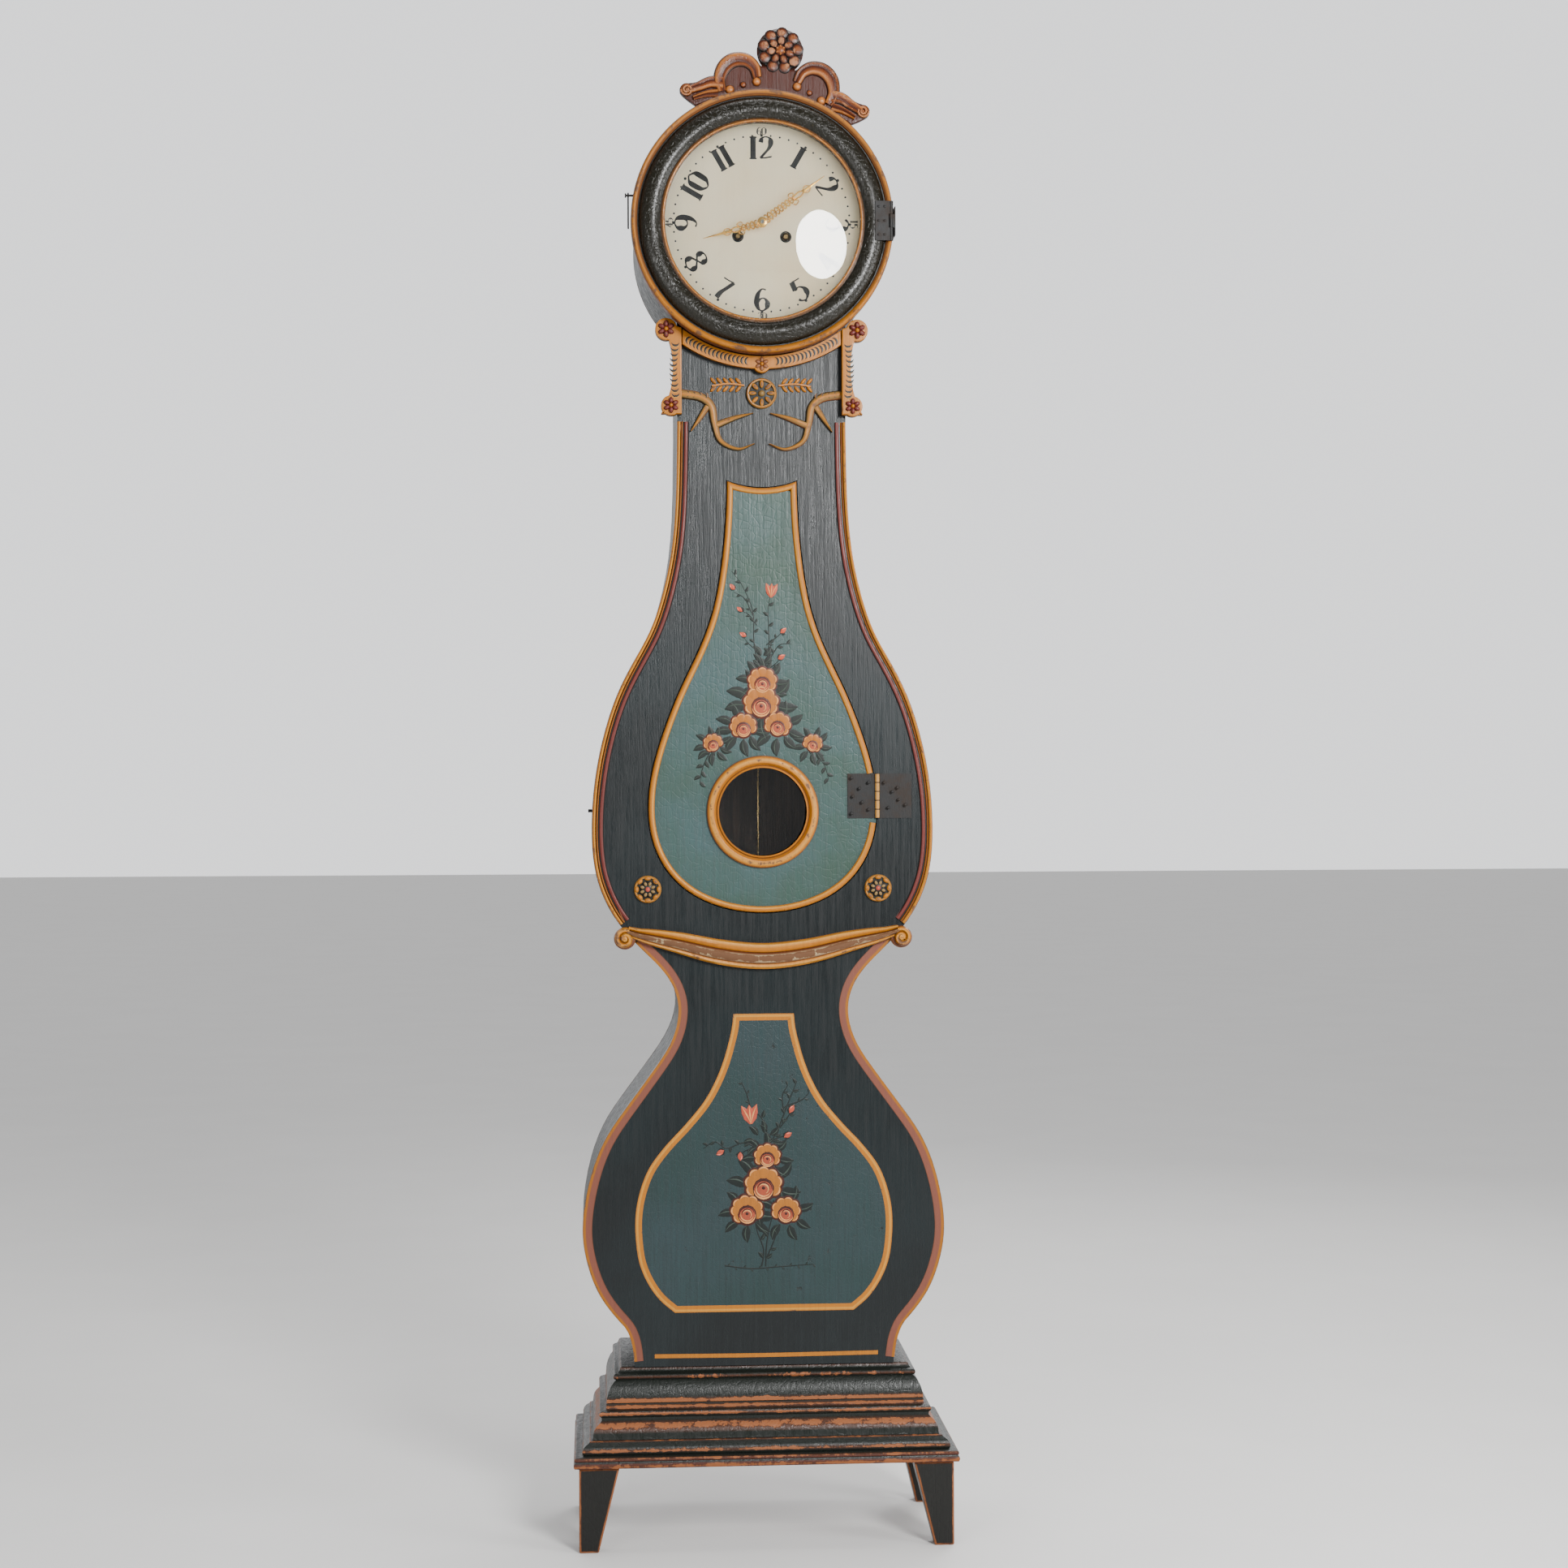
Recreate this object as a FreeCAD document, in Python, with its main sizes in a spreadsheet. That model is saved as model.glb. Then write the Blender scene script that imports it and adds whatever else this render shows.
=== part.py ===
import FreeCAD, Part
import math
import os
import Sketcher
from FreeCAD import Placement, Rotation, Vector

# Painted longcase clock: a pear-shaped trunk on a stepped plinth with four legs,
# a round hood with a glazed door, and a two-train weight-driven movement.
# Millimetres. X runs to the clock's right as seen from the front, Y to the back,
# Z up. The origin is on the floor, below the middle of the plinth.

SIZES = [
    # name, value, what it is
    ("plinth_half", 288.0, "half width of the plinth at its slab"),
    ("plinth_half_depth", 142.5, "half depth of the plinth at its slab"),
    ("leg_height", 125.0, "floor to the underside of the slab"),
    ("leg_top", 60.0, "side of the square leg under the slab"),
    ("leg_foot", 29.0, "side of the square leg on the floor"),
    ("leg_inset", 8.0, "slab edge to the leg's outer face"),
    ("slab_height", 18.0, "slab at the bottom of the plinth"),
    ("plinth_height", 137.0, "underside of the slab to the plinth's top"),
    ("step_one", 29.0, "slab edge to the foot of the lower ogee"),
    ("step_two", 49.0, "slab edge to the foot of the upper cove"),
    ("step_three", 64.0, "slab edge to the lip under the case"),
    ("case_front", 66.5, "plinth's front edge to the case's front face"),
    ("front_board", 18.0, "thickness of the front boards"),
    ("side_board", 9.0, "thickness of the bent side boards"),
    ("back_thick", 12.0, "thickness of the back boards"),
    ("base_half", 196.0, "half width of the case on its plinth"),
    ("base_corner", 307.0, "height of the corner above the straight foot"),
    ("low_half", 273.6, "half width of the lower belly"),
    ("waist_half", 127.4, "half width of the waist"),
    ("waist_height", 804.0, "height of the waist"),
    ("high_half", 258.2, "half width of the upper belly"),
    ("neck_half", 127.6, "half width of the neck"),
    ("neck_height", 1687.0, "height where the neck becomes straight"),
    ("board_joint", 884.0, "height where the lower front board meets the upper one"),
    ("edge_width", 18.0, "width of the moulding round the upper front"),
    ("edge_rise", 5.0, "rise of that moulding"),
    ("edge_start", 937.0, "height of the moulding's lower end"),
    ("edge_end", 1691.0, "height of the moulding's upper end"),
    ("door_top_half", 52.6, "half width of the trunk door's top edge"),
    ("door_half", 172.8, "half width of the trunk door's belly"),
    ("door_top", 1598.0, "height of the door's top corners"),
    ("door_dip", 10.5, "dip of the door's top edge"),
    ("door_belly", 1107.0, "height of the door's widest line"),
    ("door_bottom", 946.0, "height of the door's lowest point"),
    ("door_gap", 1.6, "gap all round the trunk door"),
    ("door_trim", 9.4, "width of the moulding round the trunk door"),
    ("door_trim_rise", 5.0, "rise of that moulding"),
    ("port_height", 1098.0, "height of the porthole's centre"),
    ("port_outer", 85.0, "outer radius of the porthole ring"),
    ("port_inner", 65.7, "radius of the porthole's opening"),
    ("port_rise", 8.0, "rise of the porthole ring"),
    ("port_wall", 4.0, "wall of the ring's sleeve in the door"),
    ("port_sleeve", 12.0, "depth of that sleeve"),
    ("glass_thick", 2.0, "thickness of the porthole glass"),
    ("hood_height", 1982.0, "height of the hood's centre and of the dial arbor"),
    ("drum_outer", 190.0, "outer radius of the hood drum"),
    ("drum_wall", 8.0, "wall of the hood drum"),
    ("drum_front", 42.5, "plinth's front edge to the drum's front edge"),
    ("hood_outer", 197.0, "outer radius of the hood's front moulding"),
    ("hood_inner", 150.0, "inner radius of the hood's front moulding"),
    ("hood_plate", 18.0, "thickness of the hood's front ring"),
    ("hood_lip", 8.0, "rise of its rounded lip"),
    ("hood_lip_width", 10.0, "width of its rounded lip"),
    ("ring_gap", 1.5, "gap round the hood door"),
    ("ring_back", 0.5, "gap behind the hood door"),
    ("ring_rise", 13.0, "thickness of the hood door's ring"),
    ("bead_outer", 155.0, "outer radius of the door's inner bead"),
    ("sight", 146.0, "radius of the door's opening"),
    ("dome_rise", 17.0, "rise of the bowed hood glass"),
    ("dial_radius", 168.0, "radius of the dial plate"),
    ("dial_thick", 2.0, "thickness of the dial plate"),
    ("minute_length", 117.0, "length of the minute hand"),
    ("hour_length", 93.0, "length of the hour hand"),
    ("minute_angle", 53.2, "rest angle of the minute hand, clockwise from twelve"),
    ("hour_angle", 254.5, "rest angle of the hour hand, clockwise from twelve"),
    ("wind_across", 36.0, "winding arbors either side of the centre"),
    ("wind_below", 19.5, "winding arbors below the centre"),
    ("wind_hole", 6.5, "radius of the winding holes"),
    ("movement_front", 97.5, "plinth's front edge to the front plate's front face"),
    ("plate_thick", 3.0, "thickness of a movement plate"),
    ("plate_space", 57.0, "space between the movement plates"),
    ("plate_half", 62.0, "half width of a movement plate"),
    ("plate_top", 78.0, "dial arbor to the top of the plates"),
    ("seat_below", 98.0, "dial arbor to the seat board's top"),
    ("seat_thick", 18.0, "thickness of the seat board"),
    ("arbor", 3.0, "radius of the dial and winding arbors"),
    ("thin_arbor", 2.0, "radius of the train arbors"),
    ("pivot", 1.5, "radius of the pivots"),
    ("running", 0.05, "radial clearance of a pivot or pin"),
    ("drum_line", 11.0, "radius of a line barrel"),
    ("line", 0.75, "radius of a weight line"),
    ("weight_radius", 31.0, "radius of a driving weight"),
    ("weight_length", 180.0, "length of a driving weight"),
    ("weight_top", 1745.0, "height of a wound-up weight's top"),
    ("anchor_above", 62.0, "dial arbor to the anchor's arbor"),
    ("bob_height", 968.0, "height of the pendulum bob's centre"),
    ("bob_radius", 50.0, "radius of the pendulum bob"),
    ("bob_half", 10.0, "half thickness of the pendulum bob"),
    ("rod", 2.2, "radius of the pendulum rod"),
    ("pendulum_back", 187.5, "plinth's front edge to the pendulum's plane"),
    ("hinge_height", 1121.6, "height of the trunk hinge's middle"),
    ("hinge_length", 67.6, "length of the trunk hinge"),
    ("hinge_leaf", 45.0, "width of the trunk door's hinge leaf"),
    ("hinge_case_leaf", 52.5, "width of the case's hinge leaf"),
    ("leaf_thick", 1.5, "thickness of a hinge leaf"),
    ("knuckle", 3.2, "radius of a hinge knuckle"),
    ("pin", 1.6, "radius of a hinge pin"),
    ("hood_hinge_length", 59.0, "length of the hood hinge"),
    ("hood_axis", 192.0, "clock's centre to the hood hinge's pin"),
    ("hood_axis_fore", 12.0, "plinth's front edge to the hood hinge's pin"),
    ("swag_top", 900.0, "height of the swag's top edge in the middle"),
    ("swag_end_top", 931.0, "height of the swag's top edge at its ends"),
    ("swag_bottom", 860.5, "height of the swag's bottom edge in the middle"),
    ("swag_end_bottom", 904.0, "height of the swag's bottom edge at its ends"),
    ("swag_half", 197.0, "half length of the swag"),
    ("swag_rise", 20.0, "rise of the swag moulding"),
    ("volute_across", 209.0, "swag volutes either side of the centre"),
    ("volute_height", 908.0, "height of the swag volutes"),
    ("volute", 18.0, "radius of the swag volutes"),
    ("crest_top", 302.0, "hood's centre to the top of the crest"),
    ("crest_tilt", 6.2, "lean of the crest, clockwise"),
]

doc = FreeCAD.newDocument("painted_longcase_clock")
sheet = doc.addObject("Spreadsheet::Sheet", "Sizes")
for row, (alias, value, words) in enumerate(SIZES, 1):
    sheet.set("A%d" % row, alias)
    sheet.set("B%d" % row, str(value))
    sheet.setAlias("B%d" % row, alias)
    sheet.set("C%d" % row, words)
doc.recompute()

NODES = {}


def size(alias):
    """A cell of the sheet."""
    return float(sheet.get(alias))


def value(words):
    """The number that a sum such as "hood_height - wind_below" stands for."""
    total = 0.0
    sign = 1.0
    for word in words.split():
        if word in "+-":
            sign = 1.0 if word == "+" else -1.0
        else:
            total += sign * (size(word) if word[0].isalpha() else float(word))
            sign = 1.0
    return total


def formula(words):
    """The same sum as an expression on the sheet."""
    terms = ["Sizes." + w if w[0].isalpha() else w for w in words.split()]
    text = " ".join(terms)
    return "0 " + text if text[0] in "+-" and text[1] == " " else text


def bind(obj, **properties):
    """Ties properties to the sheet; Base_x stands for Placement.Base.x."""
    for name, words in properties.items():
        path = name.replace("Base_", ".Placement.Base.")
        obj.setExpression(path, formula(words))


def node(name, obj):
    """Names a finished sub-part."""
    obj.Label = name
    NODES[name] = obj
    return obj


def box(name, length, width, height, x, y, z):
    """A board with its low corner at x, y, z."""
    obj = doc.addObject("Part::Box", name)
    bind(obj, Length=length, Width=width, Height=height, Base_x=x, Base_y=y, Base_z=z)
    return obj


TURN_BACK = Rotation(Vector(1, 0, 0), -90)


def rod_back(name, radius, length, x, y, z):
    """A round bar that runs back from x, y, z."""
    obj = doc.addObject("Part::Cylinder", name)
    obj.Placement = Placement(Vector(), TURN_BACK)
    bind(obj, Radius=radius, Height=length, Base_x=x, Base_y=y, Base_z=z)
    return obj


def rod_up(name, radius, length, x, y, z):
    """A round bar that runs up from x, y, z."""
    obj = doc.addObject("Part::Cylinder", name)
    bind(obj, Radius=radius, Height=length, Base_x=x, Base_y=y, Base_z=z)
    return obj


def fuse(name, *parts):
    obj = doc.addObject("Part::MultiFuse", name)
    obj.Shapes = list(parts)
    return obj


def cut(name, base, *tools):
    obj = doc.addObject("Part::Cut", name)
    obj.Base = base
    obj.Tool = tools[0] if len(tools) == 1 else fuse(name + "_tools", *tools)
    return obj


def feature(name, shape):
    """A sub-part whose curved outline needs Part's own functions."""
    obj = doc.addObject("Part::Feature", name)
    obj.Shape = shape
    return obj


def plane_of(body, role):
    return [f for f in body.Origin.OriginFeatures if f.Role == role][0]


def sketch_in(body, name, role, corners, circles=()):
    """A closed polygon through corners and round holes, each size tied to the sheet."""
    sketch = body.newObject("Sketcher::SketchObject", name + "_sketch")
    sketch.AttachmentSupport = [(plane_of(body, role), "")]
    sketch.MapMode = "FlatFace"
    points = [Vector(value(a), value(b), 0) for a, b in corners]
    count = len(points)
    for i in range(count):
        sketch.addGeometry(Part.LineSegment(points[i], points[(i + 1) % count]), False)
    for i in range(count):
        sketch.addConstraint(Sketcher.Constraint("Coincident", i, 2, (i + 1) % count, 1))
    for i, (across, along) in enumerate(corners):
        for kind, words in (("DistanceX", across), ("DistanceY", along)):
            if value(words) == 0.0:
                axis = -2 if kind == "DistanceX" else -1
                sketch.addConstraint(Sketcher.Constraint("PointOnObject", i, 1, axis))
                continue
            where = sketch.addConstraint(
                Sketcher.Constraint(kind, -1, 1, i, 1, value(words)))
            sketch.setExpression("Constraints[%d]" % where, formula(words))
    for across, along, radius in circles:
        circle = Part.Circle(Vector(value(across), value(along), 0), Vector(0, 0, 1), value(radius))
        at = sketch.addGeometry(circle, False)
        rows = [("Radius", radius)]
        where = sketch.addConstraint(Sketcher.Constraint("Radius", at, value(radius)))
        sketch.setExpression("Constraints[%d]" % where, formula(rows[0][1]))
        for kind, words in (("DistanceX", across), ("DistanceY", along)):
            if value(words) == 0.0:
                axis = -2 if kind == "DistanceX" else -1
                sketch.addConstraint(Sketcher.Constraint("PointOnObject", at, 3, axis))
                continue
            where = sketch.addConstraint(
                Sketcher.Constraint(kind, -1, 1, at, 3, value(words)))
            sketch.setExpression("Constraints[%d]" % where, formula(words))
    return sketch


def turned(name, role, profile, **base):
    """A body of revolution about its plane's upright axis; profile is radius, along."""
    body = doc.addObject("PartDesign::Body", name)
    sketch = sketch_in(body, name, role, profile)
    spin = body.newObject("PartDesign::Revolution", name + "_turned")
    spin.Profile = sketch
    spin.ReferenceAxis = (sketch, ["V_Axis"])
    spin.Angle = 360
    bind(body, **base)
    return body


def plate(name, corners, depth, back, circles=(), **base):
    """A flat board across the clock, whose back face is at the height back along Y."""
    body = doc.addObject("PartDesign::Body", name)
    sketch = sketch_in(body, name, "XZ_Plane", corners, circles)
    pad = body.newObject("PartDesign::Pad", name + "_pad")
    pad.Profile = sketch
    pad.setExpression("Length", formula(depth))
    bind(body, Base_y=back, **base)
    return body


def front(words):
    """A sum measured back from the plinth's front edge."""
    return words + " - plinth_half_depth"


def curve(points):
    """A smooth edge in the clock's upright plane through x, z points."""
    spline = Part.BSplineCurve()
    spline.interpolate([Vector(x, 0, z) for x, z in points])
    return spline.toShape()


def line(a, b):
    return Part.makeLine(Vector(a[0], 0, a[1]), Vector(b[0], 0, b[1]))


def arc(a, b, c):
    points = [Vector(p[0], 0, p[1]) for p in (a, b, c)]
    return Part.Arc(*points).toShape()


def solid(edges, y_from, y_to):
    """A board between two upright planes, with the outline that the edges draw."""
    wire = Part.Wire(Part.__sortEdges__(edges))
    face = Part.Face(wire)
    face.translate(Vector(0, y_from, 0))
    return face.extrude(Vector(0, y_to - y_from, 0))


def disc(x, z, radius, y_from, y_to):
    return Part.makeCylinder(radius, y_to - y_from, Vector(x, y_from, z), Vector(0, 1, 0))


def block(x0, x1, y0, y1, z0, z1):
    return Part.makeBox(x1 - x0, y1 - y0, z1 - z0, Vector(x0, y0, z0))


FRONT = value(front("case_front"))
FRONT_BACK = FRONT + size("front_board")
BACK = size("plinth_half_depth")
BACK_FRONT = BACK - size("back_thick")
PLINTH_TOP = value("leg_height + plinth_height")
HOOD_Z = size("hood_height")

# ---- outline of the case ---------------------------------------------------
# Each pair is a share of the height from one driving line to the next, and a
# share of the way from the narrow half width to the wide one.
LOWER_SHAPE = [(0.06, 0.66), (0.13, 0.83), (0.21, 0.94), (0.308, 1.0), (0.41, 0.975), (0.505, 0.9),
               (0.604, 0.76), (0.702, 0.534), (0.801, 0.285), (0.9, 0.073), (1.0, 0.0)]
UPPER_SHAPE = [(0.055, 0.141), (0.083, 0.317), (0.148, 0.715), (0.22, 0.94), (0.306, 1.0),
               (0.39, 0.96), (0.472, 0.845), (0.528, 0.72), (0.583, 0.54), (0.639, 0.332),
               (0.7, 0.185), (0.77, 0.08), (0.86, 0.02), (1.0, 0.0)]


def outline_points():
    corner, waist, neck = size("base_corner"), size("waist_height"), size("neck_height")
    points = [(size("base_half"), corner)]
    for along, out in LOWER_SHAPE:
        half = size("waist_half") + out * (size("low_half") - size("waist_half"))
        points.append((half, corner + along * (waist - corner)))
    for along, out in UPPER_SHAPE:
        narrow = size("waist_half") + along * (size("neck_half") - size("waist_half"))
        points.append((narrow + out * (size("high_half") - narrow), waist + along * (neck - waist)))
    return points


OUTLINE = outline_points()
OUTER = Part.BSplineCurve()
OUTER.interpolate([Vector(x, 0, z) for x, z in OUTLINE])


def inset_curve(depth):
    """The case's outline moved inwards by depth, square to itself."""
    points = []
    for x, z in OUTLINE:
        way = OUTER.tangent(OUTER.parameter(Vector(x, 0, z)))[0]
        slope = 0.0 if abs(way.z) < 1e-9 else way.x / way.z
        points.append(Vector(x - depth * math.sqrt(1.0 + slope * slope), 0, z))
    spline = Part.BSplineCurve()
    spline.interpolate(points)
    return spline


def at_height(spline, z):
    """The curve's parameter at a height."""
    low, high = spline.FirstParameter, spline.LastParameter
    for _ in range(60):
        middle = 0.5 * (low + high)
        if spline.value(middle).z < z:
            low = middle
        else:
            high = middle
    return 0.5 * (low + high)


def side_line(depth, z0, z1):
    """Edges of the right-hand outline from z0 up to z1, moved inwards by depth."""
    spline = inset_curve(depth) if depth else OUTER
    bottom = spline.value(spline.FirstParameter)
    top = spline.value(spline.LastParameter)
    edges = []
    if z0 < bottom.z:
        edges.append(line((bottom.x, z0), (bottom.x, bottom.z)))
    start = max(z0, bottom.z)
    end = min(z1, top.z)
    if end > start:
        first = spline.FirstParameter if start <= bottom.z else at_height(spline, start)
        last = spline.LastParameter if end >= top.z else at_height(spline, end)
        edges.append(spline.toShape(first, last))
    if z1 > top.z:
        edges.append(line((top.x, top.z), (top.x, z1)))
    return edges


def end_of(edges, highest):
    ends = [v.Point for e in edges for v in e.Vertexes]
    point = max(ends, key=lambda p: p.z) if highest else min(ends, key=lambda p: p.z)
    return (point.x, point.z)


def flip(shape):
    return shape.mirror(Vector(0, 0, 0), Vector(1, 0, 0))


def strip(outer_depth, inner_depth, z0, z1, y0, y1):
    """The right-hand strip of the outline between two depths."""
    out = side_line(outer_depth, z0, z1)
    inn = side_line(inner_depth, z0, z1)
    caps = [line(end_of(out, True), end_of(inn, True)), line(end_of(out, False), end_of(inn, False))]
    return solid(out + inn + caps, y0, y1)


def full_board(z0, z1, y0, y1):
    """A board as wide as the whole outline."""
    right = side_line(0.0, z0, z1)
    left = [flip(e) for e in right]
    top, bottom = end_of(right, True), end_of(right, False)
    caps = [line(top, (-top[0], top[1])), line(bottom, (-bottom[0], bottom[1]))]
    return solid(right + left + caps, y0, y1)


# ---- plinth ----------------------------------------------------------------
def leg(name, right, back):
    """A square leg that tapers on its two inner faces."""
    half, deep = size("plinth_half"), size("plinth_half_depth")
    sx, sy = (1 if right else -1), (1 if back else -1)
    rings = []
    for side, z in ((size("leg_foot"), 0.0), (size("leg_top"), size("leg_height"))):
        x0, y0 = half - size("leg_inset"), deep - size("leg_inset")
        corners = [(x0, y0), (x0 - side, y0), (x0 - side, y0 - side), (x0, y0 - side)]
        rings.append(Part.makePolygon([Vector(sx * x, sy * y, z) for x, y in corners + corners[:1]]))
    return node(name, feature(name, Part.makeLoft(rings, True, True)))


leg("leg_front_left", False, False)
leg("leg_front_right", True, False)
leg("leg_back_left", False, True)
leg("leg_back_right", True, True)

slab = box("plinth_slab_board", "plinth_half + plinth_half", "plinth_half_depth + plinth_half_depth",
           "slab_height", "- plinth_half", "- plinth_half_depth", "leg_height")
slab_round = doc.addObject("Part::Fillet", "plinth_slab")
slab_round.Base = slab
doc.recompute()
rounded = [i + 1 for i, e in enumerate(slab.Shape.Edges)
           if abs(e.BoundBox.ZLength) < 1e-6 and e.BoundBox.YMin < BACK - 1.0]
slab_round.Edges = [(i, 0.4 * size("slab_height"), 0.4 * size("slab_height")) for i in rounded]
node("plinth_slab", slab_round)


def plinth_step(inset, z0, z1):
    """One step of the plinth, flush at the back."""
    half, deep = size("plinth_half") - inset, size("plinth_half_depth")
    return block(-half, half, -deep + inset, deep, z0, z1)


def plinth_slope(low, high, z0, z1, bulge):
    """A moulding of the plinth whose face runs from one inset to another."""
    levels = [(low, z0), (0.5 * (low + high) + bulge, 0.5 * (z0 + z1)), (high, z1)]
    half, deep = size("plinth_half"), size("plinth_half_depth")
    body = None
    for (a, za), (b, zb) in zip(levels, levels[1:]):
        rings = []
        for inset, z in ((a, za), (b, zb)):
            x, y = half - inset, -deep + inset
            corners = [(-x, y), (x, y), (x, deep), (-x, deep), (-x, y)]
            rings.append(Part.makePolygon([Vector(px, py, z) for px, py in corners]))
        piece = Part.makeLoft(rings, True, True)
        body = piece if body is None else body.fuse(piece)
    return body


SLAB_TOP = value("leg_height + slab_height")
RISE = PLINTH_TOP - SLAB_TOP
ONE, TWO, THREE = size("step_one"), size("step_two"), size("step_three")
FOOT = SLAB_TOP + 0.16 * RISE
MIDDLE = SLAB_TOP + 0.44 * RISE
NECKING = SLAB_TOP + 0.56 * RISE
lower_tier = plinth_step(0.47 * ONE, SLAB_TOP, FOOT).fuse(
    [plinth_slope(0.79 * ONE, ONE, FOOT, SLAB_TOP + 0.24 * RISE, 0.0),
     plinth_slope(ONE, 0.8 * TWO, SLAB_TOP + 0.24 * RISE, MIDDLE, 3.0),
     plinth_step(0.8 * TWO, MIDDLE, NECKING)])
node("plinth_lower_moulding", feature("plinth_lower_moulding", lower_tier.removeSplitter()))
upper_tier = plinth_slope(TWO, THREE, NECKING, SLAB_TOP + 0.84 * RISE, 4.0).fuse(
    [plinth_step(THREE, SLAB_TOP + 0.84 * RISE, SLAB_TOP + 0.94 * RISE),
     plinth_step(1.09 * THREE, SLAB_TOP + 0.94 * RISE, PLINTH_TOP)])
node("plinth_upper_moulding", feature("plinth_upper_moulding", upper_tier.removeSplitter()))


# ---- case ------------------------------------------------------------------
DRUM_TOP_CUT = size("drum_outer")
NECK_TOP = HOOD_Z - math.sqrt(size("drum_outer") ** 2 - size("neck_half") ** 2) + 20.0
drum_space = disc(0, HOOD_Z, size("drum_outer"), -400, 400)
JOINT = size("board_joint")

node("lower_front_board", feature("lower_front_board", full_board(PLINTH_TOP, JOINT, FRONT, FRONT_BACK)))
node("back_board", feature("back_board", full_board(PLINTH_TOP, NECK_TOP, BACK_FRONT, BACK).cut(drum_space)))
for where, turn in (("right", lambda s: s), ("left", flip)):
    low = strip(0.0, size("side_board"), PLINTH_TOP, JOINT, FRONT_BACK, BACK_FRONT)
    node("lower_side_" + where, feature("lower_side_" + where, turn(low)))
    high = strip(0.0, size("side_board"), JOINT, NECK_TOP, FRONT_BACK, BACK_FRONT).cut(drum_space)
    node("upper_side_" + where, feature("upper_side_" + where, turn(high)))

DOOR_UP = [(0.88, 0.016), (0.72, 0.083), (0.6, 0.18), (0.497, 0.328), (0.352, 0.606),
           (0.236, 0.794), (0.122, 0.935), (0.0, 1.0)]
DOOR_DOWN = [(0.689, 0.966), (0.391, 0.833), (0.2, 0.65), (0.075, 0.42), (0.0, 0.0)]


def door_outline(grow):
    """Edges of the pear-shaped door, moved outwards by grow."""
    top, belly, bottom = size("door_top"), size("door_belly"), size("door_bottom")
    narrow, wide = size("door_top_half"), size("door_half")
    right = [(narrow, top)]
    right += [(narrow + out * (wide - narrow), belly + up * (top - belly)) for up, out in DOOR_UP]
    right += [(out * wide, bottom + up * (belly - bottom)) for up, out in DOOR_DOWN]
    points = right + [(-x, z) for x, z in reversed(right[:-1])]
    base = Part.BSplineCurve()
    base.interpolate([Vector(x, 0, z) for x, z in points])
    moved = []
    for x, z in points:
        way = base.tangent(base.parameter(Vector(x, 0, z)))[0]
        moved.append((x - way.z * grow, z + way.x * grow))
    moved[0] = (narrow + grow, top + grow)
    moved[-1] = (-narrow - grow, top + grow)
    dip = top - size("door_dip") + grow
    return [curve(moved), arc(moved[0], (0.0, dip), moved[-1])]


opening = solid(door_outline(size("door_gap")), FRONT - 1, FRONT_BACK + 1)
upper_board = full_board(JOINT, NECK_TOP, FRONT, FRONT_BACK).cut([opening, drum_space])
node("upper_front_board", feature("upper_front_board", upper_board))

for where, turn in (("right", lambda s: s), ("left", flip)):
    trim = strip(0.0, size("edge_width"), size("edge_start"), size("edge_end"),
                 FRONT - size("edge_rise"), FRONT)
    node("edge_moulding_" + where, feature("edge_moulding_" + where, turn(trim)))

half, rise = size("swag_half"), FRONT - size("swag_rise")
swag_ends = [line((side * half, size("swag_end_top")), (side * half, size("swag_end_bottom")))
             for side in (-1, 1)]
swag = solid([arc((-half, size("swag_end_top")), (0, size("swag_top")), (half, size("swag_end_top"))),
              arc((-half, size("swag_end_bottom")), (0, size("swag_bottom")),
                  (half, size("swag_end_bottom")))] + swag_ends, rise, FRONT)
for side in (-1, 1):
    swag = swag.fuse(disc(side * size("volute_across"), size("volute_height"), size("volute"),
                          rise - 2.0, FRONT))
node("swag_moulding", feature("swag_moulding", swag.removeSplitter()))

# ---- carvings ----------------------------------------------------------------
ROSETTE = 20.7
ROSETTE_HEIGHT = size("door_bottom") + 36.0
ROSETTE_ACROSS = size("door_half") + 1.5
rosettes = [disc(side * ROSETTE_ACROSS, ROSETTE_HEIGHT, ROSETTE, FRONT - 8.0, FRONT) for side in (-1, 1)]
node("belly_rosettes", feature("belly_rosettes", Part.makeCompound(rosettes)))

NECK_ROSETTE_Z = HOOD_Z - 252.0
CARVING = FRONT - 8.0


def ribbon(points, width, y0, y1):
    """A flat scroll that follows a smooth line, as wide as width."""
    base = Part.BSplineCurve()
    base.interpolate([Vector(x, 0, z) for x, z in points])
    sides = []
    for sign in (-0.5, 0.5):
        row = []
        for x, z in points:
            way = base.tangent(base.parameter(Vector(x, 0, z)))[0]
            row.append((x - sign * way.z * width, z + sign * way.x * width))
        sides.append(row)
    ends = [line(sides[0][0], sides[1][0]), line(sides[0][-1], sides[1][-1])]
    return solid([curve(sides[0]), curve(sides[1])] + ends, y0, y1)


def antler(side):
    """The three-tined scroll below the neck's rosette."""
    z = NECK_ROSETTE_Z
    main = [(side * 118, z - 6), (side * 96, z - 12), (side * 73, z - 24), (side * 64, z - 52),
            (side * 44, z - 72), (side * 12, z - 78)]
    upper = [(side * 78, z - 20), (side * 58, z - 38), (side * 34, z - 38), (side * 15, z - 31)]
    lower = [(side * 84, z - 20), (side * 94, z - 34), (side * 101, z - 48), (side * 106, z - 60)]
    body = ribbon(main, 10.0, CARVING, FRONT)
    return body.fuse([ribbon(upper, 6.0, CARVING, FRONT), ribbon(lower, 6.0, CARVING, FRONT)])


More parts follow.
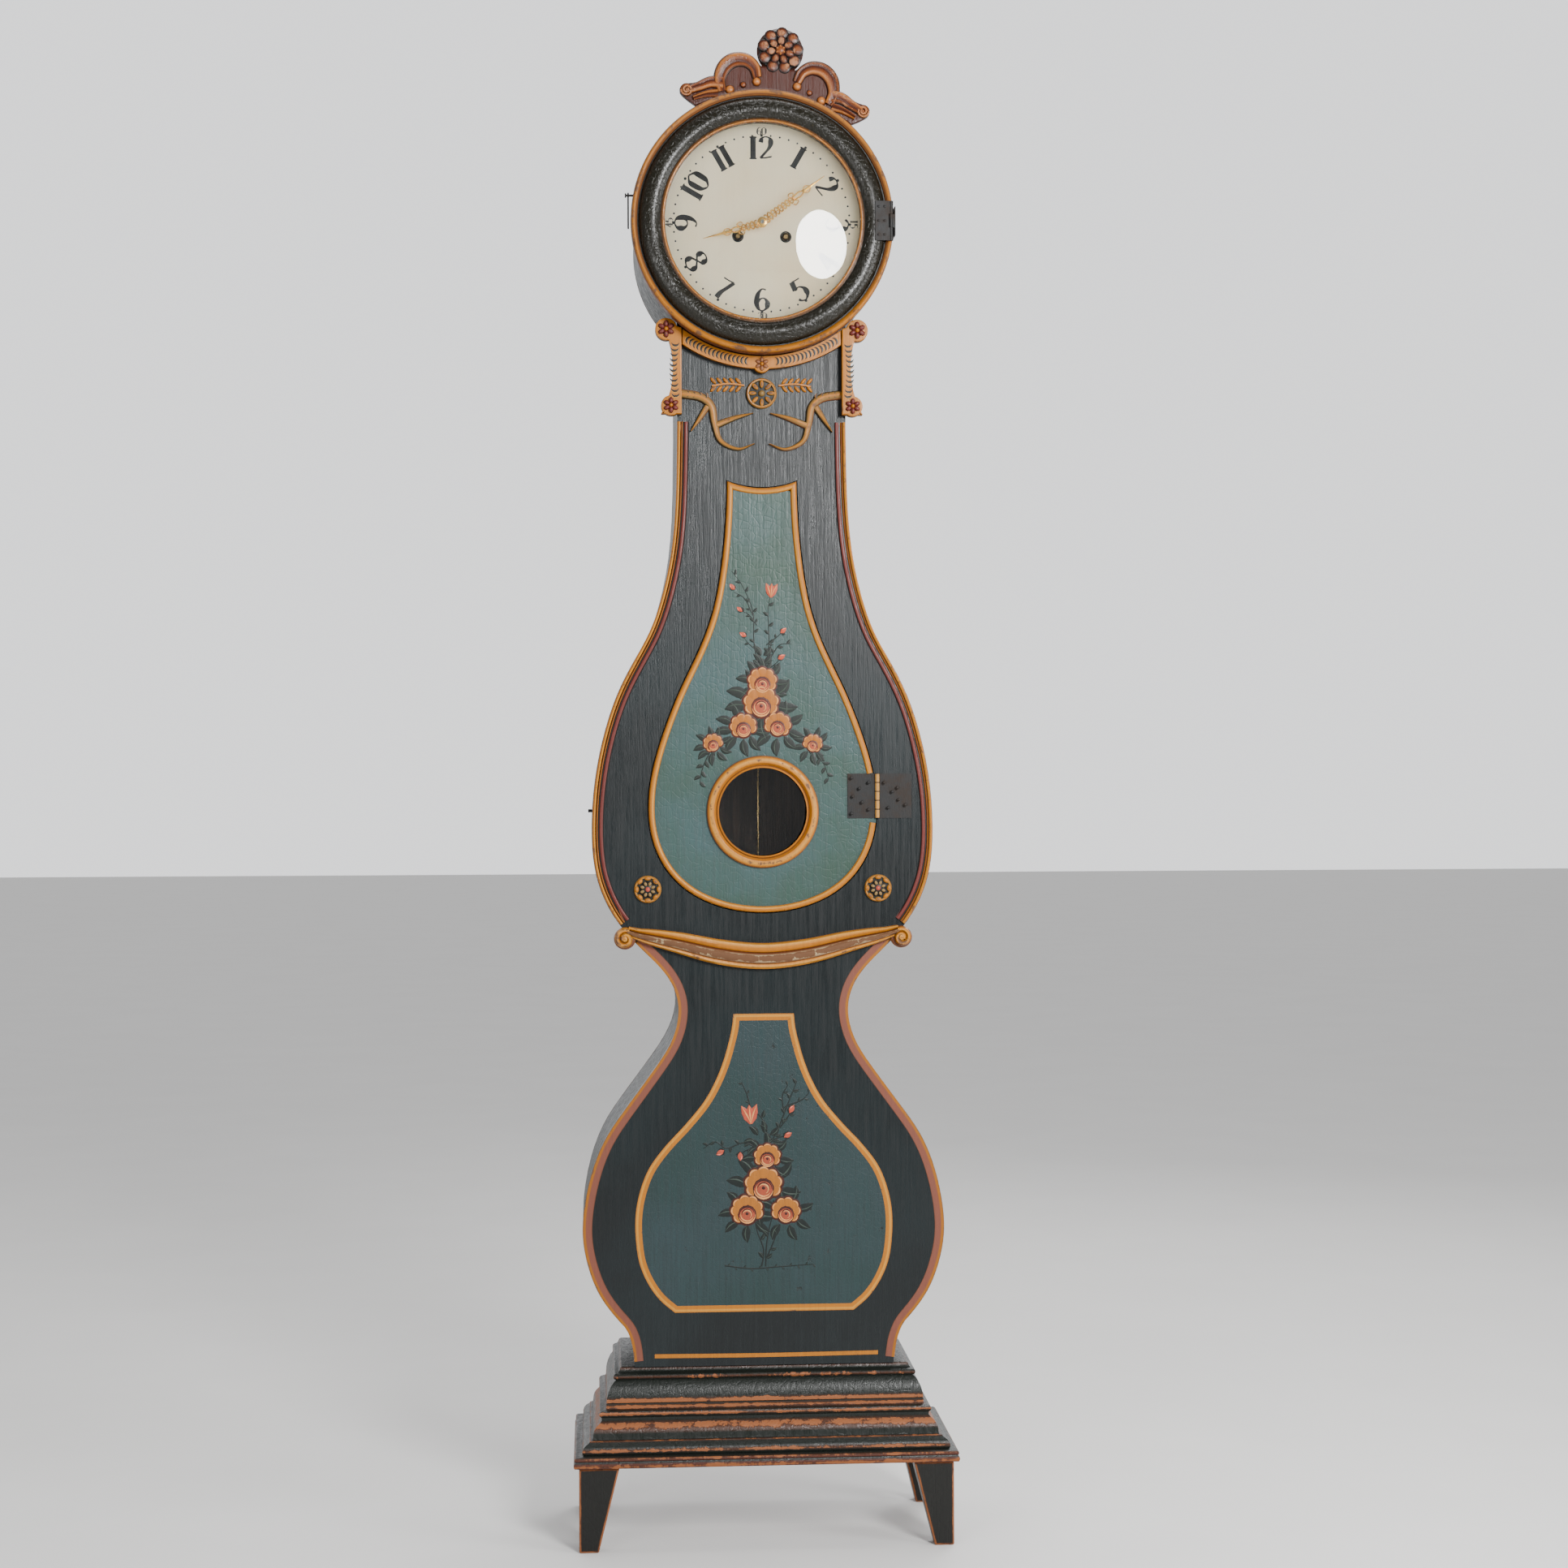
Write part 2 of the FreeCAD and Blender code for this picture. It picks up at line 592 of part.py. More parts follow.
def sprig(side):
    """A small S-scroll with two leaves, beside the neck's rosette."""
    z = NECK_ROSETTE_Z + 13
    stem = ribbon([(side * 27, z - 12), (side * 40, z + 8), (side * 56, z - 6), (side * 74, z + 10)],
                  7.0, FRONT - 5.0, FRONT)
    return stem.fuse([disc(side * 35, z + 14, 6.0, FRONT - 5.0, FRONT),
                      disc(side * 63, z - 14, 6.0, FRONT - 5.0, FRONT)])


carving = [disc(0, NECK_ROSETTE_Z, 23.0, CARVING - 4.0, FRONT)]
for side in (-1, 1):
    carving += [antler(side), sprig(side)]
node("neck_carving", feature("neck_carving", Part.makeCompound(carving)))


def bracket(side):
    """The carved bracket between the neck and the hood."""
    z = HOOD_Z
    inner, y0, y1 = 121.0, FRONT - 22.0, FRONT
    hollow = arc((side * 152, z - 146), (side * 134, z - 220), (side * 152, z - 285))
    edges = [hollow,
             line((side * 152, z - 285), (side * inner, z - 285)),
             line((side * inner, z - 285), (side * inner, z - 156)),
             line((side * inner, z - 156), (side * 152, z - 146))]
    body = solid(edges, y0, y1)
    knobs = [disc(side * 144, z - 158, 16.5, y0 - 3.0, y1), disc(side * 137, z - 272.5, 15.0, y0 - 3.0, y1)]
    return body.fuse(knobs).cut(disc(0, z, size("hood_outer") + 0.3, -400, 400)).removeSplitter()


node("bracket_left", feature("bracket_left", bracket(-1)))
node("bracket_right", feature("bracket_right", bracket(1)))

FRIEZE_IN, FRIEZE_OUT = size("hood_outer") + 0.5, size("hood_outer") + 19.0
frieze = disc(0, HOOD_Z, FRIEZE_OUT, FRONT - 16.0, FRONT).cut(disc(0, HOOD_Z, FRIEZE_IN, -400, 400))
frieze = frieze.common(block(-120.0, 120.0, -400, 400, HOOD_Z - 300, HOOD_Z - 120))
boss = disc(0, HOOD_Z - 209.0, 13.0, FRONT - 20.0, FRONT).cut(disc(0, HOOD_Z, FRIEZE_IN, -400, 400))
node("frieze", feature("frieze", frieze.fuse(boss).removeSplitter()))

# ---- trunk door --------------------------------------------------------------
PORT_Z = size("port_height")
door_board = solid(door_outline(0.0), FRONT, FRONT_BACK)
door_board = door_board.cut(disc(0, PORT_Z, size("port_inner") + size("port_wall"), -400, 400))
node("trunk_door_board", feature("trunk_door_board", door_board))

HINGE_LOW = value("hinge_height") - 0.5 * size("hinge_length")
HINGE_HIGH = HINGE_LOW + size("hinge_length")
trim = solid(door_outline(0.0), FRONT - size("door_trim_rise"), FRONT)
trim = trim.cut(solid(door_outline(-size("door_trim")), -400, 400))
trim = trim.cut(block(0.4 * size("door_half"), 300, -400, 400, HINGE_LOW - 1.0, HINGE_HIGH + 1.0))
node("trunk_door_moulding", feature("trunk_door_moulding", trim))

FACE = "case_front - plinth_half_depth"
node("porthole_ring", turned(
    "porthole_ring", "XY_Plane",
    [("port_inner", FACE + " - port_rise"), ("port_outer - 8", FACE + " - port_rise"),
     ("port_outer", FACE + " - 3"), ("port_outer", FACE), ("port_inner + port_wall", FACE),
     ("port_inner + port_wall", FACE + " + port_sleeve"), ("port_inner", FACE + " + port_sleeve")],
    Base_z="port_height"))
node("porthole_glass", turned(
    "porthole_glass", "XY_Plane",
    [("0", FACE + " + port_sleeve"), ("port_inner + port_wall", FACE + " + port_sleeve"),
     ("port_inner + port_wall", FACE + " + port_sleeve + glass_thick"),
     ("0", FACE + " + port_sleeve + glass_thick")],
    Base_z="port_height"))

AXIS_X = size("door_half") + 0.5 * size("door_gap")
AXIS_Y = FRONT - size("knuckle")


def hinge_parts(axis_x, axis_y, low, high, leaf_in, leaf_out, leaf_y, middle_is_case):
    """Door leaf with its pin, and case leaf, for a pin that stands upright."""
    r, pin, run = size("knuckle"), size("pin"), size("running")
    third = (high - low) / 3.0
    gap = 0.4

    def barrel(z0, z1):
        return Part.makeCylinder(r, z1 - z0, Vector(axis_x, axis_y, z0))

    thick = size("leaf_thick")
    door = block(axis_x - leaf_in, axis_x - r - 0.5, leaf_y - thick, leaf_y, low, high)
    door = door.fuse([barrel(low, low + third - gap), barrel(high - third + gap, high)])
    for z0, z1 in ((low, low + third - gap), (high - third + gap, high)):
        door = door.fuse(block(axis_x - r - 1.0, axis_x, leaf_y - thick, leaf_y, z0, z1))
    door = door.fuse(Part.makeCylinder(pin, high - low, Vector(axis_x, axis_y, low)))
    case = barrel(low + third, high - third)
    case = case.fuse(leaf_out(low, high, low + third, high - third))
    case = case.cut(Part.makeCylinder(pin + run, high - low, Vector(axis_x, axis_y, low)))
    return door.removeSplitter(), case.removeSplitter()


def trunk_case_leaf(low, high, z0, z1):
    thick, r = size("leaf_thick"), size("knuckle")
    leaf = block(AXIS_X + r + 0.5, AXIS_X + size("hinge_case_leaf"), FRONT - thick, FRONT, low, high)
    return leaf.fuse(block(AXIS_X, AXIS_X + r + 1.0, FRONT - thick, FRONT, z0, z1))


door_leaf, case_leaf = hinge_parts(AXIS_X, AXIS_Y, HINGE_LOW, HINGE_HIGH, size("hinge_leaf"),
                                   trunk_case_leaf, FRONT, True)
node("trunk_door_leaf", feature("trunk_door_leaf", door_leaf))
node("trunk_case_leaf", feature("trunk_case_leaf", case_leaf))

# ---- hood --------------------------------------------------------------------
DRUM = "drum_front - plinth_half_depth"
DRUM_Y = value(DRUM)
drum = disc(0, HOOD_Z, size("drum_outer"), DRUM_Y, BACK_FRONT)
drum = drum.cut(disc(0, HOOD_Z, size("drum_outer") - size("drum_wall"), -400, 400))
passage = size("neck_half") - size("side_board")
drum = drum.cut(block(-passage, passage, FRONT_BACK, BACK_FRONT + 1.0, HOOD_Z - 220, HOOD_Z - 100))
node("hood_drum", feature("hood_drum", drum))
node("hood_back", rod_back("hood_back", "drum_outer", "back_thick", "0",
                           "plinth_half_depth - back_thick", "hood_height"))
PLATE = DRUM + " - hood_plate"
node("hood_moulding", turned(
    "hood_moulding", "XY_Plane",
    [("hood_inner", DRUM), ("hood_outer", DRUM), ("hood_outer", PLATE + " - hood_lip + 4"),
     ("hood_outer - 3", PLATE + " - hood_lip"), ("hood_outer - hood_lip_width + 2", PLATE + " - hood_lip"),
     ("hood_outer - hood_lip_width", PLATE + " - hood_lip + 3"),
     ("hood_outer - hood_lip_width", PLATE), ("hood_inner", PLATE)],
    Base_z="hood_height"))

RING = PLATE + " - ring_back"
RIM = "hood_outer - hood_lip_width - ring_gap"
node("hood_door_ring", turned(
    "hood_door_ring", "XY_Plane",
    [("sight", RING), (RIM, RING), (RIM, RING + " - ring_rise + 6"),
     (RIM + " - 6", RING + " - ring_rise"), ("bead_outer + 6", RING + " - ring_rise"),
     ("bead_outer", RING + " - ring_rise + 5"), ("bead_outer - 2", RING + " - ring_rise + 3"),
     ("sight", RING + " - ring_rise + 6")],
    Base_z="hood_height"))

GLASS_Y = value(RING) - 3.0
SIGHT = size("sight")


def bowed_pane(shrink):
    """A cap of glass: one surface of the pane, as an edge from rim to middle."""
    rise = size("dome_rise")
    radius = (SIGHT ** 2 + rise ** 2) / (2.0 * rise)
    centre = GLASS_Y - rise + radius
    ball = radius - shrink

    def point(across):
        return Vector(across, centre - math.sqrt(ball ** 2 - across ** 2), HOOD_Z)

    return point(0.0), point(0.5 * SIGHT), point(SIGHT)


fore, back = bowed_pane(0.0), bowed_pane(2.0)
pane = Part.Wire([Part.Arc(*fore).toShape(), Part.makeLine(fore[2], back[2]),
                  Part.Arc(back[2], back[1], back[0]).toShape(), Part.makeLine(back[0], fore[0])])
pane = Part.Face(pane).revolve(Vector(0, 0, HOOD_Z), Vector(0, 1, 0), 360)
node("hood_glass", feature("hood_glass", pane))

HOOD_AXIS_X = size("hood_axis")
HOOD_AXIS_Y = value(front("hood_axis_fore"))
H_LOW = HOOD_Z - 0.5 * size("hood_hinge_length")
H_HIGH = H_LOW + size("hood_hinge_length")
RING_FACE = value(RING + " - ring_rise")


def hood_case_leaf(low, high, z0, z1):
    thick, outer = size("leaf_thick"), size("hood_outer")
    wing = block(outer + 0.1, outer + 0.1 + thick, HOOD_AXIS_Y - thick, DRUM_Y, low + 8, high - 8)
    return wing.fuse(block(HOOD_AXIS_X, outer + 0.1 + thick, HOOD_AXIS_Y - thick, HOOD_AXIS_Y, z0, z1))


hood_leaf, drum_leaf = hinge_parts(HOOD_AXIS_X, HOOD_AXIS_Y, H_LOW, H_HIGH, 24.0,
                                   hood_case_leaf, RING_FACE, True)
node("hood_door_leaf", feature("hood_door_leaf", hood_leaf))
node("hood_case_leaf", feature("hood_case_leaf", drum_leaf))

HOOK_X = -size("hood_outer") - 3.5
HOOK_Y = value(DRUM) - 0.5 * size("hood_plate")
HOOK_Z = HOOD_Z + 38.0
WIRE = 1.2
eye = Part.makeTorus(3.2, WIRE, Vector(HOOK_X, HOOK_Y, HOOK_Z), Vector(1, 0, 0))
wire = Part.makeCylinder(WIRE, 46.0, Vector(HOOK_X, HOOK_Y, HOOK_Z - 3.2), Vector(0, 0, -1))
claw = Part.makeCylinder(WIRE, 9.0, Vector(HOOK_X, HOOK_Y, HOOK_Z - 49.2), Vector(0, -1, 0.0))
ball = Part.makeSphere(WIRE, Vector(HOOK_X, HOOK_Y, HOOK_Z - 49.2))
node("hood_hook", feature("hood_hook", eye.fuse([wire, ball, claw])))
screw = Part.makeCylinder(1.6, 16.0, Vector(HOOK_X - 4.0, HOOK_Y, HOOK_Z), Vector(1, 0, 0))
screw = screw.fuse(Part.makeCylinder(3.4, 2.0, Vector(HOOK_X - 5.0, HOOK_Y, HOOK_Z), Vector(1, 0, 0)))
screw = screw.cut(disc(0, HOOD_Z, size("hood_outer"), -400, 400))
peg_z = PORT_Z + 2.0
peg_x = OUTER.value(at_height(OUTER, peg_z)).x
peg = Part.makeCylinder(2.5, 6.0, Vector(-peg_x - 0.1, 0, peg_z), Vector(-1, 0, 0))
node("hook_screw_and_peg", feature("hook_screw_and_peg", Part.makeCompound([screw, peg])))

# ---- crest -------------------------------------------------------------------
CREST_Y0, CREST_Y1 = value(PLATE), DRUM_Y - 2.0
BASE = size("hood_outer") + 0.4


def crest_spot(across, up):
    """A place on the crest, measured from the hood's centre before it leans."""
    lean = math.radians(size("crest_tilt"))
    return (across * math.cos(lean) + up * math.sin(lean),
            HOOD_Z + up * math.cos(lean) - across * math.sin(lean))


def crest_disc(across, up, radius, inner=0.0):
    x, z = crest_spot(across, up)
    body = disc(x, z, radius, CREST_Y0, CREST_Y1)
    return body.cut(disc(x, z, inner, -400, 400)) if inner else body


band = disc(0, HOOD_Z, BASE + 13.0, CREST_Y0, CREST_Y1)
corner_left, corner_right = crest_spot(-500, 690), crest_spot(500, 690)
wedge = Part.makePolygon([Vector(0, -400, HOOD_Z), Vector(corner_right[0], -400, corner_right[1]),
                          Vector(corner_left[0], -400, corner_left[1]), Vector(0, -400, HOOD_Z)])
wedge = Part.Face(wedge).extrude(Vector(0, 800, 0))
crest = band.common(wedge)
crest = crest.fuse([crest_disc(-134, 184, 14), crest_disc(130, 180, 14),
                    crest_disc(-62, 214, 40, 20), crest_disc(62, 214, 40, 20),
                    crest_disc(-108, 200, 22), crest_disc(108, 196, 22),
                    crest_disc(0, 226, 26), crest_disc(0, size("crest_top") - 37.0, 37.0)])
crest = crest.cut(disc(0, HOOD_Z, BASE, -400, 400))
node("crest", feature("crest", crest.removeSplitter()))

# ---- wheels ------------------------------------------------------------------
ADDENDUM = 0.65
DEDENDUM = 0.9


def wheel(teeth, module, x, z, y0, thick, phase, bore, windows=0):
    """A toothed wheel; phase is the direction, in degrees, of one tooth's middle."""
    pitch = 0.5 * teeth * module
    tip, root = pitch + ADDENDUM * module, pitch - DEDENDUM * module
    points = []
    for i in range(teeth):
        for share, radius in ((-0.19, root), (-0.09, tip), (0.09, tip), (0.19, root)):
            a = math.radians(phase + (i + share) * 360.0 / teeth)
            points.append(Vector(x + radius * math.cos(a), y0, z + radius * math.sin(a)))
    body = Part.Face(Part.makePolygon(points + points[:1])).extrude(Vector(0, thick, 0))
    if bore:
        body = body.cut(disc(x, z, bore, y0 - 1, y0 + thick + 1))
    for i in range(windows):
        a = math.radians(45.0 + i * 360.0 / windows)
        spoke = 0.58 * pitch
        body = body.cut(disc(x + spoke * math.cos(a), z + spoke * math.sin(a), 0.28 * pitch,
                             y0 - 1, y0 + thick + 1))
    return body


def way(a, b):
    """The direction from one arbor to another, in degrees."""
    return math.degrees(math.atan2(b[1] - a[1], b[0] - a[0]))


PLATE_FRONT = value(front("movement_front"))
F = PLATE_FRONT + size("plate_thick")
B = F + size("plate_space")
B_OUT = B + size("plate_thick")
THIN, PIVOT, RUN = size("thin_arbor"), size("pivot"), size("running")
ARBOR = size("arbor")

LEAVES = 8
GREAT_TEETH, CENTRE_TEETH, THIRD_TEETH, ESCAPE_TEETH = 96, 64, 60, 30
CENTRE = (0.0, HOOD_Z)
GOING = (size("wind_across"), HOOD_Z - size("wind_below"))
STRIKE = (-size("wind_across"), HOOD_Z - size("wind_below"))
REACH = math.hypot(size("wind_across"), size("wind_below"))
GREAT_MODULE = 2.0 * REACH / (GREAT_TEETH + LEAVES)
CENTRE_MODULE, THIRD_MODULE, ESCAPE_MODULE = 0.9, 0.8, 1.0
TO_THIRD = 0.5 * CENTRE_MODULE * (CENTRE_TEETH + LEAVES)
TO_ESCAPE = 0.5 * THIRD_MODULE * (THIRD_TEETH + LEAVES)
ESCAPE = (0.0, HOOD_Z + 36.0)
third_up = (TO_THIRD ** 2 - TO_ESCAPE ** 2 + 36.0 ** 2) / 72.0
THIRD = (-math.sqrt(TO_THIRD ** 2 - third_up ** 2), HOOD_Z + third_up)
ANCHOR = (0.0, HOOD_Z + size("anchor_above"))

# Going train. A pinion points a leaf at its wheel, and the wheel a gap at the leaf.
half_pitch = 180.0 / GREAT_TEETH
great = wheel(GREAT_TEETH, GREAT_MODULE, GOING[0], GOING[1], F + 3, 3.0,
              way(GOING, CENTRE) + half_pitch, ARBOR + RUN, 5)
node("going_great_wheel", feature("going_great_wheel", great))

MOTION = (0.0, HOOD_Z - 30.0)
MINUTE_Y = GLASS_Y + 9.0
centre = disc(0, HOOD_Z, THIN, F, B)
centre = centre.fuse([
    disc(0, HOOD_Z, PIVOT, B, B_OUT),
    disc(0, HOOD_Z, ARBOR, MINUTE_Y - 3.5, F),
    wheel(LEAVES, GREAT_MODULE, 0, HOOD_Z, F + 2, 5.0, way(CENTRE, GOING), 0),
    wheel(CENTRE_TEETH, CENTRE_MODULE, 0, HOOD_Z, F + 13, 2.0,
          way(CENTRE, THIRD) + 180.0 / CENTRE_TEETH, 0, 5),
    wheel(12, 1.25, 0, HOOD_Z, PLATE_FRONT - 6.0, 4.0, way(CENTRE, MOTION), 0)])
node("centre_arbor", feature("centre_arbor", centre.removeSplitter()))

third = disc(THIRD[0], THIRD[1], THIN, F + 0.5, B - 0.5)
third = third.fuse([
    disc(THIRD[0], THIRD[1], PIVOT, F - 3.0, B_OUT),
    wheel(LEAVES, CENTRE_MODULE, THIRD[0], THIRD[1], F + 11, 6.0, way(THIRD, CENTRE), 0),
    wheel(THIRD_TEETH, THIRD_MODULE, THIRD[0], THIRD[1], F + 31, 2.0,
          way(THIRD, ESCAPE) + 180.0 / THIRD_TEETH, 0, 5)])
node("third_wheel", feature("third_wheel", third.removeSplitter()))

escape = disc(0, ESCAPE[1], THIN, F + 0.5, B - 0.5)
escape = escape.fuse([
    disc(0, ESCAPE[1], PIVOT, F - 3.0, B_OUT),
    wheel(LEAVES, THIRD_MODULE, 0, ESCAPE[1], F + 29, 6.0, way(ESCAPE, THIRD), 0),
    wheel(ESCAPE_TEETH, ESCAPE_MODULE, 0, ESCAPE[1], F + 39, 1.0, 90.0, 0, 5)])
node("escape_wheel", feature("escape_wheel", escape.removeSplitter()))

# Motion work between the front plate and the dial.
motion = disc(MOTION[0], MOTION[1], PIVOT + 1.5, PLATE_FRONT - 12.0, PLATE_FRONT - 0.5)
motion = motion.fuse([
    disc(MOTION[0], MOTION[1], PIVOT, PLATE_FRONT - 0.5, PLATE_FRONT + size("plate_thick")),
    wheel(36, 1.25, MOTION[0], MOTION[1], PLATE_FRONT - 5.0, 2.0, 90.0 + 180.0 / 36, 0, 5),
    wheel(10, 1.2, MOTION[0], MOTION[1], PLATE_FRONT - 12.0, 5.0, 90.0, 0)])
node("minute_wheel", feature("minute_wheel", motion.removeSplitter()))

HOUR_Y = MINUTE_Y + 4.5
pipe = disc(0, HOOD_Z, ARBOR + 2.0, HOUR_Y - 1.0, PLATE_FRONT - 8.0)
pipe = pipe.fuse(wheel(40, 1.2, 0, HOOD_Z, PLATE_FRONT - 10.5, 2.5, -90.0 + 180.0 / 40, 0, 5))
pipe = pipe.cut(disc(0, HOOD_Z, ARBOR + 2 * RUN, HOUR_Y - 4, PLATE_FRONT))
node("hour_wheel", feature("hour_wheel", pipe.removeSplitter()))


def hand(length, angle, y0, thick, hub, bore):
    """A pierced hand: hub, blade with a ring in it, and a tapered tip."""
    def at(along, across):
        a = math.radians(angle)
        return Vector(along * math.sin(a) + across * math.cos(a), y0,
                      HOOD_Z + along * math.cos(a) - across * math.sin(a))

    swell = 0.13 * length
    middle = 0.55 * length
    stem = Part.makePolygon([at(0, -3), at(middle, -2.2), at(middle, 2.2), at(0, 3), at(0, -3)])
    tip = Part.makePolygon([at(middle, -3.5), at(length, -0.6), at(length, 0.6), at(middle, 3.5),
                            at(middle, -3.5)])
    body = Part.Face(stem).extrude(Vector(0, thick, 0)).fuse(Part.Face(tip).extrude(Vector(0, thick, 0)))
    eye = at(middle, 0)
    ring = disc(eye.x, eye.z, swell, y0, y0 + thick)
    body = body.fuse([ring, disc(0, HOOD_Z, hub, y0, y0 + thick)])
    body = body.cut(disc(eye.x, eye.z, 0.62 * swell, y0 - 1, y0 + thick + 1))
    return body.cut(disc(0, HOOD_Z, bore, y0 - 1, y0 + thick + 1))


node("minute_hand", feature("minute_hand", hand(size("minute_length"), size("minute_angle"),
                                                MINUTE_Y - 2.5, 1.2, 8.0, ARBOR)))
node("hour_hand", feature("hour_hand", hand(size("hour_length"), size("hour_angle"),
                                            HOUR_Y, 1.2, 10.0, ARBOR + 2.0)))

# ---- plates, dial, barrels -----------------------------------------------------
HALF = "plate_half"
CORNERS = [("- plate_half", "hood_height - seat_below"), (HALF, "hood_height - seat_below"),
           (HALF, "hood_height + plate_top"), ("- plate_half", "hood_height + plate_top")]
DIAL_Y = value(front("drum_front + dial_thick"))
WINDING = [(GOING, "going"), (STRIKE, "strike")]
SMALL = [THIRD, ESCAPE]


def bores(wide, narrow, y0, y1):
    rings = [disc(p[0], p[1], ARBOR + RUN, y0 - 1, y1 + 1) for p in wide]
    return rings + [disc(p[0], p[1], PIVOT + RUN, y0 - 1, y1 + 1) for p in narrow]


front_blank = plate("front_plate_blank", CORNERS, "plate_thick",
                    "movement_front + plate_thick - plinth_half_depth")
back_blank = plate("back_plate_blank", CORNERS, "plate_thick",
                   "movement_front + plate_thick + plate_space + plate_thick - plinth_half_depth")
front_bores = feature("front_plate_bores", Part.makeCompound(
    bores([CENTRE, GOING, STRIKE], SMALL + [MOTION, ANCHOR], PLATE_FRONT, F)))
HAMMER = (-15.0, HOOD_Z + 58.0)
back_bores = feature("back_plate_bores", Part.makeCompound(
    bores([GOING, STRIKE], SMALL + [CENTRE, HAMMER], B, B_OUT)
    + [disc(ANCHOR[0], ANCHOR[1], THIN + RUN, B - 1, B_OUT + 1)]))
node("front_plate", cut("front_plate", front_blank, front_bores))
plate_back = cut("back_plate_bored", back_blank, back_bores)
pillars = [rod_back("pillar_%d" % i, "4", "plate_space", across,
                    "movement_front + plate_thick - plinth_half_depth", "hood_height " + up)
           for i, (across, up) in enumerate([("plate_half - 7", "+ plate_top - 8"),
                                             ("7 - plate_half", "+ plate_top - 8"),
                                             ("plate_half - 7", "- seat_below + 8"),
                                             ("7 - plate_half", "- seat_below + 8")])]
PEND_Y = value(front("pendulum_back"))
cock = box("pendulum_cock", "24", "pendulum_back - movement_front - plate_thick - plate_space - plate_thick + 6",
           "6", "- 12",
           "movement_front + plate_thick + plate_space + plate_thick - plinth_half_depth",
           "hood_height + anchor_above + 5")
node("back_plate", fuse("back_plate", plate_back, cock, *pillars))

dial_disc = rod_back("dial_disc", "dial_radius", "dial_thick", "0",
                     "drum_front - plinth_half_depth", "hood_height")
dial_bores = feature("dial_bores", Part.makeCompound(
    [disc(p[0], p[1], size("wind_hole"), DIAL_Y - 9, DIAL_Y + 1) for p in (GOING, STRIKE)]
    + [disc(0, HOOD_Z, ARBOR + 3.0, DIAL_Y - 9, DIAL_Y + 1)]))
dial_plate = cut("dial_plate", dial_disc, dial_bores)
posts = [rod_back("dial_post_%d" % i, "3", "movement_front - drum_front - dial_thick", across,
                  "drum_front + dial_thick - plinth_half_depth", "hood_height " + up)
         for i, (across, up) in enumerate([("plate_half - 10", "+ plate_top - 22"),
                                           ("10 - plate_half", "+ plate_top - 22"),
                                           ("plate_half - 10", "- seat_below + 22"),
                                           ("10 - plate_half", "- seat_below + 22")])]
node("dial", fuse("dial", dial_plate, *posts))

LINE_Y = F + 32.0
for spot, label in WINDING:
    x, z = spot
    drum_r = size("drum_line")
    turned_drum = disc(x, z, ARBOR, DIAL_Y - 4.0, B_OUT)
    square = Part.makePolygon([Vector(x + 3.6 * math.cos(a), DIAL_Y - 5.0, z + 3.6 * math.sin(a))
                               for a in [math.radians(45 + 90 * i) for i in range(5)]])
    turned_drum = turned_drum.fuse([
        Part.Face(square).extrude(Vector(0, 12.0, 0)),
        disc(x, z, drum_r, F + 20, F + 44),
        disc(x, z, drum_r + 4.0, F + 19, F + 20),
        disc(x, z, drum_r + 4.0, F + 44, F + 45)])
    if label == "strike":
        turned_drum = turned_drum.fuse(wheel(84, 0.8, x, z, F + 49, 3.0, 90.0, 0, 5))
    name = label + "_barrel"
    node(name, feature(name, turned_drum.removeSplitter()))

# ---- anchor, pendulum, bell ------------------------------------------------------
ax, az = ANCHOR
anchor = disc(ax, az, THIN, F + 0.5, B_OUT + 6.0).fuse(disc(ax, az, PIVOT, F - 3.0, F + 0.5))
arms = []
for side in (-1, 1):
    toe = (side * 13.5, ESCAPE[1] + 13.5)
    arm = Part.makePolygon([Vector(side * -4, F + 38, az + 4), Vector(side * 15.5, F + 38, az - 7),
                            Vector(toe[0] + side * 2.5, F + 38, toe[1] + 1),
                            Vector(toe[0], F + 38, toe[1] - 0.5),
                            Vector(side * 11.5, F + 38, az - 9), Vector(side * -4, F + 38, az - 4),
                            Vector(side * -4, F + 38, az + 4)])
    arms.append(Part.Face(arm).extrude(Vector(0, 3.0, 0)))
crutch = block(ax - 3, ax + 3, B_OUT + 3.5, B_OUT + 6.0, HOOD_Z - 78, az)
ROD = size("rod")
FORK = ROD + 0.5
prongs = [block(side * FORK if side > 0 else -FORK - 2.2, FORK + 2.2 if side > 0 else -FORK,
                B_OUT + 3.5, PEND_Y + 6.0, HOOD_Z - 78, HOOD_Z - 68) for side in (-1, 1)]
foot = block(-FORK - 2.2, FORK + 2.2, B_OUT + 3.5, B_OUT + 6.0, HOOD_Z - 78, HOOD_Z - 68)
anchor = anchor.fuse(arms + [crutch, foot] + prongs)
node("anchor", feature("anchor", anchor.removeSplitter()))

BOB_Z = size("bob_height")
BOB_R, BOB_T = size("bob_radius"), size("bob_half")
rod = Part.makeCylinder(ROD, az - 6 - (BOB_Z - BOB_R - 22), Vector(0, PEND_Y, BOB_Z - BOB_R - 22))
lens_r = (BOB_R ** 2 + BOB_T ** 2) / (2 * BOB_T)
lens = Part.makeSphere(lens_r, Vector(0, PEND_Y + lens_r - BOB_T, BOB_Z)).common(
    Part.makeSphere(lens_r, Vector(0, PEND_Y - lens_r + BOB_T, BOB_Z)))
spring = block(-4, 4, PEND_Y - 0.4, PEND_Y + 0.4, az - 7, az + 4.4)
nut = Part.makeCylinder(7, 6, Vector(0, PEND_Y, BOB_Z - BOB_R - 14))
node("pendulum", feature("pendulum", rod.fuse([lens, spring, nut]).removeSplitter()))

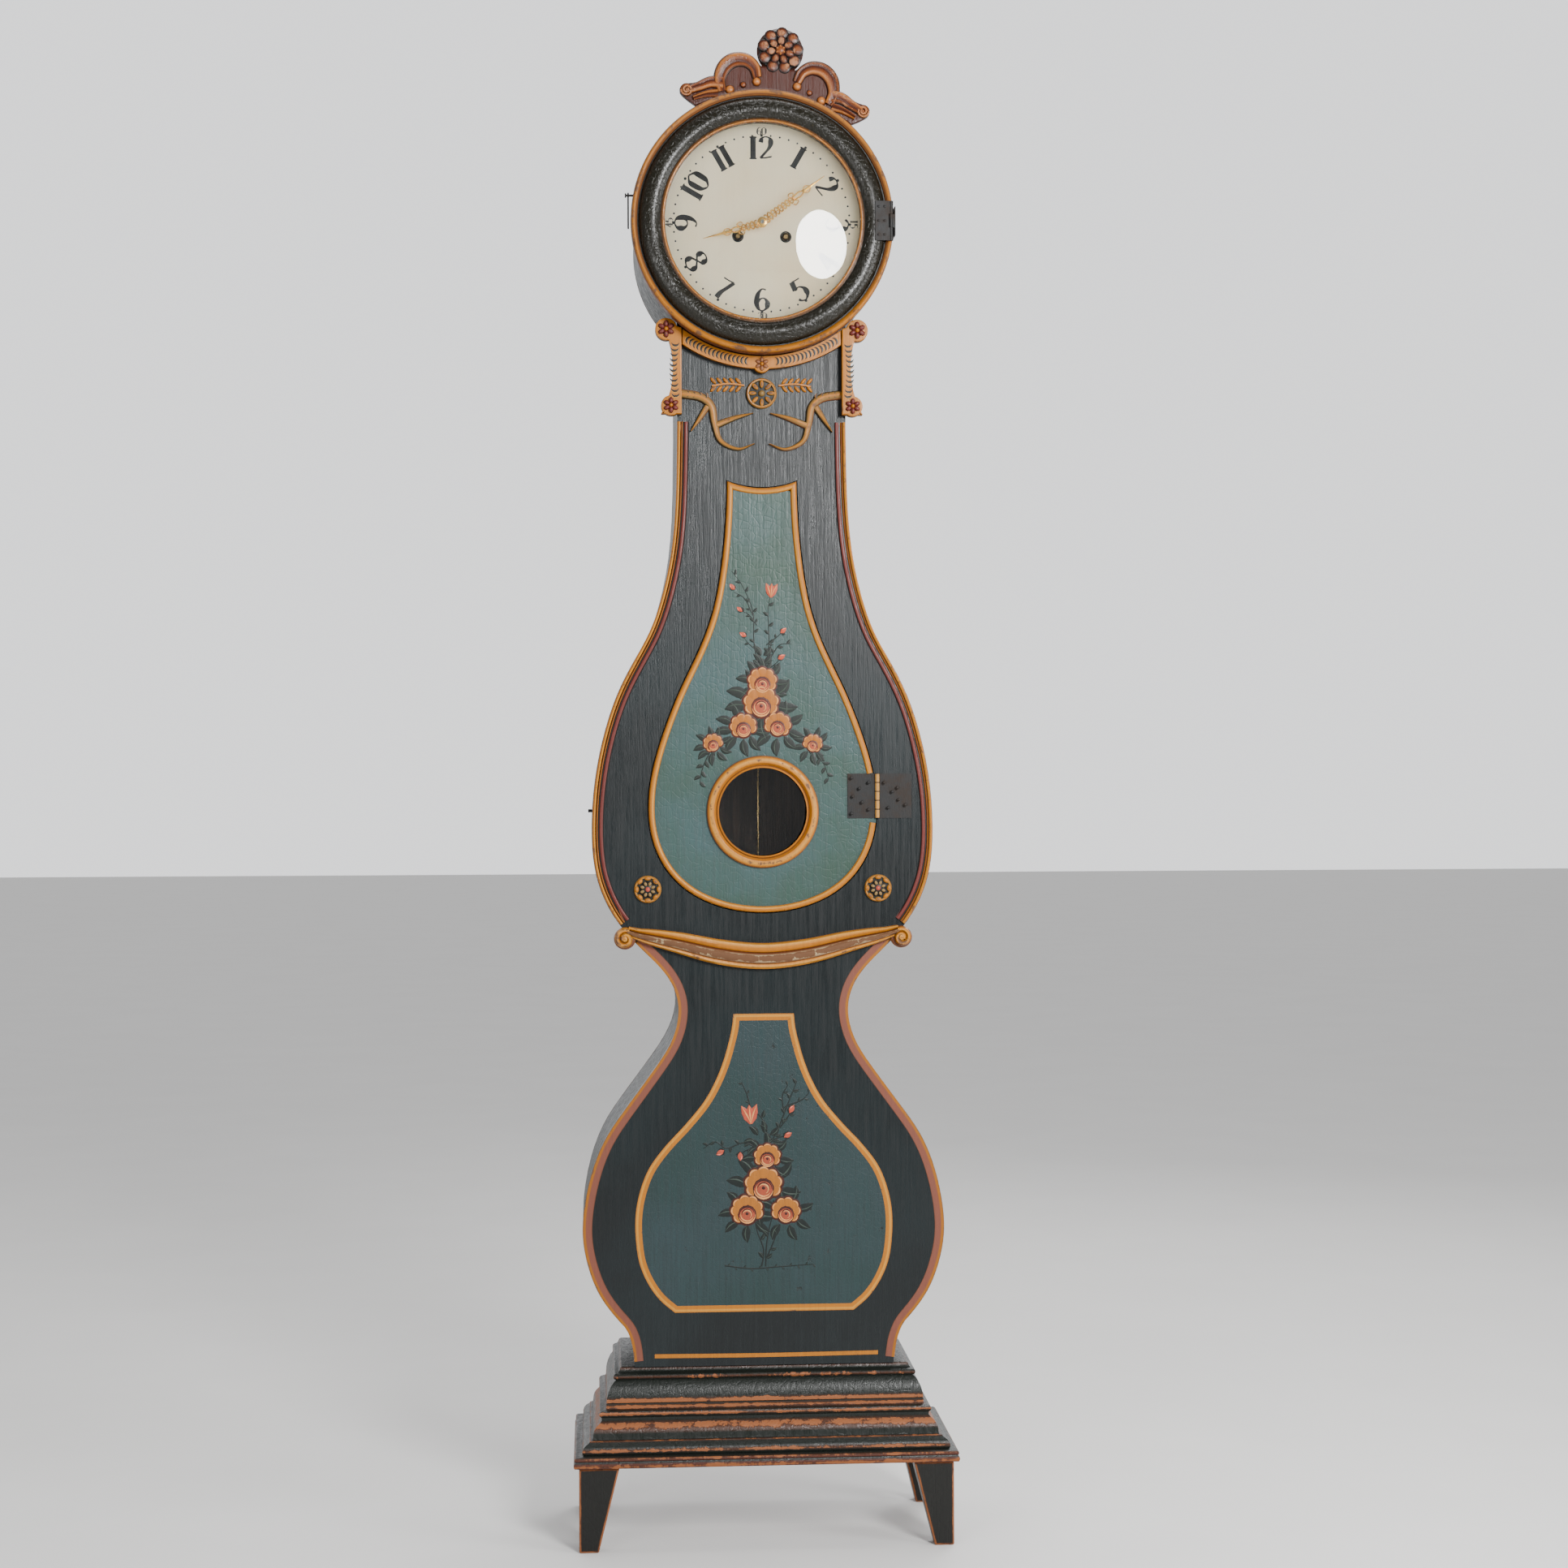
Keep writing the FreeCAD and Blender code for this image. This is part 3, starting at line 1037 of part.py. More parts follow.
node("bell", turned(
    "bell", "XZ_Plane",
    [("0", "hood_height + plate_top"), ("2.5", "hood_height + plate_top"),
     ("2.5", "hood_height + plate_top + 46"), ("14", "hood_height + plate_top + 45"),
     ("28", "hood_height + plate_top + 38"), ("33", "hood_height + plate_top + 24"),
     ("35", "hood_height + plate_top + 24"), ("30", "hood_height + plate_top + 40"),
     ("15", "hood_height + plate_top + 48"), ("0", "hood_height + plate_top + 50")],
    Base_x="30", Base_y="movement_front + plate_thick + plate_space + 1.5 - plinth_half_depth"))
HEAD_Z = HOOD_Z + size("plate_top") + 28.0
hx, hz = HAMMER
hammer = disc(hx, hz, PIVOT, B - 4.0, B_OUT + 4.0)
hammer = hammer.fuse([block(hx - 2, hx + 2, B_OUT + 1.0, B_OUT + 4.0, hz, HEAD_Z),
                      Part.makeCylinder(5.0, 8.0, Vector(-15.0, B_OUT + 2.5, HEAD_Z), Vector(1, 0, 0))])
node("hammer", feature("hammer", hammer.removeSplitter()))

# ---- seat board, weights, lines ----------------------------------------------------
seat_y1 = PEND_Y - 11.0
SEAT_TOP = HOOD_Z - size("seat_below")
seat = block(-250, 250, FRONT_BACK, seat_y1, SEAT_TOP - size("seat_thick"), SEAT_TOP)
seat = seat.common(disc(0, HOOD_Z, size("drum_outer") - size("drum_wall"), -400, 400))
LINE_X = size("wind_across") + size("drum_line") + size("line")
for side in (-1, 1):
    seat = seat.cut(Part.makeCylinder(7.0, 60.0, Vector(side * LINE_X, LINE_Y, SEAT_TOP - 40)))
node("seat_board", feature("seat_board", seat))
for side, label in ((1, "going"), (-1, "strike")):
    x = side * LINE_X
    top, length, radius = size("weight_top"), size("weight_length"), size("weight_radius")
    iron = Part.makeCylinder(radius, length - 8, Vector(x, LINE_Y, top - length))
    iron = iron.fuse([Part.makeCone(radius, radius - 6, 8, Vector(x, LINE_Y, top - 8)),
                      Part.makeCylinder(2.5, 10.0, Vector(x, LINE_Y, top)),
                      Part.makeTorus(5.0, 1.8, Vector(x, LINE_Y, top + 13.0), Vector(0, 1, 0))])
    node(label + "_weight", feature(label + "_weight", iron))
    name = label + "_line"
    cord = Part.makeCylinder(size("line"), GOING[1] - top - 19.8, Vector(x, LINE_Y, top + 19.8))
    node(name, feature(name, cord))

# ---- check and write -----------------------------------------------------------------
doc.recompute()
broken = [o.Label for o in doc.Objects if "Invalid" in o.State or "Error" in o.State]
if broken:
    raise RuntimeError("failed objects: " + ", ".join(broken))
for name, obj in NODES.items():
    shape = obj.Shape
    if shape.isNull() or not shape.isValid() or shape.Volume <= 0.0:
        raise RuntimeError("bad shape: " + name)
os.makedirs("parts", exist_ok=True)
for name, obj in NODES.items():
    obj.Shape.exportStep("parts/" + name + ".step")
print("%d sub-parts" % len(NODES))
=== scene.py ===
"""Looks of the painted longcase clock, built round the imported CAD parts."""
import math

import bmesh
import bpy
from bpy.props import FloatProperty, FloatVectorProperty, PointerProperty
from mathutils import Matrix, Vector


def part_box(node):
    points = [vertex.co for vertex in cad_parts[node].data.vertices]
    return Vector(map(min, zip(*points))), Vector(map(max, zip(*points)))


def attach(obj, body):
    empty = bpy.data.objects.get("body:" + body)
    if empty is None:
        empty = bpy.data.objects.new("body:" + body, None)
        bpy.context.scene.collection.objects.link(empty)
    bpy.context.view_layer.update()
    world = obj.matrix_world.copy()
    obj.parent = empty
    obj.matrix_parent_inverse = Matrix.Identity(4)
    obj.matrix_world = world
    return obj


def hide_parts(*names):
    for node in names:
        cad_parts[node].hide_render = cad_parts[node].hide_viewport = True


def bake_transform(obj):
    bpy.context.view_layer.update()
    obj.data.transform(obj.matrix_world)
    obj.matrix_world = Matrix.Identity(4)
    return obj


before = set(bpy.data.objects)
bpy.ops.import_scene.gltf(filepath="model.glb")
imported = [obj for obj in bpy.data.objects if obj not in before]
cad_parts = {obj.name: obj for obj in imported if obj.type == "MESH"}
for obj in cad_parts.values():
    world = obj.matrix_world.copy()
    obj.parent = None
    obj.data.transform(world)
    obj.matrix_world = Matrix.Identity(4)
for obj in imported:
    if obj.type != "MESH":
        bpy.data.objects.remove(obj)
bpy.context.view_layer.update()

bl_info = {
    "name": "Painted Longcase Clock",
    "version": (1, 0, 0),
    "blender": (4, 5, 0),
    "location": "View3D > Sidebar > Clock",
    "description": "Mouldings, painting, carving, dial and finishes of a painted longcase clock",
    "category": "Object",
}

MM = 0.001
UP = Vector((0.0, 0.0, 1.0))

# ---- places read off the imported parts, in millimetres ------------------------------


def node_box(name):
    low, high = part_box(name)
    return low / MM, high / MM


FACE = node_box("lower_front_board")[0].y
HOOD_LOW, HOOD_HIGH = node_box("hood_moulding")
HOOD_R = HOOD_HIGH.x
HOOD_Z = 0.5 * (HOOD_LOW.z + HOOD_HIGH.z)
PORT_LOW, PORT_HIGH = node_box("porthole_ring")
PORT_R = 0.5 * (node_box("porthole_glass")[1].x - node_box("porthole_glass")[0].x)
PORT_Z = 0.5 * (PORT_LOW.z + PORT_HIGH.z)
PLINTH_HIGH = node_box("plinth_slab")[1]

# ---- places of the carved and painted work, in millimetres ---------------------------
HINGE_X, HINGE_Y = 173.6, -79.2  # axis of the trunk door's hinge
SWAG_EYE_Z = 908.0  # middle of the swag's volutes
NECK_Z = 1730.0  # middle of the rosette on the neck
FRIEZE_R = 206.0  # middle of the hood to the frieze's row of gouges
CREST_LEAN = math.radians(6.2)  # clockwise lean of the crest
WINDING_X, WINDING_DROP = 36.0, 19.5  # winding holes, from the middle of the dial
MINUTE_TRACK, SMALL_NUMBERS = 132.5, 139.0  # radii on the dial

# ---- the camera's side step in metres and its roll -----------------------------------
CAMERA_X, CAMERA_ROLL = -0.249, math.radians(0.2)


# ---- settings ------------------------------------------------------------------------
def colour(name, words, rgb):
    return FloatVectorProperty(name=name, description=words, subtype="COLOR", size=3,
                               min=0.0, max=1.0, default=rgb)


class ClockColours(bpy.types.PropertyGroup):
    """Paint colours, as linear values."""
    ground: colour("Case paint", "Blue-green black of the case front", (0.0065, 0.0085, 0.009))
    side: colour("Side paint", "Weathered paint of the case sides", (0.02, 0.026, 0.027))
    panel: colour("Door panel", "Teal of the trunk door", (0.026, 0.052, 0.038))
    panel_cool: colour("Door panel, cool", "Bluer teal of the panels", (0.036, 0.068, 0.07))
    lower_panel: colour("Lower panel", "Teal of the lower panel", (0.013, 0.028, 0.027))
    gold: colour("Gold paint", "Ochre gold of the mouldings", (0.31, 0.105, 0.005))
    # The cream tint is a painted highlight, laid on the crowns of reeds, rings, ridges and carved lips.
    cream: colour("Cream highlight", "Pale highlights on the gold", (0.42, 0.19, 0.024))
    red: colour("Red line", "Brick red inside the mouldings", (0.095, 0.015, 0.011))
    pink: colour("Outline paint", "Dull pink of the lower outline", (0.14, 0.045, 0.028))
    worn: colour("Worn wood", "Orange-brown wood under the paint", (0.19, 0.062, 0.02))
    black: colour("Black paint", "Black of legs, leaves and hatching", (0.008, 0.008, 0.007))
    dial: colour("Dial", "Cream of the dial", (1.0, 0.86, 0.62))
    crest: colour("Crest", "Red-brown of the crest", (0.045, 0.01, 0.005))


class ClockSizes(bpy.types.PropertyGroup):
    """Widths and rises of the painted and carved work, in millimetres."""
    outline_band: FloatProperty(name="Outline band", description="Width of the painted outline",
                                default=14.0, min=2.0)
    panel_line: FloatProperty(name="Panel line", description="Width of the lower panel's gold line",
                              default=9.0, min=1.0)
    numeral_height: FloatProperty(name="Numeral height", description="Height of the dial's hours",
                                  default=33.0, min=5.0)
    numeral_radius: FloatProperty(name="Numeral radius", description="Dial centre to hours",
                                  default=114.0, min=20.0)
    paint: FloatProperty(name="Paint", description="Thickness of a painted stroke",
                         default=0.25, min=0.05)


class StageSettings(bpy.types.PropertyGroup):
    """Camera and light."""
    lens: FloatProperty(name="Lens", description="Focal length in millimetres", default=61.2)
    distance: FloatProperty(name="Distance", description="Camera to the case's front, metres",
                            default=4.022, unit="LENGTH")
    height: FloatProperty(name="Height", description="Camera height", default=1.14, unit="LENGTH")
    room: FloatProperty(name="Room", description="Brightness in front of the clock", default=0.3)
    wall: FloatProperty(name="Wall", description="Brightness behind the clock", default=1.5)
    yaw: FloatProperty(name="Turn", description="Camera's turn to the right, radians",
                       default=math.radians(4.0), subtype="ANGLE")


def colours():
    return bpy.context.scene.clock_colours


def sizes():
    return bpy.context.scene.clock_sizes


# ---- shader groups -------------------------------------------------------------------
def group(name, inputs, outputs):
    tree = bpy.data.node_groups.new(name, "ShaderNodeTree")
    for label, kind, default in inputs:
        socket = tree.interface.new_socket(name=label, in_out="INPUT", socket_type=kind)
        if default is not None:
            socket.default_value = default
    for label, kind in outputs:
        tree.interface.new_socket(name=label, in_out="OUTPUT", socket_type=kind)
    return tree, tree.nodes.new("NodeGroupInput"), tree.nodes.new("NodeGroupOutput")


def link(tree, a, b):
    tree.links.new(a, b)


def new(tree, kind, **values):
    item = tree.nodes.new(kind)
    for key, value in values.items():
        setattr(item, key, value)
    return item


def ramp(tree, source, low, high):
    """A smooth step of a value between low and high."""
    item = new(tree, "ShaderNodeMapRange", interpolation_type="SMOOTHSTEP")
    item.inputs["From Min"].default_value = low
    item.inputs["From Max"].default_value = high
    link(tree, source, item.inputs["Value"])
    return item.outputs["Result"]


def noise(tree, vector, scale, detail=4.0, rough=0.6, stretch=None):
    if stretch is not None:
        mapping = new(tree, "ShaderNodeMapping")
        mapping.inputs["Scale"].default_value = stretch
        link(tree, vector, mapping.inputs["Vector"])
        vector = mapping.outputs["Vector"]
    item = new(tree, "ShaderNodeTexNoise")
    item.inputs["Scale"].default_value = scale
    item.inputs["Detail"].default_value = detail
    item.inputs["Roughness"].default_value = rough
    link(tree, vector, item.inputs["Vector"])
    return item.outputs["Fac"]


def maths(tree, how, a, b):
    item = new(tree, "ShaderNodeMath", operation=how)
    for slot, value in zip(item.inputs, (a, b)):
        if isinstance(value, (int, float)):
            slot.default_value = value
        else:
            link(tree, value, slot)
    return item.outputs[0]


def mix(tree, mask, a, b):
    item = new(tree, "ShaderNodeMix", data_type="RGBA")
    for slot, value in ((item.inputs[0], mask), (item.inputs[6], a), (item.inputs[7], b)):
        if isinstance(value, (int, float)):
            slot.default_value = value
        elif isinstance(value, (tuple, list)):
            slot.default_value = (*value[:3], 1.0)
        else:
            link(tree, value, slot)
    return item.outputs[2]


def make_brush_group():
    """Streaks left by a brush drawn upwards, and the ridges that they leave."""
    tree, given, out = group("brush_marks", [("Vector", "NodeSocketVector", None)],
                             [("Streak", "NodeSocketFloat"), ("Cloud", "NodeSocketFloat"),
                              ("Height", "NodeSocketFloat")])
    vector = given.outputs["Vector"]
    streak = noise(tree, vector, 16.0, 6.0, 0.7, (14.0, 14.0, 0.55))
    fine = noise(tree, vector, 60.0, 3.0, 0.6, (9.0, 9.0, 0.5))
    cloud = noise(tree, vector, 4.5, 5.0, 0.6)
    link(tree, ramp(tree, streak, 0.36, 0.68), out.inputs["Streak"])
    link(tree, ramp(tree, cloud, 0.35, 0.68), out.inputs["Cloud"])
    both = maths(tree, "ADD", streak, maths(tree, "MULTIPLY", fine, 0.5))
    link(tree, both, out.inputs["Height"])
    return tree


def make_crackle_group():
    """Fine cracks of old paint, as a mask and as a height."""
    tree, given, out = group("crackle", [("Vector", "NodeSocketVector", None),
                                         ("Scale", "NodeSocketFloat", 90.0)],
                             [("Crack", "NodeSocketFloat"), ("Height", "NodeSocketFloat")])
    shift = new(tree, "ShaderNodeTexNoise")
    shift.inputs["Scale"].default_value = 30.0
    link(tree, given.outputs["Vector"], shift.inputs["Vector"])
    bend = new(tree, "ShaderNodeVectorMath", operation="MULTIPLY_ADD")
    bend.inputs[1].default_value = (0.012, 0.012, 0.012)
    link(tree, shift.outputs["Color"], bend.inputs[0])
    link(tree, given.outputs["Vector"], bend.inputs[2])
    cells = new(tree, "ShaderNodeTexVoronoi", feature="DISTANCE_TO_EDGE")
    link(tree, bend.outputs[0], cells.inputs["Vector"])
    link(tree, given.outputs["Scale"], cells.inputs["Scale"])
    edge = cells.outputs["Distance"]
    patch = ramp(tree, noise(tree, given.outputs["Vector"], 9.0, 3.0), 0.42, 0.6)
    crack = maths(tree, "SUBTRACT", 1.0, ramp(tree, edge, 0.0, 0.05))
    link(tree, maths(tree, "MULTIPLY", crack, patch), out.inputs["Crack"])
    link(tree, ramp(tree, edge, 0.0, 0.12), out.inputs["Height"])
    return tree


def make_chip_group():
    """Rubbed and chipped places; Amount runs from 0, sound, to 1, bare."""
    tree, given, out = group("chips", [("Vector", "NodeSocketVector", None),
                                       ("Amount", "NodeSocketFloat", 0.3)],
                             [("Bare", "NodeSocketFloat")])
    coarse = noise(tree, given.outputs["Vector"], 38.0, 8.0, 0.72)
    grain = noise(tree, given.outputs["Vector"], 120.0, 4.0, 0.7, (1.0, 1.0, 0.35))
    both = maths(tree, "ADD", maths(tree, "MULTIPLY", coarse, 0.7), maths(tree, "MULTIPLY", grain, 0.3))
    limit = maths(tree, "SUBTRACT", 0.86, maths(tree, "MULTIPLY", given.outputs["Amount"], 0.62))
    over = maths(tree, "SUBTRACT", both, limit)
    link(tree, ramp(tree, over, -0.02, 0.035), out.inputs["Bare"])
    return tree


GROUPS = {}


def use(tree, name, **inputs):
    item = tree.nodes.new("ShaderNodeGroup")
    item.node_tree = GROUPS[name]
    for label, value in inputs.items():
        if isinstance(value, (int, float)):
            item.inputs[label].default_value = value
        else:
            link(tree, value, item.inputs[label])
    return item.outputs


def new_material(name):
    material = bpy.data.materials.new(name)
    material.use_nodes = True
    tree = material.node_tree
    shader = tree.nodes["Principled BSDF"]
    where = tree.nodes.new("ShaderNodeTexCoord").outputs["Object"]
    return material, tree, shader, where


def attribute(tree, name):
    item = new(tree, "ShaderNodeAttribute", attribute_name=name)
    return item.outputs


def bump(tree, shader, height, depth, strength=1.0):
    item = tree.nodes.new("ShaderNodeBump")
    item.inputs["Strength"].default_value = strength
    item.inputs["Distance"].default_value = depth
    link(tree, height, item.inputs["Height"])
    link(tree, item.outputs["Normal"], shader.inputs["Normal"])


def paint(name, base=None, cool=None, dark=(0.006, 0.007, 0.006), bare=(0.16, 0.055, 0.02), chips=0.15,
          rough=(0.32, 0.55), crack=0.0, crack_scale=90.0, depth=0.0004, gloss=0.0, streaks=0.5,
          wear=False):
    """Old oil paint: streaks, clouds, cracks and chips. Without a base it reads the piece's tint."""
    material, tree, shader, where = new_material(name)
    brush = use(tree, "brush_marks", Vector=where)
    tint = attribute(tree, "tint")
    body = tint["Color"] if base is None else None
    if body is None:
        body = mix(tree, brush["Cloud"], tuple(base), tuple(cool or base))
    shade = maths(tree, "MULTIPLY", brush["Streak"], streaks)
    darker = new(tree, "ShaderNodeHueSaturation")
    darker.inputs["Value"].default_value = 0.5
    link(tree, body, darker.inputs["Color"])
    body = mix(tree, shade, body, darker.outputs["Color"])
    if crack:
        cells = use(tree, "crackle", Vector=where, Scale=crack_scale)
        body = mix(tree, maths(tree, "MULTIPLY", cells["Crack"], crack), body, tuple(dark))
    amount = chips
    if wear:
        amount = maths(tree, "ADD", maths(tree, "MULTIPLY", tint["Alpha"], 0.75), chips)
    rubbed = use(tree, "chips", Vector=where, Amount=amount)["Bare"]
    body = mix(tree, rubbed, body, tuple(bare))
    link(tree, body, shader.inputs["Base Color"])
    spread = new(tree, "ShaderNodeMapRange")
    spread.inputs["To Min"].default_value = rough[0]
    spread.inputs["To Max"].default_value = rough[1]
    link(tree, maths(tree, "MAXIMUM", brush["Streak"], rubbed), spread.inputs["Value"])
    link(tree, spread.outputs["Result"], shader.inputs["Roughness"])
    shader.inputs["Specular IOR Level"].default_value = 0.24
    if gloss:
        shader.inputs["Coat Weight"].default_value = gloss
        shader.inputs["Coat Roughness"].default_value = 0.18
    height = brush["Height"]
    if crack:
        height = maths(tree, "ADD", height, maths(tree, "MULTIPLY", cells["Height"], crack))
    height = maths(tree, "SUBTRACT", height, maths(tree, "MULTIPLY", rubbed, 0.7))
    bump(tree, shader, height, depth)
    return material


def bare_wood(name, base, dark):
    """Unpainted pine with an upright grain."""
    material, tree, shader, where = new_material(name)
    grain = noise(tree, where, 26.0, 6.0, 0.65, (3.0, 3.0, 0.18))
    lines = noise(tree, where, 90.0, 3.0, 0.6, (4.0, 4.0, 0.12))
    body = mix(tree, ramp(tree, grain, 0.35, 0.66), base, dark)
    body = mix(tree, maths(tree, "MULTIPLY", ramp(tree, lines, 0.5, 0.75), 0.5), body,
               tuple(0.5 * c for c in dark))
    link(tree, body, shader.inputs["Base Color"])
    shader.inputs["Roughness"].default_value = 0.7
    bump(tree, shader, lines, 0.0005)
    return material


def metal(name, base, tarnish, rough=(0.18, 0.42), metallic=1.0, depth=0.00006):
    """Metal with tarnish in clouds and fine scratches."""
    material, tree, shader, where = new_material(name)
    cloud = ramp(tree, noise(tree, where, 45.0, 6.0, 0.65), 0.42, 0.72)
    scratch = noise(tree, where, 700.0, 3.0, 0.6, (1.0, 1.0, 0.15))
    link(tree, mix(tree, maths(tree, "MULTIPLY", cloud, 0.5), base, tarnish), shader.inputs["Base Color"])
    spread = new(tree, "ShaderNodeMapRange")
    spread.inputs["To Min"].default_value = rough[0]
    spread.inputs["To Max"].default_value = rough[1]
    link(tree, cloud, spread.inputs["Value"])
    link(tree, spread.outputs["Result"], shader.inputs["Roughness"])
    shader.inputs["Metallic"].default_value = metallic
    bump(tree, shader, scratch, depth)
    return material


def pane(name):
    """Old clear glass with a faint ripple."""
    material, tree, shader, where = new_material(name)
    shader.inputs["Base Color"].default_value = (0.96, 0.98, 0.97, 1.0)
    shader.inputs["Roughness"].default_value = 0.015
    shader.inputs["IOR"].default_value = 1.5
    shader.inputs["Transmission Weight"].default_value = 1.0
    bump(tree, shader, noise(tree, where, 9.0, 2.0), 0.0006, 0.3)
    return material


MATERIALS = {}


def dress(material, *names):
    """Gives CAD nodes their finish."""
    for name in names:
        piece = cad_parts[name]
        piece.data.materials.clear()
        piece.data.materials.append(MATERIALS[material])


# ---- mesh tools ----------------------------------------------------------------------
def new_mesh():
    bm = bmesh.new()
    bm.verts.layers.float_color.new("tint")
    bm.verts.layers.int.new("rank")
    return bm


def tinted(rgb, wear=0.0):
    return (rgb[0], rgb[1], rgb[2], wear)


def plain(rgb):
    """One tint for the top, the slope and the foot of a button."""
    return ((rgb, 0.0),) * 3


def stain(bm, verts, rgb, wear=0.0):
    layer = bm.verts.layers.float_color["tint"]
    for v in verts:
        v[layer] = tinted(rgb, wear)


def sweep(bm, profile, places, closed=False):
    """Draws a row of points from place to place by extruding its edges.

    profile holds a tint for each point of the row; places holds, for each step, the
    points of that row.
    """
    tint, rank = bm.verts.layers.float_color["tint"], bm.verts.layers.int["rank"]
    row = []
    for i, shade in enumerate(profile):
        v = bm.verts.new(Vector(places[0][i]) * MM)
        v[tint] = tinted(*shade) if len(shade) == 2 else tinted(shade)
        v[rank] = i
        row.append(v)
    first = row
    edges = [bm.edges.new(pair) for pair in zip(row, row[1:])]
    for spots in places[1:]:
        made = bmesh.ops.extrude_edge_only(bm, edges=edges)["geom"]
        edges = [g for g in made if isinstance(g, bmesh.types.BMEdge)]
        row = sorted((g for g in made if isinstance(g, bmesh.types.BMVert)), key=lambda v: v[rank])
        for v, spot in zip(row, spots):
            v.co = Vector(spot) * MM
    if closed:
        bmesh.ops.weld_verts(bm, targetmap=dict(zip(row, first)))


def lathe(bm, profile, centre, tints, axis="Y", steps=96):
    """Turns a profile of radius, along about an axis through centre."""
    tint = bm.verts.layers.float_color["tint"]
    row = []
    for (radius, along), shade in zip(profile, tints):
        spot = Vector((radius, along, 0.0)) if axis == "Y" else Vector((radius, 0.0, along))
        v = bm.verts.new((Vector(centre) + spot) * MM)
        v[tint] = tinted(*shade) if len(shade) == 2 else tinted(shade)
        row.append(v)
    edges = [bm.edges.new(pair) for pair in zip(row, row[1:])]
    turn = Vector((0.0, 1.0, 0.0)) if axis == "Y" else UP
    bmesh.ops.spin(bm, geom=row + edges, cent=Vector(centre) * MM, axis=turn,
                   angle=2.0 * math.pi, steps=steps, use_merge=True)


def finished(name, bm, material):
    """Turns the mesh into an object of the scene with its material."""
    mesh = bpy.data.meshes.new(name)
    bm.to_mesh(mesh)
    bm.free()
    mesh.attributes.remove(mesh.attributes["rank"])
    mesh.materials.append(MATERIALS[material])
    obj = bpy.data.objects.new(name, mesh)
    bpy.context.scene.collection.objects.link(obj)
    return obj


def piece(name, bm, material, body, replaces=(), smooth=40.0, slot=None):
    """Makes the finished piece and ties it to its body."""
    bmesh.ops.remove_doubles(bm, verts=bm.verts[:], dist=0.00001)
    bmesh.ops.recalc_face_normals(bm, faces=bm.faces[:])
    limit = math.radians(smooth)
    for face in bm.faces:
        face.smooth = True
    for edge in bm.edges:
        if len(edge.link_faces) == 2:
            edge.smooth = edge.calc_face_angle(0.0) < limit
    obj = finished(name, bm, material)
    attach(obj, body)
    if replaces:
        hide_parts(*replaces)
    return obj


def closed_faces(bm):
    """Closes what is still open, such as the ends of a moulding."""
    loose = [e for e in bm.edges if len(e.link_faces) == 1]
    if loose:
        bmesh.ops.holes_fill(bm, edges=loose, sides=0)


def flat_loops(name, back=False):
    """Outlines of a node's front or back face as x, z points, the longest first."""
    bm = bmesh.new()
    bm.from_mesh(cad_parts[name].data)
    bmesh.ops.remove_doubles(bm, verts=bm.verts[:], dist=0.000002)
    side = -1.0 if back else 1.0
    plane = min(v.co.y * side for v in bm.verts) + 0.00002

    def flat(face):
        return all(v.co.y * side < plane for v in face.verts)

    rim = [e for e in bm.edges if sum(flat(f) for f in e.link_faces) == 1]
    after = {}
    for e in rim:
        for a, b in (e.verts, reversed(e.verts)):
            after.setdefault(a, []).append(b)
    loops, seen = [], set()
    for start in after:
        if start in seen:
            continue
        loop, here, last = [], start, None
        while here is not None and here not in seen:
            seen.add(here)
            loop.append(Vector((here.co.x, here.co.z)) / MM)
            ways = [v for v in after[here] if v is not last and v not in seen]
            last, here = here, (ways[0] if ways else None)
        loops.append(loop)
    bm.free()
    loops.sort(key=lambda l: -sum((a - b).length for a, b in zip(l, l[1:])))
    return loops


def smooth_line(points, step):
    """A smooth open line through points, with a point about every step."""
    points = [Vector(p) for p in points]
    out = []
    for i in range(len(points) - 1):
        a, b = points[i], points[i + 1]
        before = points[i - 1] if i else 2 * a - b
        beyond = points[i + 2] if i + 2 < len(points) else 2 * b - a
        count = max(1, round((b - a).length / step))
        for k in range(count):
            t = k / count
            out.append(0.5 * (2 * a + (b - before) * t + (2 * before - 5 * a + 4 * b - beyond) * t * t
                              + (3 * a - before - 3 * b + beyond) * t ** 3))
    out.append(points[-1])
    return out


def side_path(loop, side, low, high):
    """The left or right side of an outline between two heights, from the bottom up."""
    points = sorted((p for p in loop if p.x * side > 0.0), key=lambda p: p.y)
    points = [p for p in points if low - 60.0 < p.y < high + 60.0]
    thinned = points[:1]
    for p in points[1:]:
        if (p - thinned[-1]).length > 9.0:
            thinned.append(p)
    for _ in range(2):
        inner = [0.25 * a + 0.5 * b + 0.25 * c for a, b, c in zip(thinned, thinned[1:], thinned[2:])]
        thinned = [thinned[0]] + inner + [thinned[-1]]
    return [p for p in smooth_line(thinned, 8.0) if low <= p.y <= high]


def banded(bm, path, section, y, closed=False, sizes_at=None):
    """Runs a moulding's section along a path on an upright face at depth y.

    section holds (across, rise, tint, wear); across runs to the left of the path.
    """
    count = len(path)
    places = []
    for i, spot in enumerate(path):
        back = path[i - 1] if i or closed else None
        ahead = path[(i + 1) % count] if i + 1 < count or closed else None
        ways = [w.normalized() for w in ((spot - back) if back is not None else None,
                                         (ahead - spot) if ahead is not None else None)
                if w is not None and w.length > 1e-6]
        squares = [Vector((-w.y, w.x)) for w in ways]
        square = squares[0] if len(squares) == 1 else (squares[0] + squares[1]) / (
            1.0 + squares[0].dot(squares[1]))
        grow = sizes_at(i / (count - 1)) if sizes_at else 1.0
        places.append([(spot.x + square.x * a * grow, y - r, spot.y + square.y * a * grow)
                       for a, r, _, _ in section])
    if closed:
        places.append(places[0])
    sweep(bm, [(tint, wear) for _, _, tint, wear in section], places, closed)


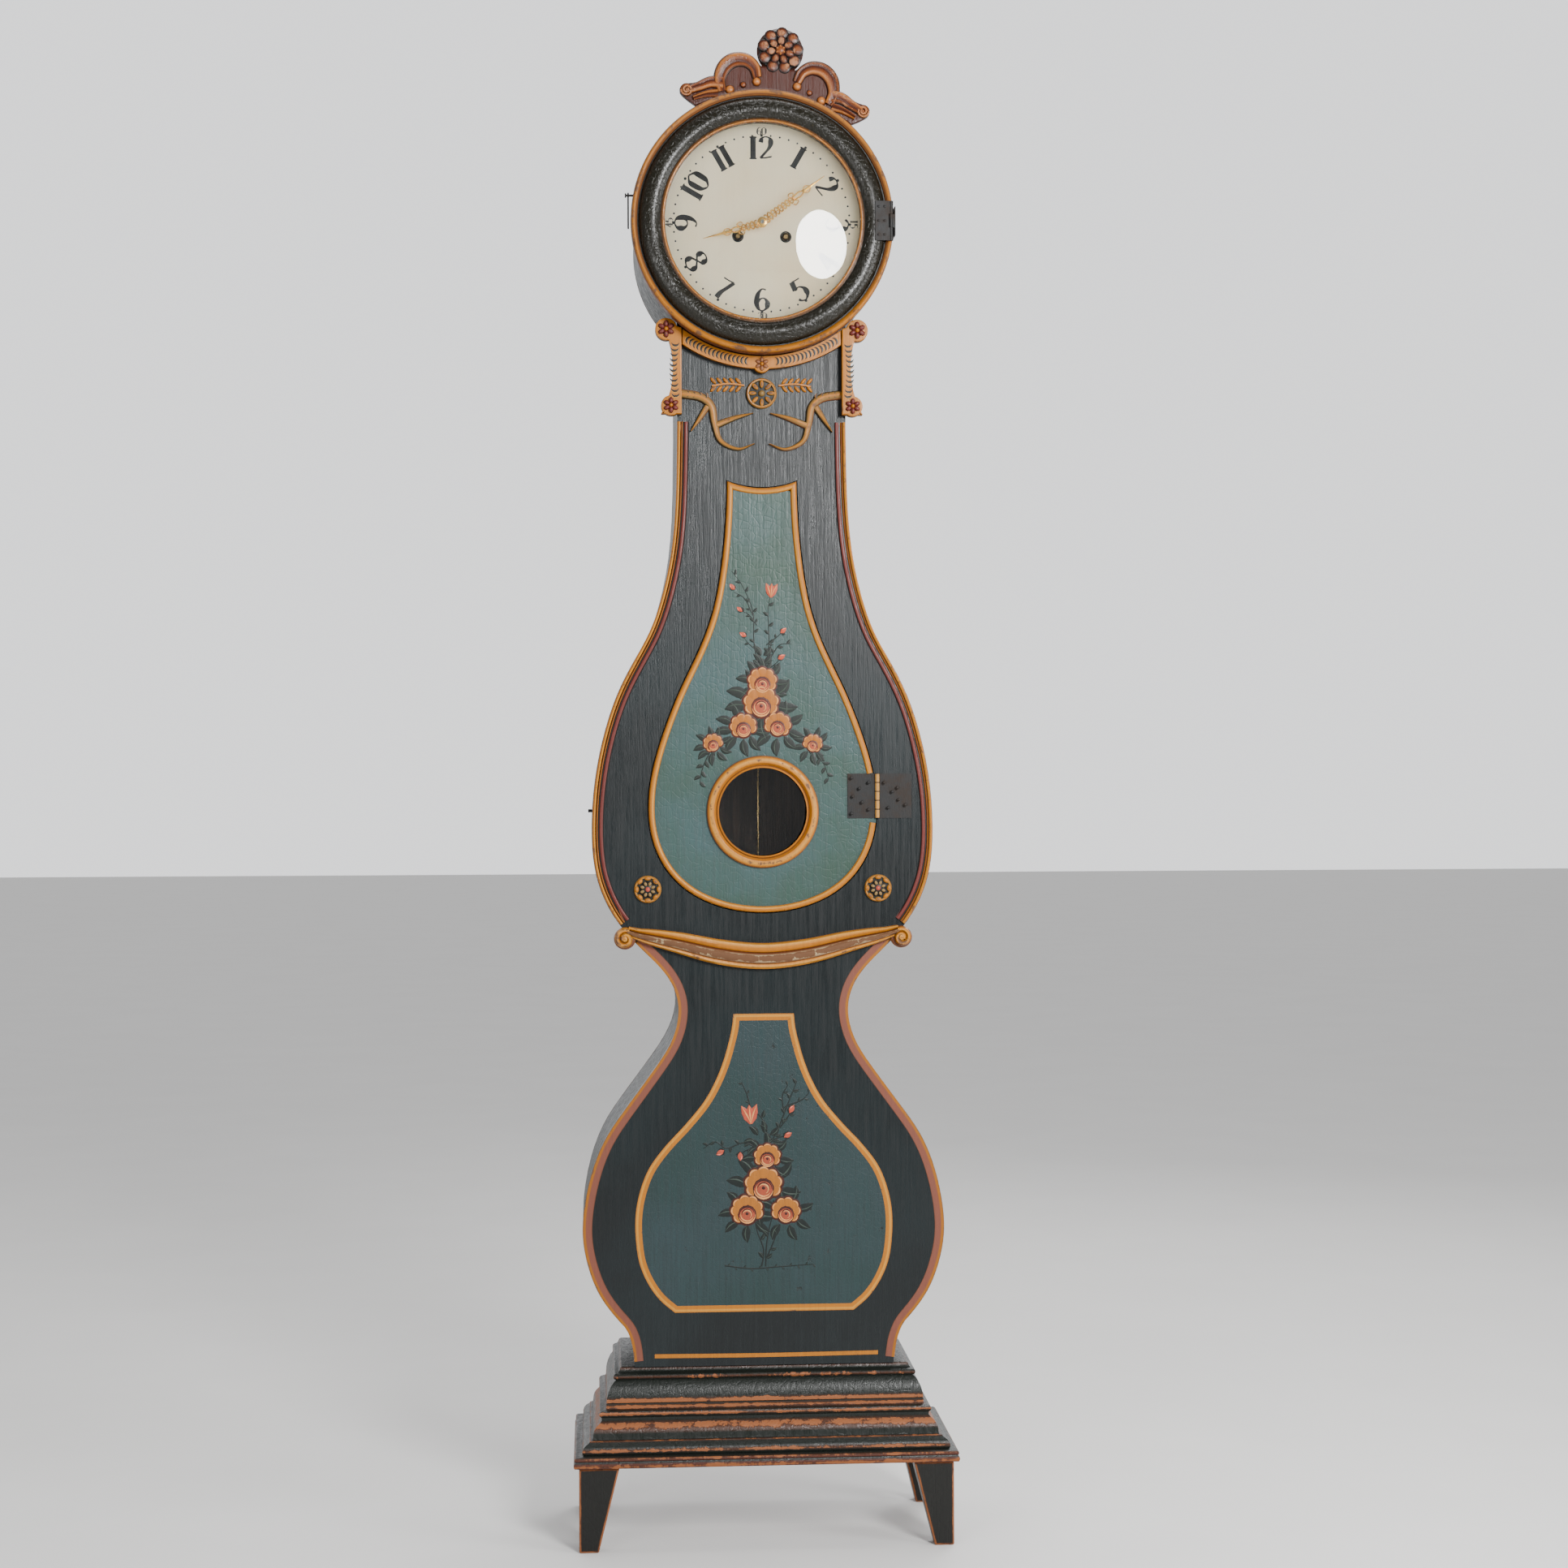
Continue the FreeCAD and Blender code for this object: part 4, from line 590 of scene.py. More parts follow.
def half_round(start, width, rise, tint, top, wear=0.3, floor=0.0):
    """Section points of a round reed, with the top tint as a painted highlight on its crown."""
    rows = []
    for k in range(7):
        a = math.pi * k / 6.0
        # painted highlight: the crown point takes the top tint
        shade = top if k == 4 else tint
        rows.append((start + 0.5 * width * (1.0 - math.cos(a)), floor + rise * math.sin(a), shade,
                     wear if k in (2, 3, 4) else 0.5 * wear))
    return rows


def carved_plate(bm, loop, y, rise, tint, low, deep):
    """A carved board cut to an outline, its edge rounded and rubbed; its side darkens to the deep tint at its
    foot as painted shade.
    """
    layer = bm.verts.layers.float_color["tint"]
    ring = [bm.verts.new(Vector((p.x, y, p.y)) * MM) for p in loop]
    base = bm.faces.new(ring)
    made = bmesh.ops.extrude_face_region(bm, geom=[base])["geom"]
    fresh = [g for g in made if isinstance(g, bmesh.types.BMVert)]
    # painted shade: the foot of the side takes the deep tint
    for v in ring:
        v[layer] = tinted(deep, 0.1)
    for v in fresh:
        v.co.y = (y - rise) * MM
        v[layer] = tinted(tint, 0.4)
    raised = set(fresh)
    rim = [e for e in bm.edges if all(v in raised for v in e.verts)]
    bmesh.ops.bevel(bm, geom=rim, offset=1.6 * MM, offset_type="OFFSET", segments=2, profile=0.5,
                    affect="EDGES", material=-1, clamp_overlap=True)
    top = max((f for f in bm.faces if f.normal.y < -0.9 or f.normal.y > 0.9),
              key=lambda f: -f.calc_center_median().y * 1000.0 + f.calc_area())
    bmesh.ops.inset_region(bm, faces=[top], thickness=2.2 * MM)
    stain(bm, top.verts, low, 0.3)
    bmesh.ops.triangulate(bm, faces=[f for f in bm.faces if len(f.verts) > 6])


def softened(node, material, body, width, ground, rubbed, wear):
    """A worn copy of a CAD node: its edges are rounded and rubbed through."""
    bm = new_mesh()
    bm.from_mesh(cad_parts[node].data)
    bmesh.ops.remove_doubles(bm, verts=bm.verts[:], dist=0.000005)
    bmesh.ops.dissolve_limit(bm, angle_limit=math.radians(1.0), verts=bm.verts[:], edges=bm.edges[:])
    stain(bm, bm.verts, rubbed, wear)
    sharp = [e for e in bm.edges if len(e.link_faces) == 2
             and e.calc_face_angle(0.0) > math.radians(30.0)]
    made = bmesh.ops.bevel(bm, geom=sharp, offset=width * MM, offset_type="OFFSET", segments=2,
                           profile=0.5, affect="EDGES", material=-1, clamp_overlap=True)
    fresh = set(made["faces"])
    broad = [f for f in bm.faces if f not in fresh and f.calc_area() > 60.0 * (width * MM) ** 2]
    bmesh.ops.inset_individual(bm, faces=broad, thickness=1.6 * width * MM)
    for f in broad:
        if f.is_valid:
            stain(bm, f.verts, ground, 0.0)
    return piece(node + "_look", bm, material, body, (node,), smooth=50.0)


# ---- stage ---------------------------------------------------------------------------
# Each light has its place, the height of the clock that it aims at, its size and its watts.
LIGHTS = (("key", (1.2, -3.05, 2.2), 1.35, (0.9, 1.2), 200.0),
          ("side", (2.6, -1.5, 1.3), 0.9, (1.0, 2.0), 60.0),
          ("fill", (-2.2, -3.2, 1.5), 1.0, (1.8, 1.8), 50.0),
          ("top", (0.2, 0.1, 4.0), 1.2, (1.6, 1.6), 45.0),
          ("rim", (1.6, 2.6, 2.6), 1.3, (1.6, 1.6), 45.0))


class CLOCK_OT_stage(bpy.types.Operator):
    """Pale floor, soft studio light and the camera"""
    bl_idname = "clock.stage"
    bl_label = "Stage"

    def execute(self, context):
        stage = context.scene.clock_stage
        face = FACE * MM
        lens = bpy.data.cameras.new("camera")
        lens.lens = stage.lens
        lens.sensor_width = 36.0
        lens.clip_end = 60.0
        camera = bpy.data.objects.new("camera", lens)
        context.scene.collection.objects.link(camera)
        camera.location = (CAMERA_X, face - stage.distance, stage.height)
        camera.rotation_euler = (math.radians(90.0), CAMERA_ROLL, -stage.yaw)
        context.scene.camera = camera

        bm = bmesh.new()
        bmesh.ops.create_grid(bm, x_segments=2, y_segments=2, size=30.0)
        mesh = bpy.data.meshes.new("floor")
        bm.to_mesh(mesh)
        bm.free()
        material, tree, shader, where = new_material("pale_floor")
        cloud = noise(tree, where, 3.0, 3.0)
        link(tree, mix(tree, cloud, (0.60, 0.59, 0.575), (0.66, 0.65, 0.635)), shader.inputs["Base Color"])
        shader.inputs["Roughness"].default_value = 0.6
        mesh.materials.append(material)
        floor = bpy.data.objects.new("floor", mesh)
        context.scene.collection.objects.link(floor)

        for name, place, aim, size, power in LIGHTS:
            self.light(context, name, place, (0.0, 0.0, aim), size, power)
        world = bpy.data.worlds.new("studio")
        world.use_nodes = True
        tree = world.node_tree
        back = tree.nodes["Background"]
        back.inputs["Color"].default_value = (0.97, 0.975, 0.99, 1.0)
        split = tree.nodes.new("ShaderNodeSeparateXYZ")
        link(tree, tree.nodes.new("ShaderNodeTexCoord").outputs["Generated"], split.inputs[0])
        rise = ramp(tree, split.outputs["Y"], -0.35, 0.75)
        rise.node.inputs["To Min"].default_value = stage.room
        rise.node.inputs["To Max"].default_value = stage.wall
        link(tree, rise, back.inputs["Strength"])
        context.scene.world = world
        return {"FINISHED"}

    def light(self, context, name, place, aim, size, power):
        data = bpy.data.lights.new(name, "AREA")
        data.shape = "ELLIPSE"
        data.size, data.size_y = size
        data.energy = power
        lamp = bpy.data.objects.new(name, data)
        lamp.location = place
        lamp.rotation_euler = (Vector(aim) - Vector(place)).to_track_quat("-Z", "Y").to_euler()
        context.scene.collection.objects.link(lamp)


# ---- finishes ------------------------------------------------------------------------
class CLOCK_OT_finishes(bpy.types.Operator):
    """Mixes the paints and metals, and dresses the CAD nodes that stay"""
    bl_idname = "clock.finishes"
    bl_label = "Finishes"

    def execute(self, context):
        c = colours()
        GROUPS["brush_marks"] = make_brush_group()
        GROUPS["crackle"] = make_crackle_group()
        GROUPS["chips"] = make_chip_group()
        M = MATERIALS
        M["case_paint"] = paint("case_paint", c.ground, (0.0085, 0.0125, 0.0135), bare=(0.016, 0.017, 0.016),
                                chips=0.2, rough=(0.24, 0.44), depth=0.0006, streaks=0.6)
        M["side_paint"] = paint("side_paint", c.side, (0.028, 0.034, 0.034), bare=(0.09, 0.055, 0.03),
                                chips=0.22, rough=(0.34, 0.6), depth=0.0005, streaks=0.5)
        M["door_panel"] = paint("door_panel", c.panel, c.panel_cool, dark=(0.02, 0.035, 0.03),
                                bare=(0.02, 0.035, 0.027), chips=0.14, rough=(0.28, 0.46), crack=0.22,
                                crack_scale=85.0, depth=0.0004, streaks=0.45)
        M["lower_panel"] = paint("lower_panel", c.lower_panel, (0.019, 0.033, 0.036),
                                 dark=(0.012, 0.02, 0.018), bare=(0.008, 0.011, 0.01), chips=0.4,
                                 rough=(0.32, 0.55), crack=0.3, crack_scale=110.0, depth=0.0004,
                                 streaks=0.55)
        M["tinted_paint"] = paint("tinted_paint", None, bare=(0.1, 0.045, 0.02), chips=0.1,
                                  rough=(0.34, 0.56), depth=0.0002, streaks=0.3, wear=True)
        M["brush_strokes"] = paint("brush_strokes", None, bare=(0.03, 0.045, 0.04), chips=0.12,
                                   rough=(0.38, 0.55), depth=0.00012, streaks=0.35)
        M["plinth_paint"] = paint("plinth_paint", None, bare=c.worn, chips=0.1, rough=(0.26, 0.5),
                                  crack=0.25, crack_scale=60.0, depth=0.0005, streaks=0.45, wear=True)
        M["hood_dark"] = paint("hood_dark", None, dark=(0.002, 0.002, 0.002), bare=(0.026, 0.018, 0.009),
                               chips=0.08, rough=(0.16, 0.36), crack=0.6, crack_scale=150.0,
                               depth=0.0006, gloss=0.12, streaks=0.3, wear=True)
        M["dial_paint"] = paint("dial_paint", c.dial, (0.95, 0.76, 0.48), bare=(0.3, 0.23, 0.14),
                                chips=0.075, rough=(0.4, 0.55), depth=0.00008, streaks=0.06)
        M["ink"] = paint("ink", None, bare=(0.3, 0.24, 0.16), chips=0.1, rough=(0.4, 0.6), depth=0.00003,
                         streaks=0.2)
        M["pine"] = bare_wood("pine", (0.16, 0.085, 0.04), (0.08, 0.04, 0.018))
        M["dark_pine"] = bare_wood("dark_pine", (0.075, 0.042, 0.022), (0.03, 0.017, 0.01))
        M["iron"] = metal("iron", (0.009, 0.009, 0.009), (0.03, 0.017, 0.01), (0.5, 0.7), 0.1, 0.0002)
        M["iron"].node_tree.nodes["Principled BSDF"].inputs["Specular IOR Level"].default_value = 0.22
        M["steel"] = metal("steel", (0.42, 0.41, 0.39), (0.16, 0.12, 0.09), (0.25, 0.5))
        M["brass"] = metal("brass", (0.72, 0.49, 0.2), (0.4, 0.24, 0.08), (0.2, 0.4))
        M["hand_brass"] = metal("hand_brass", (0.9, 0.52, 0.13), (0.5, 0.26, 0.05), (0.24, 0.4))
        M["bell_metal"] = metal("bell_metal", (0.55, 0.42, 0.2), (0.3, 0.2, 0.08), (0.22, 0.4))
        M["glass"] = pane("glass")
        M["gut"] = paint("gut", (0.28, 0.17, 0.08), (0.2, 0.11, 0.05), rough=(0.5, 0.7), depth=0.0002)
        M["crest_wood"] = paint("crest_wood", None, dark=(0.01, 0.005, 0.003), bare=(0.25, 0.1, 0.04),
                                chips=0.12, rough=(0.24, 0.46), depth=0.0005, streaks=0.5, wear=True)

        dress("case_paint", "upper_front_board", "lower_front_board")
        dress("side_paint", "upper_side_left", "upper_side_right", "lower_side_left",
              "lower_side_right", "hood_drum")
        dress("dark_pine", "back_board", "hood_back")
        dress("door_panel", "trunk_door_board")
        dress("pine", "seat_board")
        dress("dial_paint", "dial")
        dress("glass", "porthole_glass")
        dress("iron", "trunk_door_leaf", "trunk_case_leaf", "hood_door_leaf", "hood_case_leaf",
              "going_weight", "strike_weight", "hood_hook", "hook_screw_and_peg")
        dress("steel", "centre_arbor", "anchor", "hammer")
        dress("brass", "front_plate", "back_plate", "going_barrel", "strike_barrel",
              "going_great_wheel", "third_wheel", "escape_wheel", "minute_wheel", "hour_wheel",
              "pendulum")
        dress("bell_metal", "bell")
        return {"FINISHED"}


# ---- plinth --------------------------------------------------------------------------
class CLOCK_OT_plinth(bpy.types.Operator):
    """Slab, moulded steps and tapered legs"""
    bl_idname = "clock.plinth"
    bl_label = "Plinth"

    def execute(self, context):
        c = colours()
        deep = (0.008, 0.01, 0.008)
        red = (0.07, 0.02, 0.012)
        rub = (0.05, 0.018, 0.009)
        slab = [(7, 125, red, 0.2), (1.5, 126.2, red, 0.6), (0.2, 129, rub, 0.8), (0.0, 132, red, 0.6),
                (1.8, 134.5, deep, 0.3), (2.4, 136, deep, 0.0), (1.2, 138, red, 0.5), (1.6, 141, rub, 0.7),
                (4.5, 142.6, deep, 0.2), (12, 143, deep, 0.0)]
        self.moulding("plinth_slab_look", slab, "plinth_slab")
        lower = [(14.5, 143, deep, 0), (13.2, 145.5, deep, 0.3), (13.0, 149, rub, 0.75),
                 (14.6, 153.5, deep, 0.4), (18.0, 157, deep, 0.1), (22.6, 159.4, deep, 0.1),
                 (24.0, 161.6, rub, 0.7), (28.0, 162.6, deep, 0.3), (28.8, 166, deep, 0.0),
                 (29.2, 171, deep, 0.1), (30.6, 176, rub, 0.5), (33.8, 180.5, rub, 0.8),
                 (38.5, 184.5, rub, 0.7), (42.0, 188.5, deep, 0.1), (41.6, 192.5, deep, 0.1),
                 (39.2, 195, deep, 0.4), (38.2, 198.5, rub, 0.85), (39.8, 201.6, deep, 0.4),
                 (44.5, 203.2, deep, 0.1), (48.5, 204, rub, 0.5), (49.0, 207, rub, 0.85),
                 (49.0, 211.8, deep, 0.2), (60, 212, deep, 0)]
        self.moulding("plinth_lower_look", lower, "plinth_lower_moulding")
        upper = [(52, 211.8, deep, 0), (49.3, 212.6, rub, 0.8), (49.4, 216, rub, 0.9),
                 (50.2, 221, deep, 0.3), (52.2, 228, deep, 0.0), (55.6, 235.5, deep, 0.0),
                 (60.4, 241.6, deep, 0.0), (63.4, 244, deep, 0.2), (61.0, 245.6, deep, 0.5),
                 (59.6, 248.2, rub, 0.6), (60.2, 251.4, deep, 0.5), (62.8, 253.2, deep, 0.2),
                 (66.5, 254.2, deep, 0.1), (68.6, 256.8, deep, 0.2), (69.8, 260.5, rub, 0.5),
                 (72.5, 262, deep, 0.1), (110, 262, deep, 0.0)]
        self.moulding("plinth_upper_look", upper, "plinth_upper_moulding")
        for name in ("leg_front_left", "leg_front_right", "leg_back_left", "leg_back_right"):
            softened(name, "plinth_paint", "case", 2.0, tuple(c.black), rub, wear=0.85)
        return {"FINISHED"}

    def moulding(self, name, section, node):
        half, deep = PLINTH_HIGH.x, PLINTH_HIGH.y
        bm = new_mesh()
        tint = bm.verts.layers.float_color["tint"]
        rows = []
        for inset, z, _, _ in section:
            x, y = half - inset, -deep + inset
            rows.append([(-x, deep, z), (-x, y, z), (x, y, z), (x, deep, z), (-x, deep, z)])
        sweep(bm, [((0, 0, 0), 0.0)] * 5, rows)
        for v in bm.verts:
            z = v.co.z / MM
            shade = min(section, key=lambda s: abs(s[1] - z) + abs(half - s[0] - abs(v.co.x / MM)))
            v[tint] = tinted(shade[2], shade[3])
        bmesh.ops.remove_doubles(bm, verts=bm.verts[:], dist=0.00001)
        closed_faces(bm)
        piece(name, bm, "plinth_paint", "case", (node,), smooth=38.0)


# ---- mouldings on the case -----------------------------------------------------------
class CLOCK_OT_mouldings(bpy.types.Operator):
    """Edge mouldings, door moulding, painted outlines and the swag"""
    bl_idname = "clock.mouldings"
    bl_label = "Mouldings"

    def execute(self, context):
        c = colours()
        gold, cream, red, pink, dark = (tuple(v) for v in (c.gold, c.cream, c.red, c.pink, c.black))
        brown = (0.09, 0.028, 0.01)
        low, high = node_box("edge_moulding_right")
        upper = flat_loops("upper_front_board")[0]
        for side, node in ((1, "edge_moulding_right"), (-1, "edge_moulding_left")):
            path = side_path(upper, side, low.z - 10.0, high.z)
            if side < 0:
                path.reverse()
            # Painted light: the pale cream crown of the gold reed and the gold crown of the small reed are
            # painted highlights; the small reed's brown flanks are painted shade.
            section = [(0.2, 0.0, brown, 0.4)]
            section += half_round(0.2, 5.2, 4.9, gold, cream, 0.5)
            section += half_round(5.6, 3.2, 3.6, brown, gold, 0.4, 0.6)
            section += [(9.2, 1.2, dark, 0.2), (10.8, 1.4, dark, 0.2), (11.6, 2.4, red, 0.3),
                        (12.2, 2.8, red, 0.3), (15.0, 2.8, red, 0.3), (16.0, 2.4, red, 0.3),
                        (16.6, 1.6, dark, 0.2), (17.9, 0.0, dark, 0.0)]
            bm = new_mesh()
            banded(bm, path, section, FACE)
            closed_faces(bm)
            piece(node + "_look", bm, "tinted_paint", "case", (node,))

        lower = flat_loops("lower_front_board")[0]
        foot = min(p.y for p in lower) + 1.0
        top = max(p.y for p in lower) - 1.0
        width, thick = sizes().outline_band, sizes().paint
        bm = new_mesh()
        for side in (1, -1):
            path = side_path(lower, side, foot, top - 8.0) + side_path(upper, side, top + 6.0, top + 22.0)
            if side < 0:
                path.reverse()
            ochre = tuple(0.75 * v for v in gold)
            section = [(0.1, 0.0, ochre, 0.3), (0.2, thick, ochre, 0.6), (0.27 * width, thick, ochre, 0.3),
                       (0.34 * width, thick, pink, 0.2), (0.9 * width, thick, pink, 0.2),
                       (width, thick, brown, 0.3), (width, 0.0, brown, 0.3)]
            banded(bm, path, section, FACE)
        line_z = foot + 15.0
        bar = [Vector((-166.0, line_z)), Vector((0.0, line_z - 1.0)), Vector((172.0, line_z))]
        banded(bm, smooth_line(bar, 20.0), [(-3, 0, gold, 0.3), (-3, thick, gold, 0.4), (3, thick, gold, 0.4),
                                            (3, 0, gold, 0.3)], FACE)
        piece("painted_outline", bm, "tinted_paint", "case", slot="edge_gold")

        self.door(gold, cream, brown)
        self.lower_panel(gold, cream)
        self.swag(gold, cream, brown)
        return {"FINISHED"}

    def door(self, gold, cream, brown):
        loop = flat_loops("trunk_door_board")[0]
        hinge_low, hinge_high = node_box("trunk_case_leaf")
        top = max(p.y for p in loop)
        corner = max(loop, key=lambda p: p.y + 0.01 * p.x)
        start = loop.index(corner)
        loop = loop[start:] + loop[:start]
        if loop[1].y > top - 40.0 and loop[1].x < corner.x and abs(loop[1].x) < abs(corner.x) - 2.0:
            loop = [loop[0]] + loop[:0:-1]
        left = min((p for p in loop if p.y > top - 3.0), key=lambda p: p.x)
        end = loop.index(left)
        rim = smooth_line(loop[:end + 1], 8.0)
        head = smooth_line(loop[end:] + [loop[0]], 8.0)
        below = [p for p in rim if not (p.x > 100.0 and p.y > hinge_low.z - 1.0)]
        above = [p for p in rim if p.x > 0.0 and p.y > hinge_high.z + 1.0]
        below = [p for p in below if not (p.x > 0.0 and p.y > hinge_high.z)]
        path = below + head[1:-1] + above
        path.reverse()
        # Painted light: brown along both feet of the moulding is painted shade, and the cream on the reed's
        # crown is a painted highlight.
        section = [(0.1, 0.0, brown, 0.3), (0.2, 1.2, brown, 0.5)]
        section += half_round(0.4, 8.6, 3.7, gold, cream, 0.35, 1.2)
        section += [(9.2, 1.0, gold, 0.3), (9.3, 0.0, brown, 0.3)]
        area = sum(a.x * b.y - b.x * a.y for a, b in zip(path, path[1:] + path[:1]))
        if area < 0.0:
            path.reverse()
        bm = new_mesh()
        banded(bm, path, section, FACE)
        closed_faces(bm)
        piece("trunk_door_moulding_look", bm, "tinted_paint", "trunk_door", ("trunk_door_moulding",))

    def lower_panel(self, gold, cream):
        side = [(45, 792), (47, 772), (52, 750), (60, 722), (72, 692), (90, 660), (118, 626), (148, 594),
                (172, 562), (186, 528), (193, 492), (193, 455), (188, 420), (176, 390), (158, 364),
                (135, 344)]
        right = smooth_line(side, 8.0)
        left = [Vector((-p.x, p.y)) for p in reversed(right)]
        path = right + smooth_line([right[-1], left[0]], 20.0)[1:-1] + left
        path += smooth_line([left[-1], right[0]], 20.0)[1:-1]
        thick, width = sizes().paint, sizes().panel_line
        bm = new_mesh()
        dry = tuple(colours().lower_panel)
        sweep(bm, [(dry, 0.0), (dry, 0.0)], [[(-p.x, FACE - 0.5 * thick, p.y), (p.x, FACE - 0.5 * thick, p.y)]
                                            for p in right])
        piece("lower_panel_paint", bm, "lower_panel", "case", slot="door_panel")
        path.reverse()
        # Painted highlight: a cream stripe along the ridge of the gold line.
        section = [(-1.0, 0.0, gold, 0.3), (-0.8, thick, gold, 0.5), (0.3 * width, 1.3 * thick, cream, 0.3),
                   (0.5 * width, 1.3 * thick, gold, 0.3), (width, thick, gold, 0.5),
                   (width + 0.2, 0.0, gold, 0.3)]
        bm = new_mesh()
        banded(bm, path, section, FACE, closed=True)
        piece("lower_panel_line", bm, "tinted_paint", "case", slot="door_gold")

    def swag(self, gold, cream, brown):
        high = node_box("swag_moulding")[1]
        # The palest colour, on the swag's highest crown, is a painted highlight.
        crown_highlight = (0.36, 0.27, 0.15)
        eye = high.x - 18.0
        ends, middle = 917.0, 880.5
        path = smooth_line([(-205, ends + 3), (-186, ends - 3), (-130, ends - 15), (-65, ends - 30),
                            (0, middle), (65, ends - 30), (130, ends - 15), (186, ends - 3),
                            (205, ends + 3)], 6.0)
        # Painted light across the swag: the cream and the palest tint on the crowns are painted highlights;
        # brown at the feet, on a flank and in the valley between the reeds is painted shade.
        section = [(-19.5, 0.0, brown, 0.2), (-19.5, 9.0, gold, 0.4), (-16.0, 13.0, cream, 0.5),
                   (-12.5, 12.0, gold, 0.4), (-11.0, 14.0, brown, 0.5), (-6.5, 18.0, crown_highlight, 0.8),
                   (-1.0, 19.0, crown_highlight, 0.9), (3.5, 16.0, brown, 0.4), (5.0, 12.0, brown, 0.2),
                   (7.0, 14.5, gold, 0.4), (12.0, 16.5, gold, 0.3), (17.0, 15.0, cream, 0.4),
                   (19.5, 10.0, gold, 0.4), (19.5, 0.0, brown, 0.2)]
        bm = new_mesh()
        banded(bm, path, section, FACE, sizes_at=lambda t: 1.0 - 0.66 * abs(2.0 * t - 1.0) ** 2.6)
        closed_faces(bm)
        for side in (-1, 1):
            spiral = []
            for k in range(30):
                a = math.radians(118.0 - 17.5 * k)
                r = 13.4 - 0.36 * k
                spiral.append(Vector((side * (eye + r * math.cos(a)), SWAG_EYE_Z + r * math.sin(a))))
            # The volute's section is gold on one flank and brown on the other, with cream on its crown:
            # painted shade and painted highlight.
            rise = [(-4.4, 0.0, brown, 0.4), (-4.2, 14.0, gold, 0.5), (-1.5, 18.5, cream, 0.7),
                    (1.5, 18.5, gold, 0.6), (4.2, 14.0, brown, 0.4), (4.4, 0.0, brown, 0.2)]
            banded(bm, spiral, rise, FACE)
            # The eye: a cream ring round the boss is a painted highlight; brown on its slope and at its foot
            # is painted shade.
            lathe(bm, [(0.0, FACE - 18.5), (3.5, FACE - 17.5), (5.5, FACE - 14.0), (15.5, FACE - 10.0),
                       (16.5, FACE - 6.0), (16.5, FACE), (0.0, FACE)], (side * eye, 0.0, SWAG_EYE_Z),
                  [(gold, 0.6), (cream, 0.5), (brown, 0.3), (brown, 0.3), (gold, 0.5), (brown, 0.3),
                   (brown, 0)],
                  steps=36)
        piece("swag_moulding_look", bm, "tinted_paint", "case", ("swag_moulding",))


# ---- trunk door details --------------------------------------------------------------
def ring_of(bm, count, radius, width, length, rise, centre, y, tints, start=0.0):
    """A ring of domed petals round a centre, each made from a small cone."""
    for k in range(count):
        a = start + 2.0 * math.pi * k / count
        petal(bm, (centre[0] + radius * math.sin(a), centre[1] + radius * math.cos(a)), a,
              width, length, rise, y, tints)


def petal(bm, spot, angle, width, length, rise, y, tints):
    """One domed petal lying on an upright face; angle is clockwise from the top."""
    layer = bm.verts.layers.float_color["tint"]
    rows = []
    for grow, up in ((1.0, 0.0), (0.92, 0.55), (0.68, 0.88), (0.3, 1.0)):
        made = bmesh.ops.create_circle(bm, segments=14, radius=1.0)["verts"]
        for v in made:
            x, z = v.co.x * 0.5 * width * grow, v.co.y * 0.5 * length * grow
            across = x * math.cos(angle) + z * math.sin(angle)
            above = -x * math.sin(angle) + z * math.cos(angle)
            v.co = Vector((spot[0] + across, y - rise * up, spot[1] + above)) * MM
            v[layer] = tinted(*tints[min(len(rows), len(tints) - 1)])
        rows.append(made)
    for low, high in zip(rows, rows[1:]):
        edges = [e for v in low + high for e in v.link_edges]
        bmesh.ops.bridge_loops(bm, edges=list(set(edges) - {e for e in edges if e.link_faces and len(
            e.link_faces) > 1}))
    top = bm.faces.new(rows[-1])
    bmesh.ops.poke(bm, faces=[top])


def domed(bm, spot, radius, rise, y, tints, steps=24):
    """A round button with a shaded edge."""
    profile = [(0.001, y - rise), (0.5 * radius, y - 0.88 * rise), (0.8 * radius, y - 0.6 * rise),
               (radius, y)]
    lathe(bm, profile, (spot[0], 0.0, spot[1]), [tints[0], tints[0], tints[1], tints[2]], steps=steps)


def stroke(bm, path, widths, y, tint, lift=0.25):
    """A painted stroke: a ribbon of changing width with a raised middle."""
    count = len(path)
    rows = []
    for i, spot in enumerate(path):
        a, b = path[max(0, i - 1)], path[min(count - 1, i + 1)]
        way = (b - a).normalized() if (b - a).length > 1e-9 else Vector((1.0, 0.0))
        square = Vector((-way.y, way.x))
        t = i / (count - 1)
        place = t * (len(widths) - 1)
        k = min(int(place), len(widths) - 2)
        w = 0.5 * (widths[k] + (widths[k + 1] - widths[k]) * (place - k))
        rows.append([(spot.x + square.x * a, y - up, spot.y + square.y * a)
                     for a, up in ((-w, 0.0), (-0.82 * w, 0.8 * lift), (0.0, lift), (0.82 * w, 0.8 * lift),
                                   (w, 0.0))])
    dark = tuple(0.7 * c for c in tint)
    sweep(bm, [(dark, 0.0), (tint, 0.0), (tint, 0.0), (tint, 0.0), (dark, 0.0)], rows)


def curve(*points, step=3.0):
    return smooth_line([Vector(p) for p in points], step)


def arc_points(centre, radius, start, end, count):
    """Points round a centre; angles in degrees clockwise from the top."""
    out = []
    for k in range(count + 1):
        a = math.radians(start + (end - start) * k / count)
        out.append(Vector((centre[0] + radius * math.sin(a), centre[1] + radius * math.cos(a))))
    return out


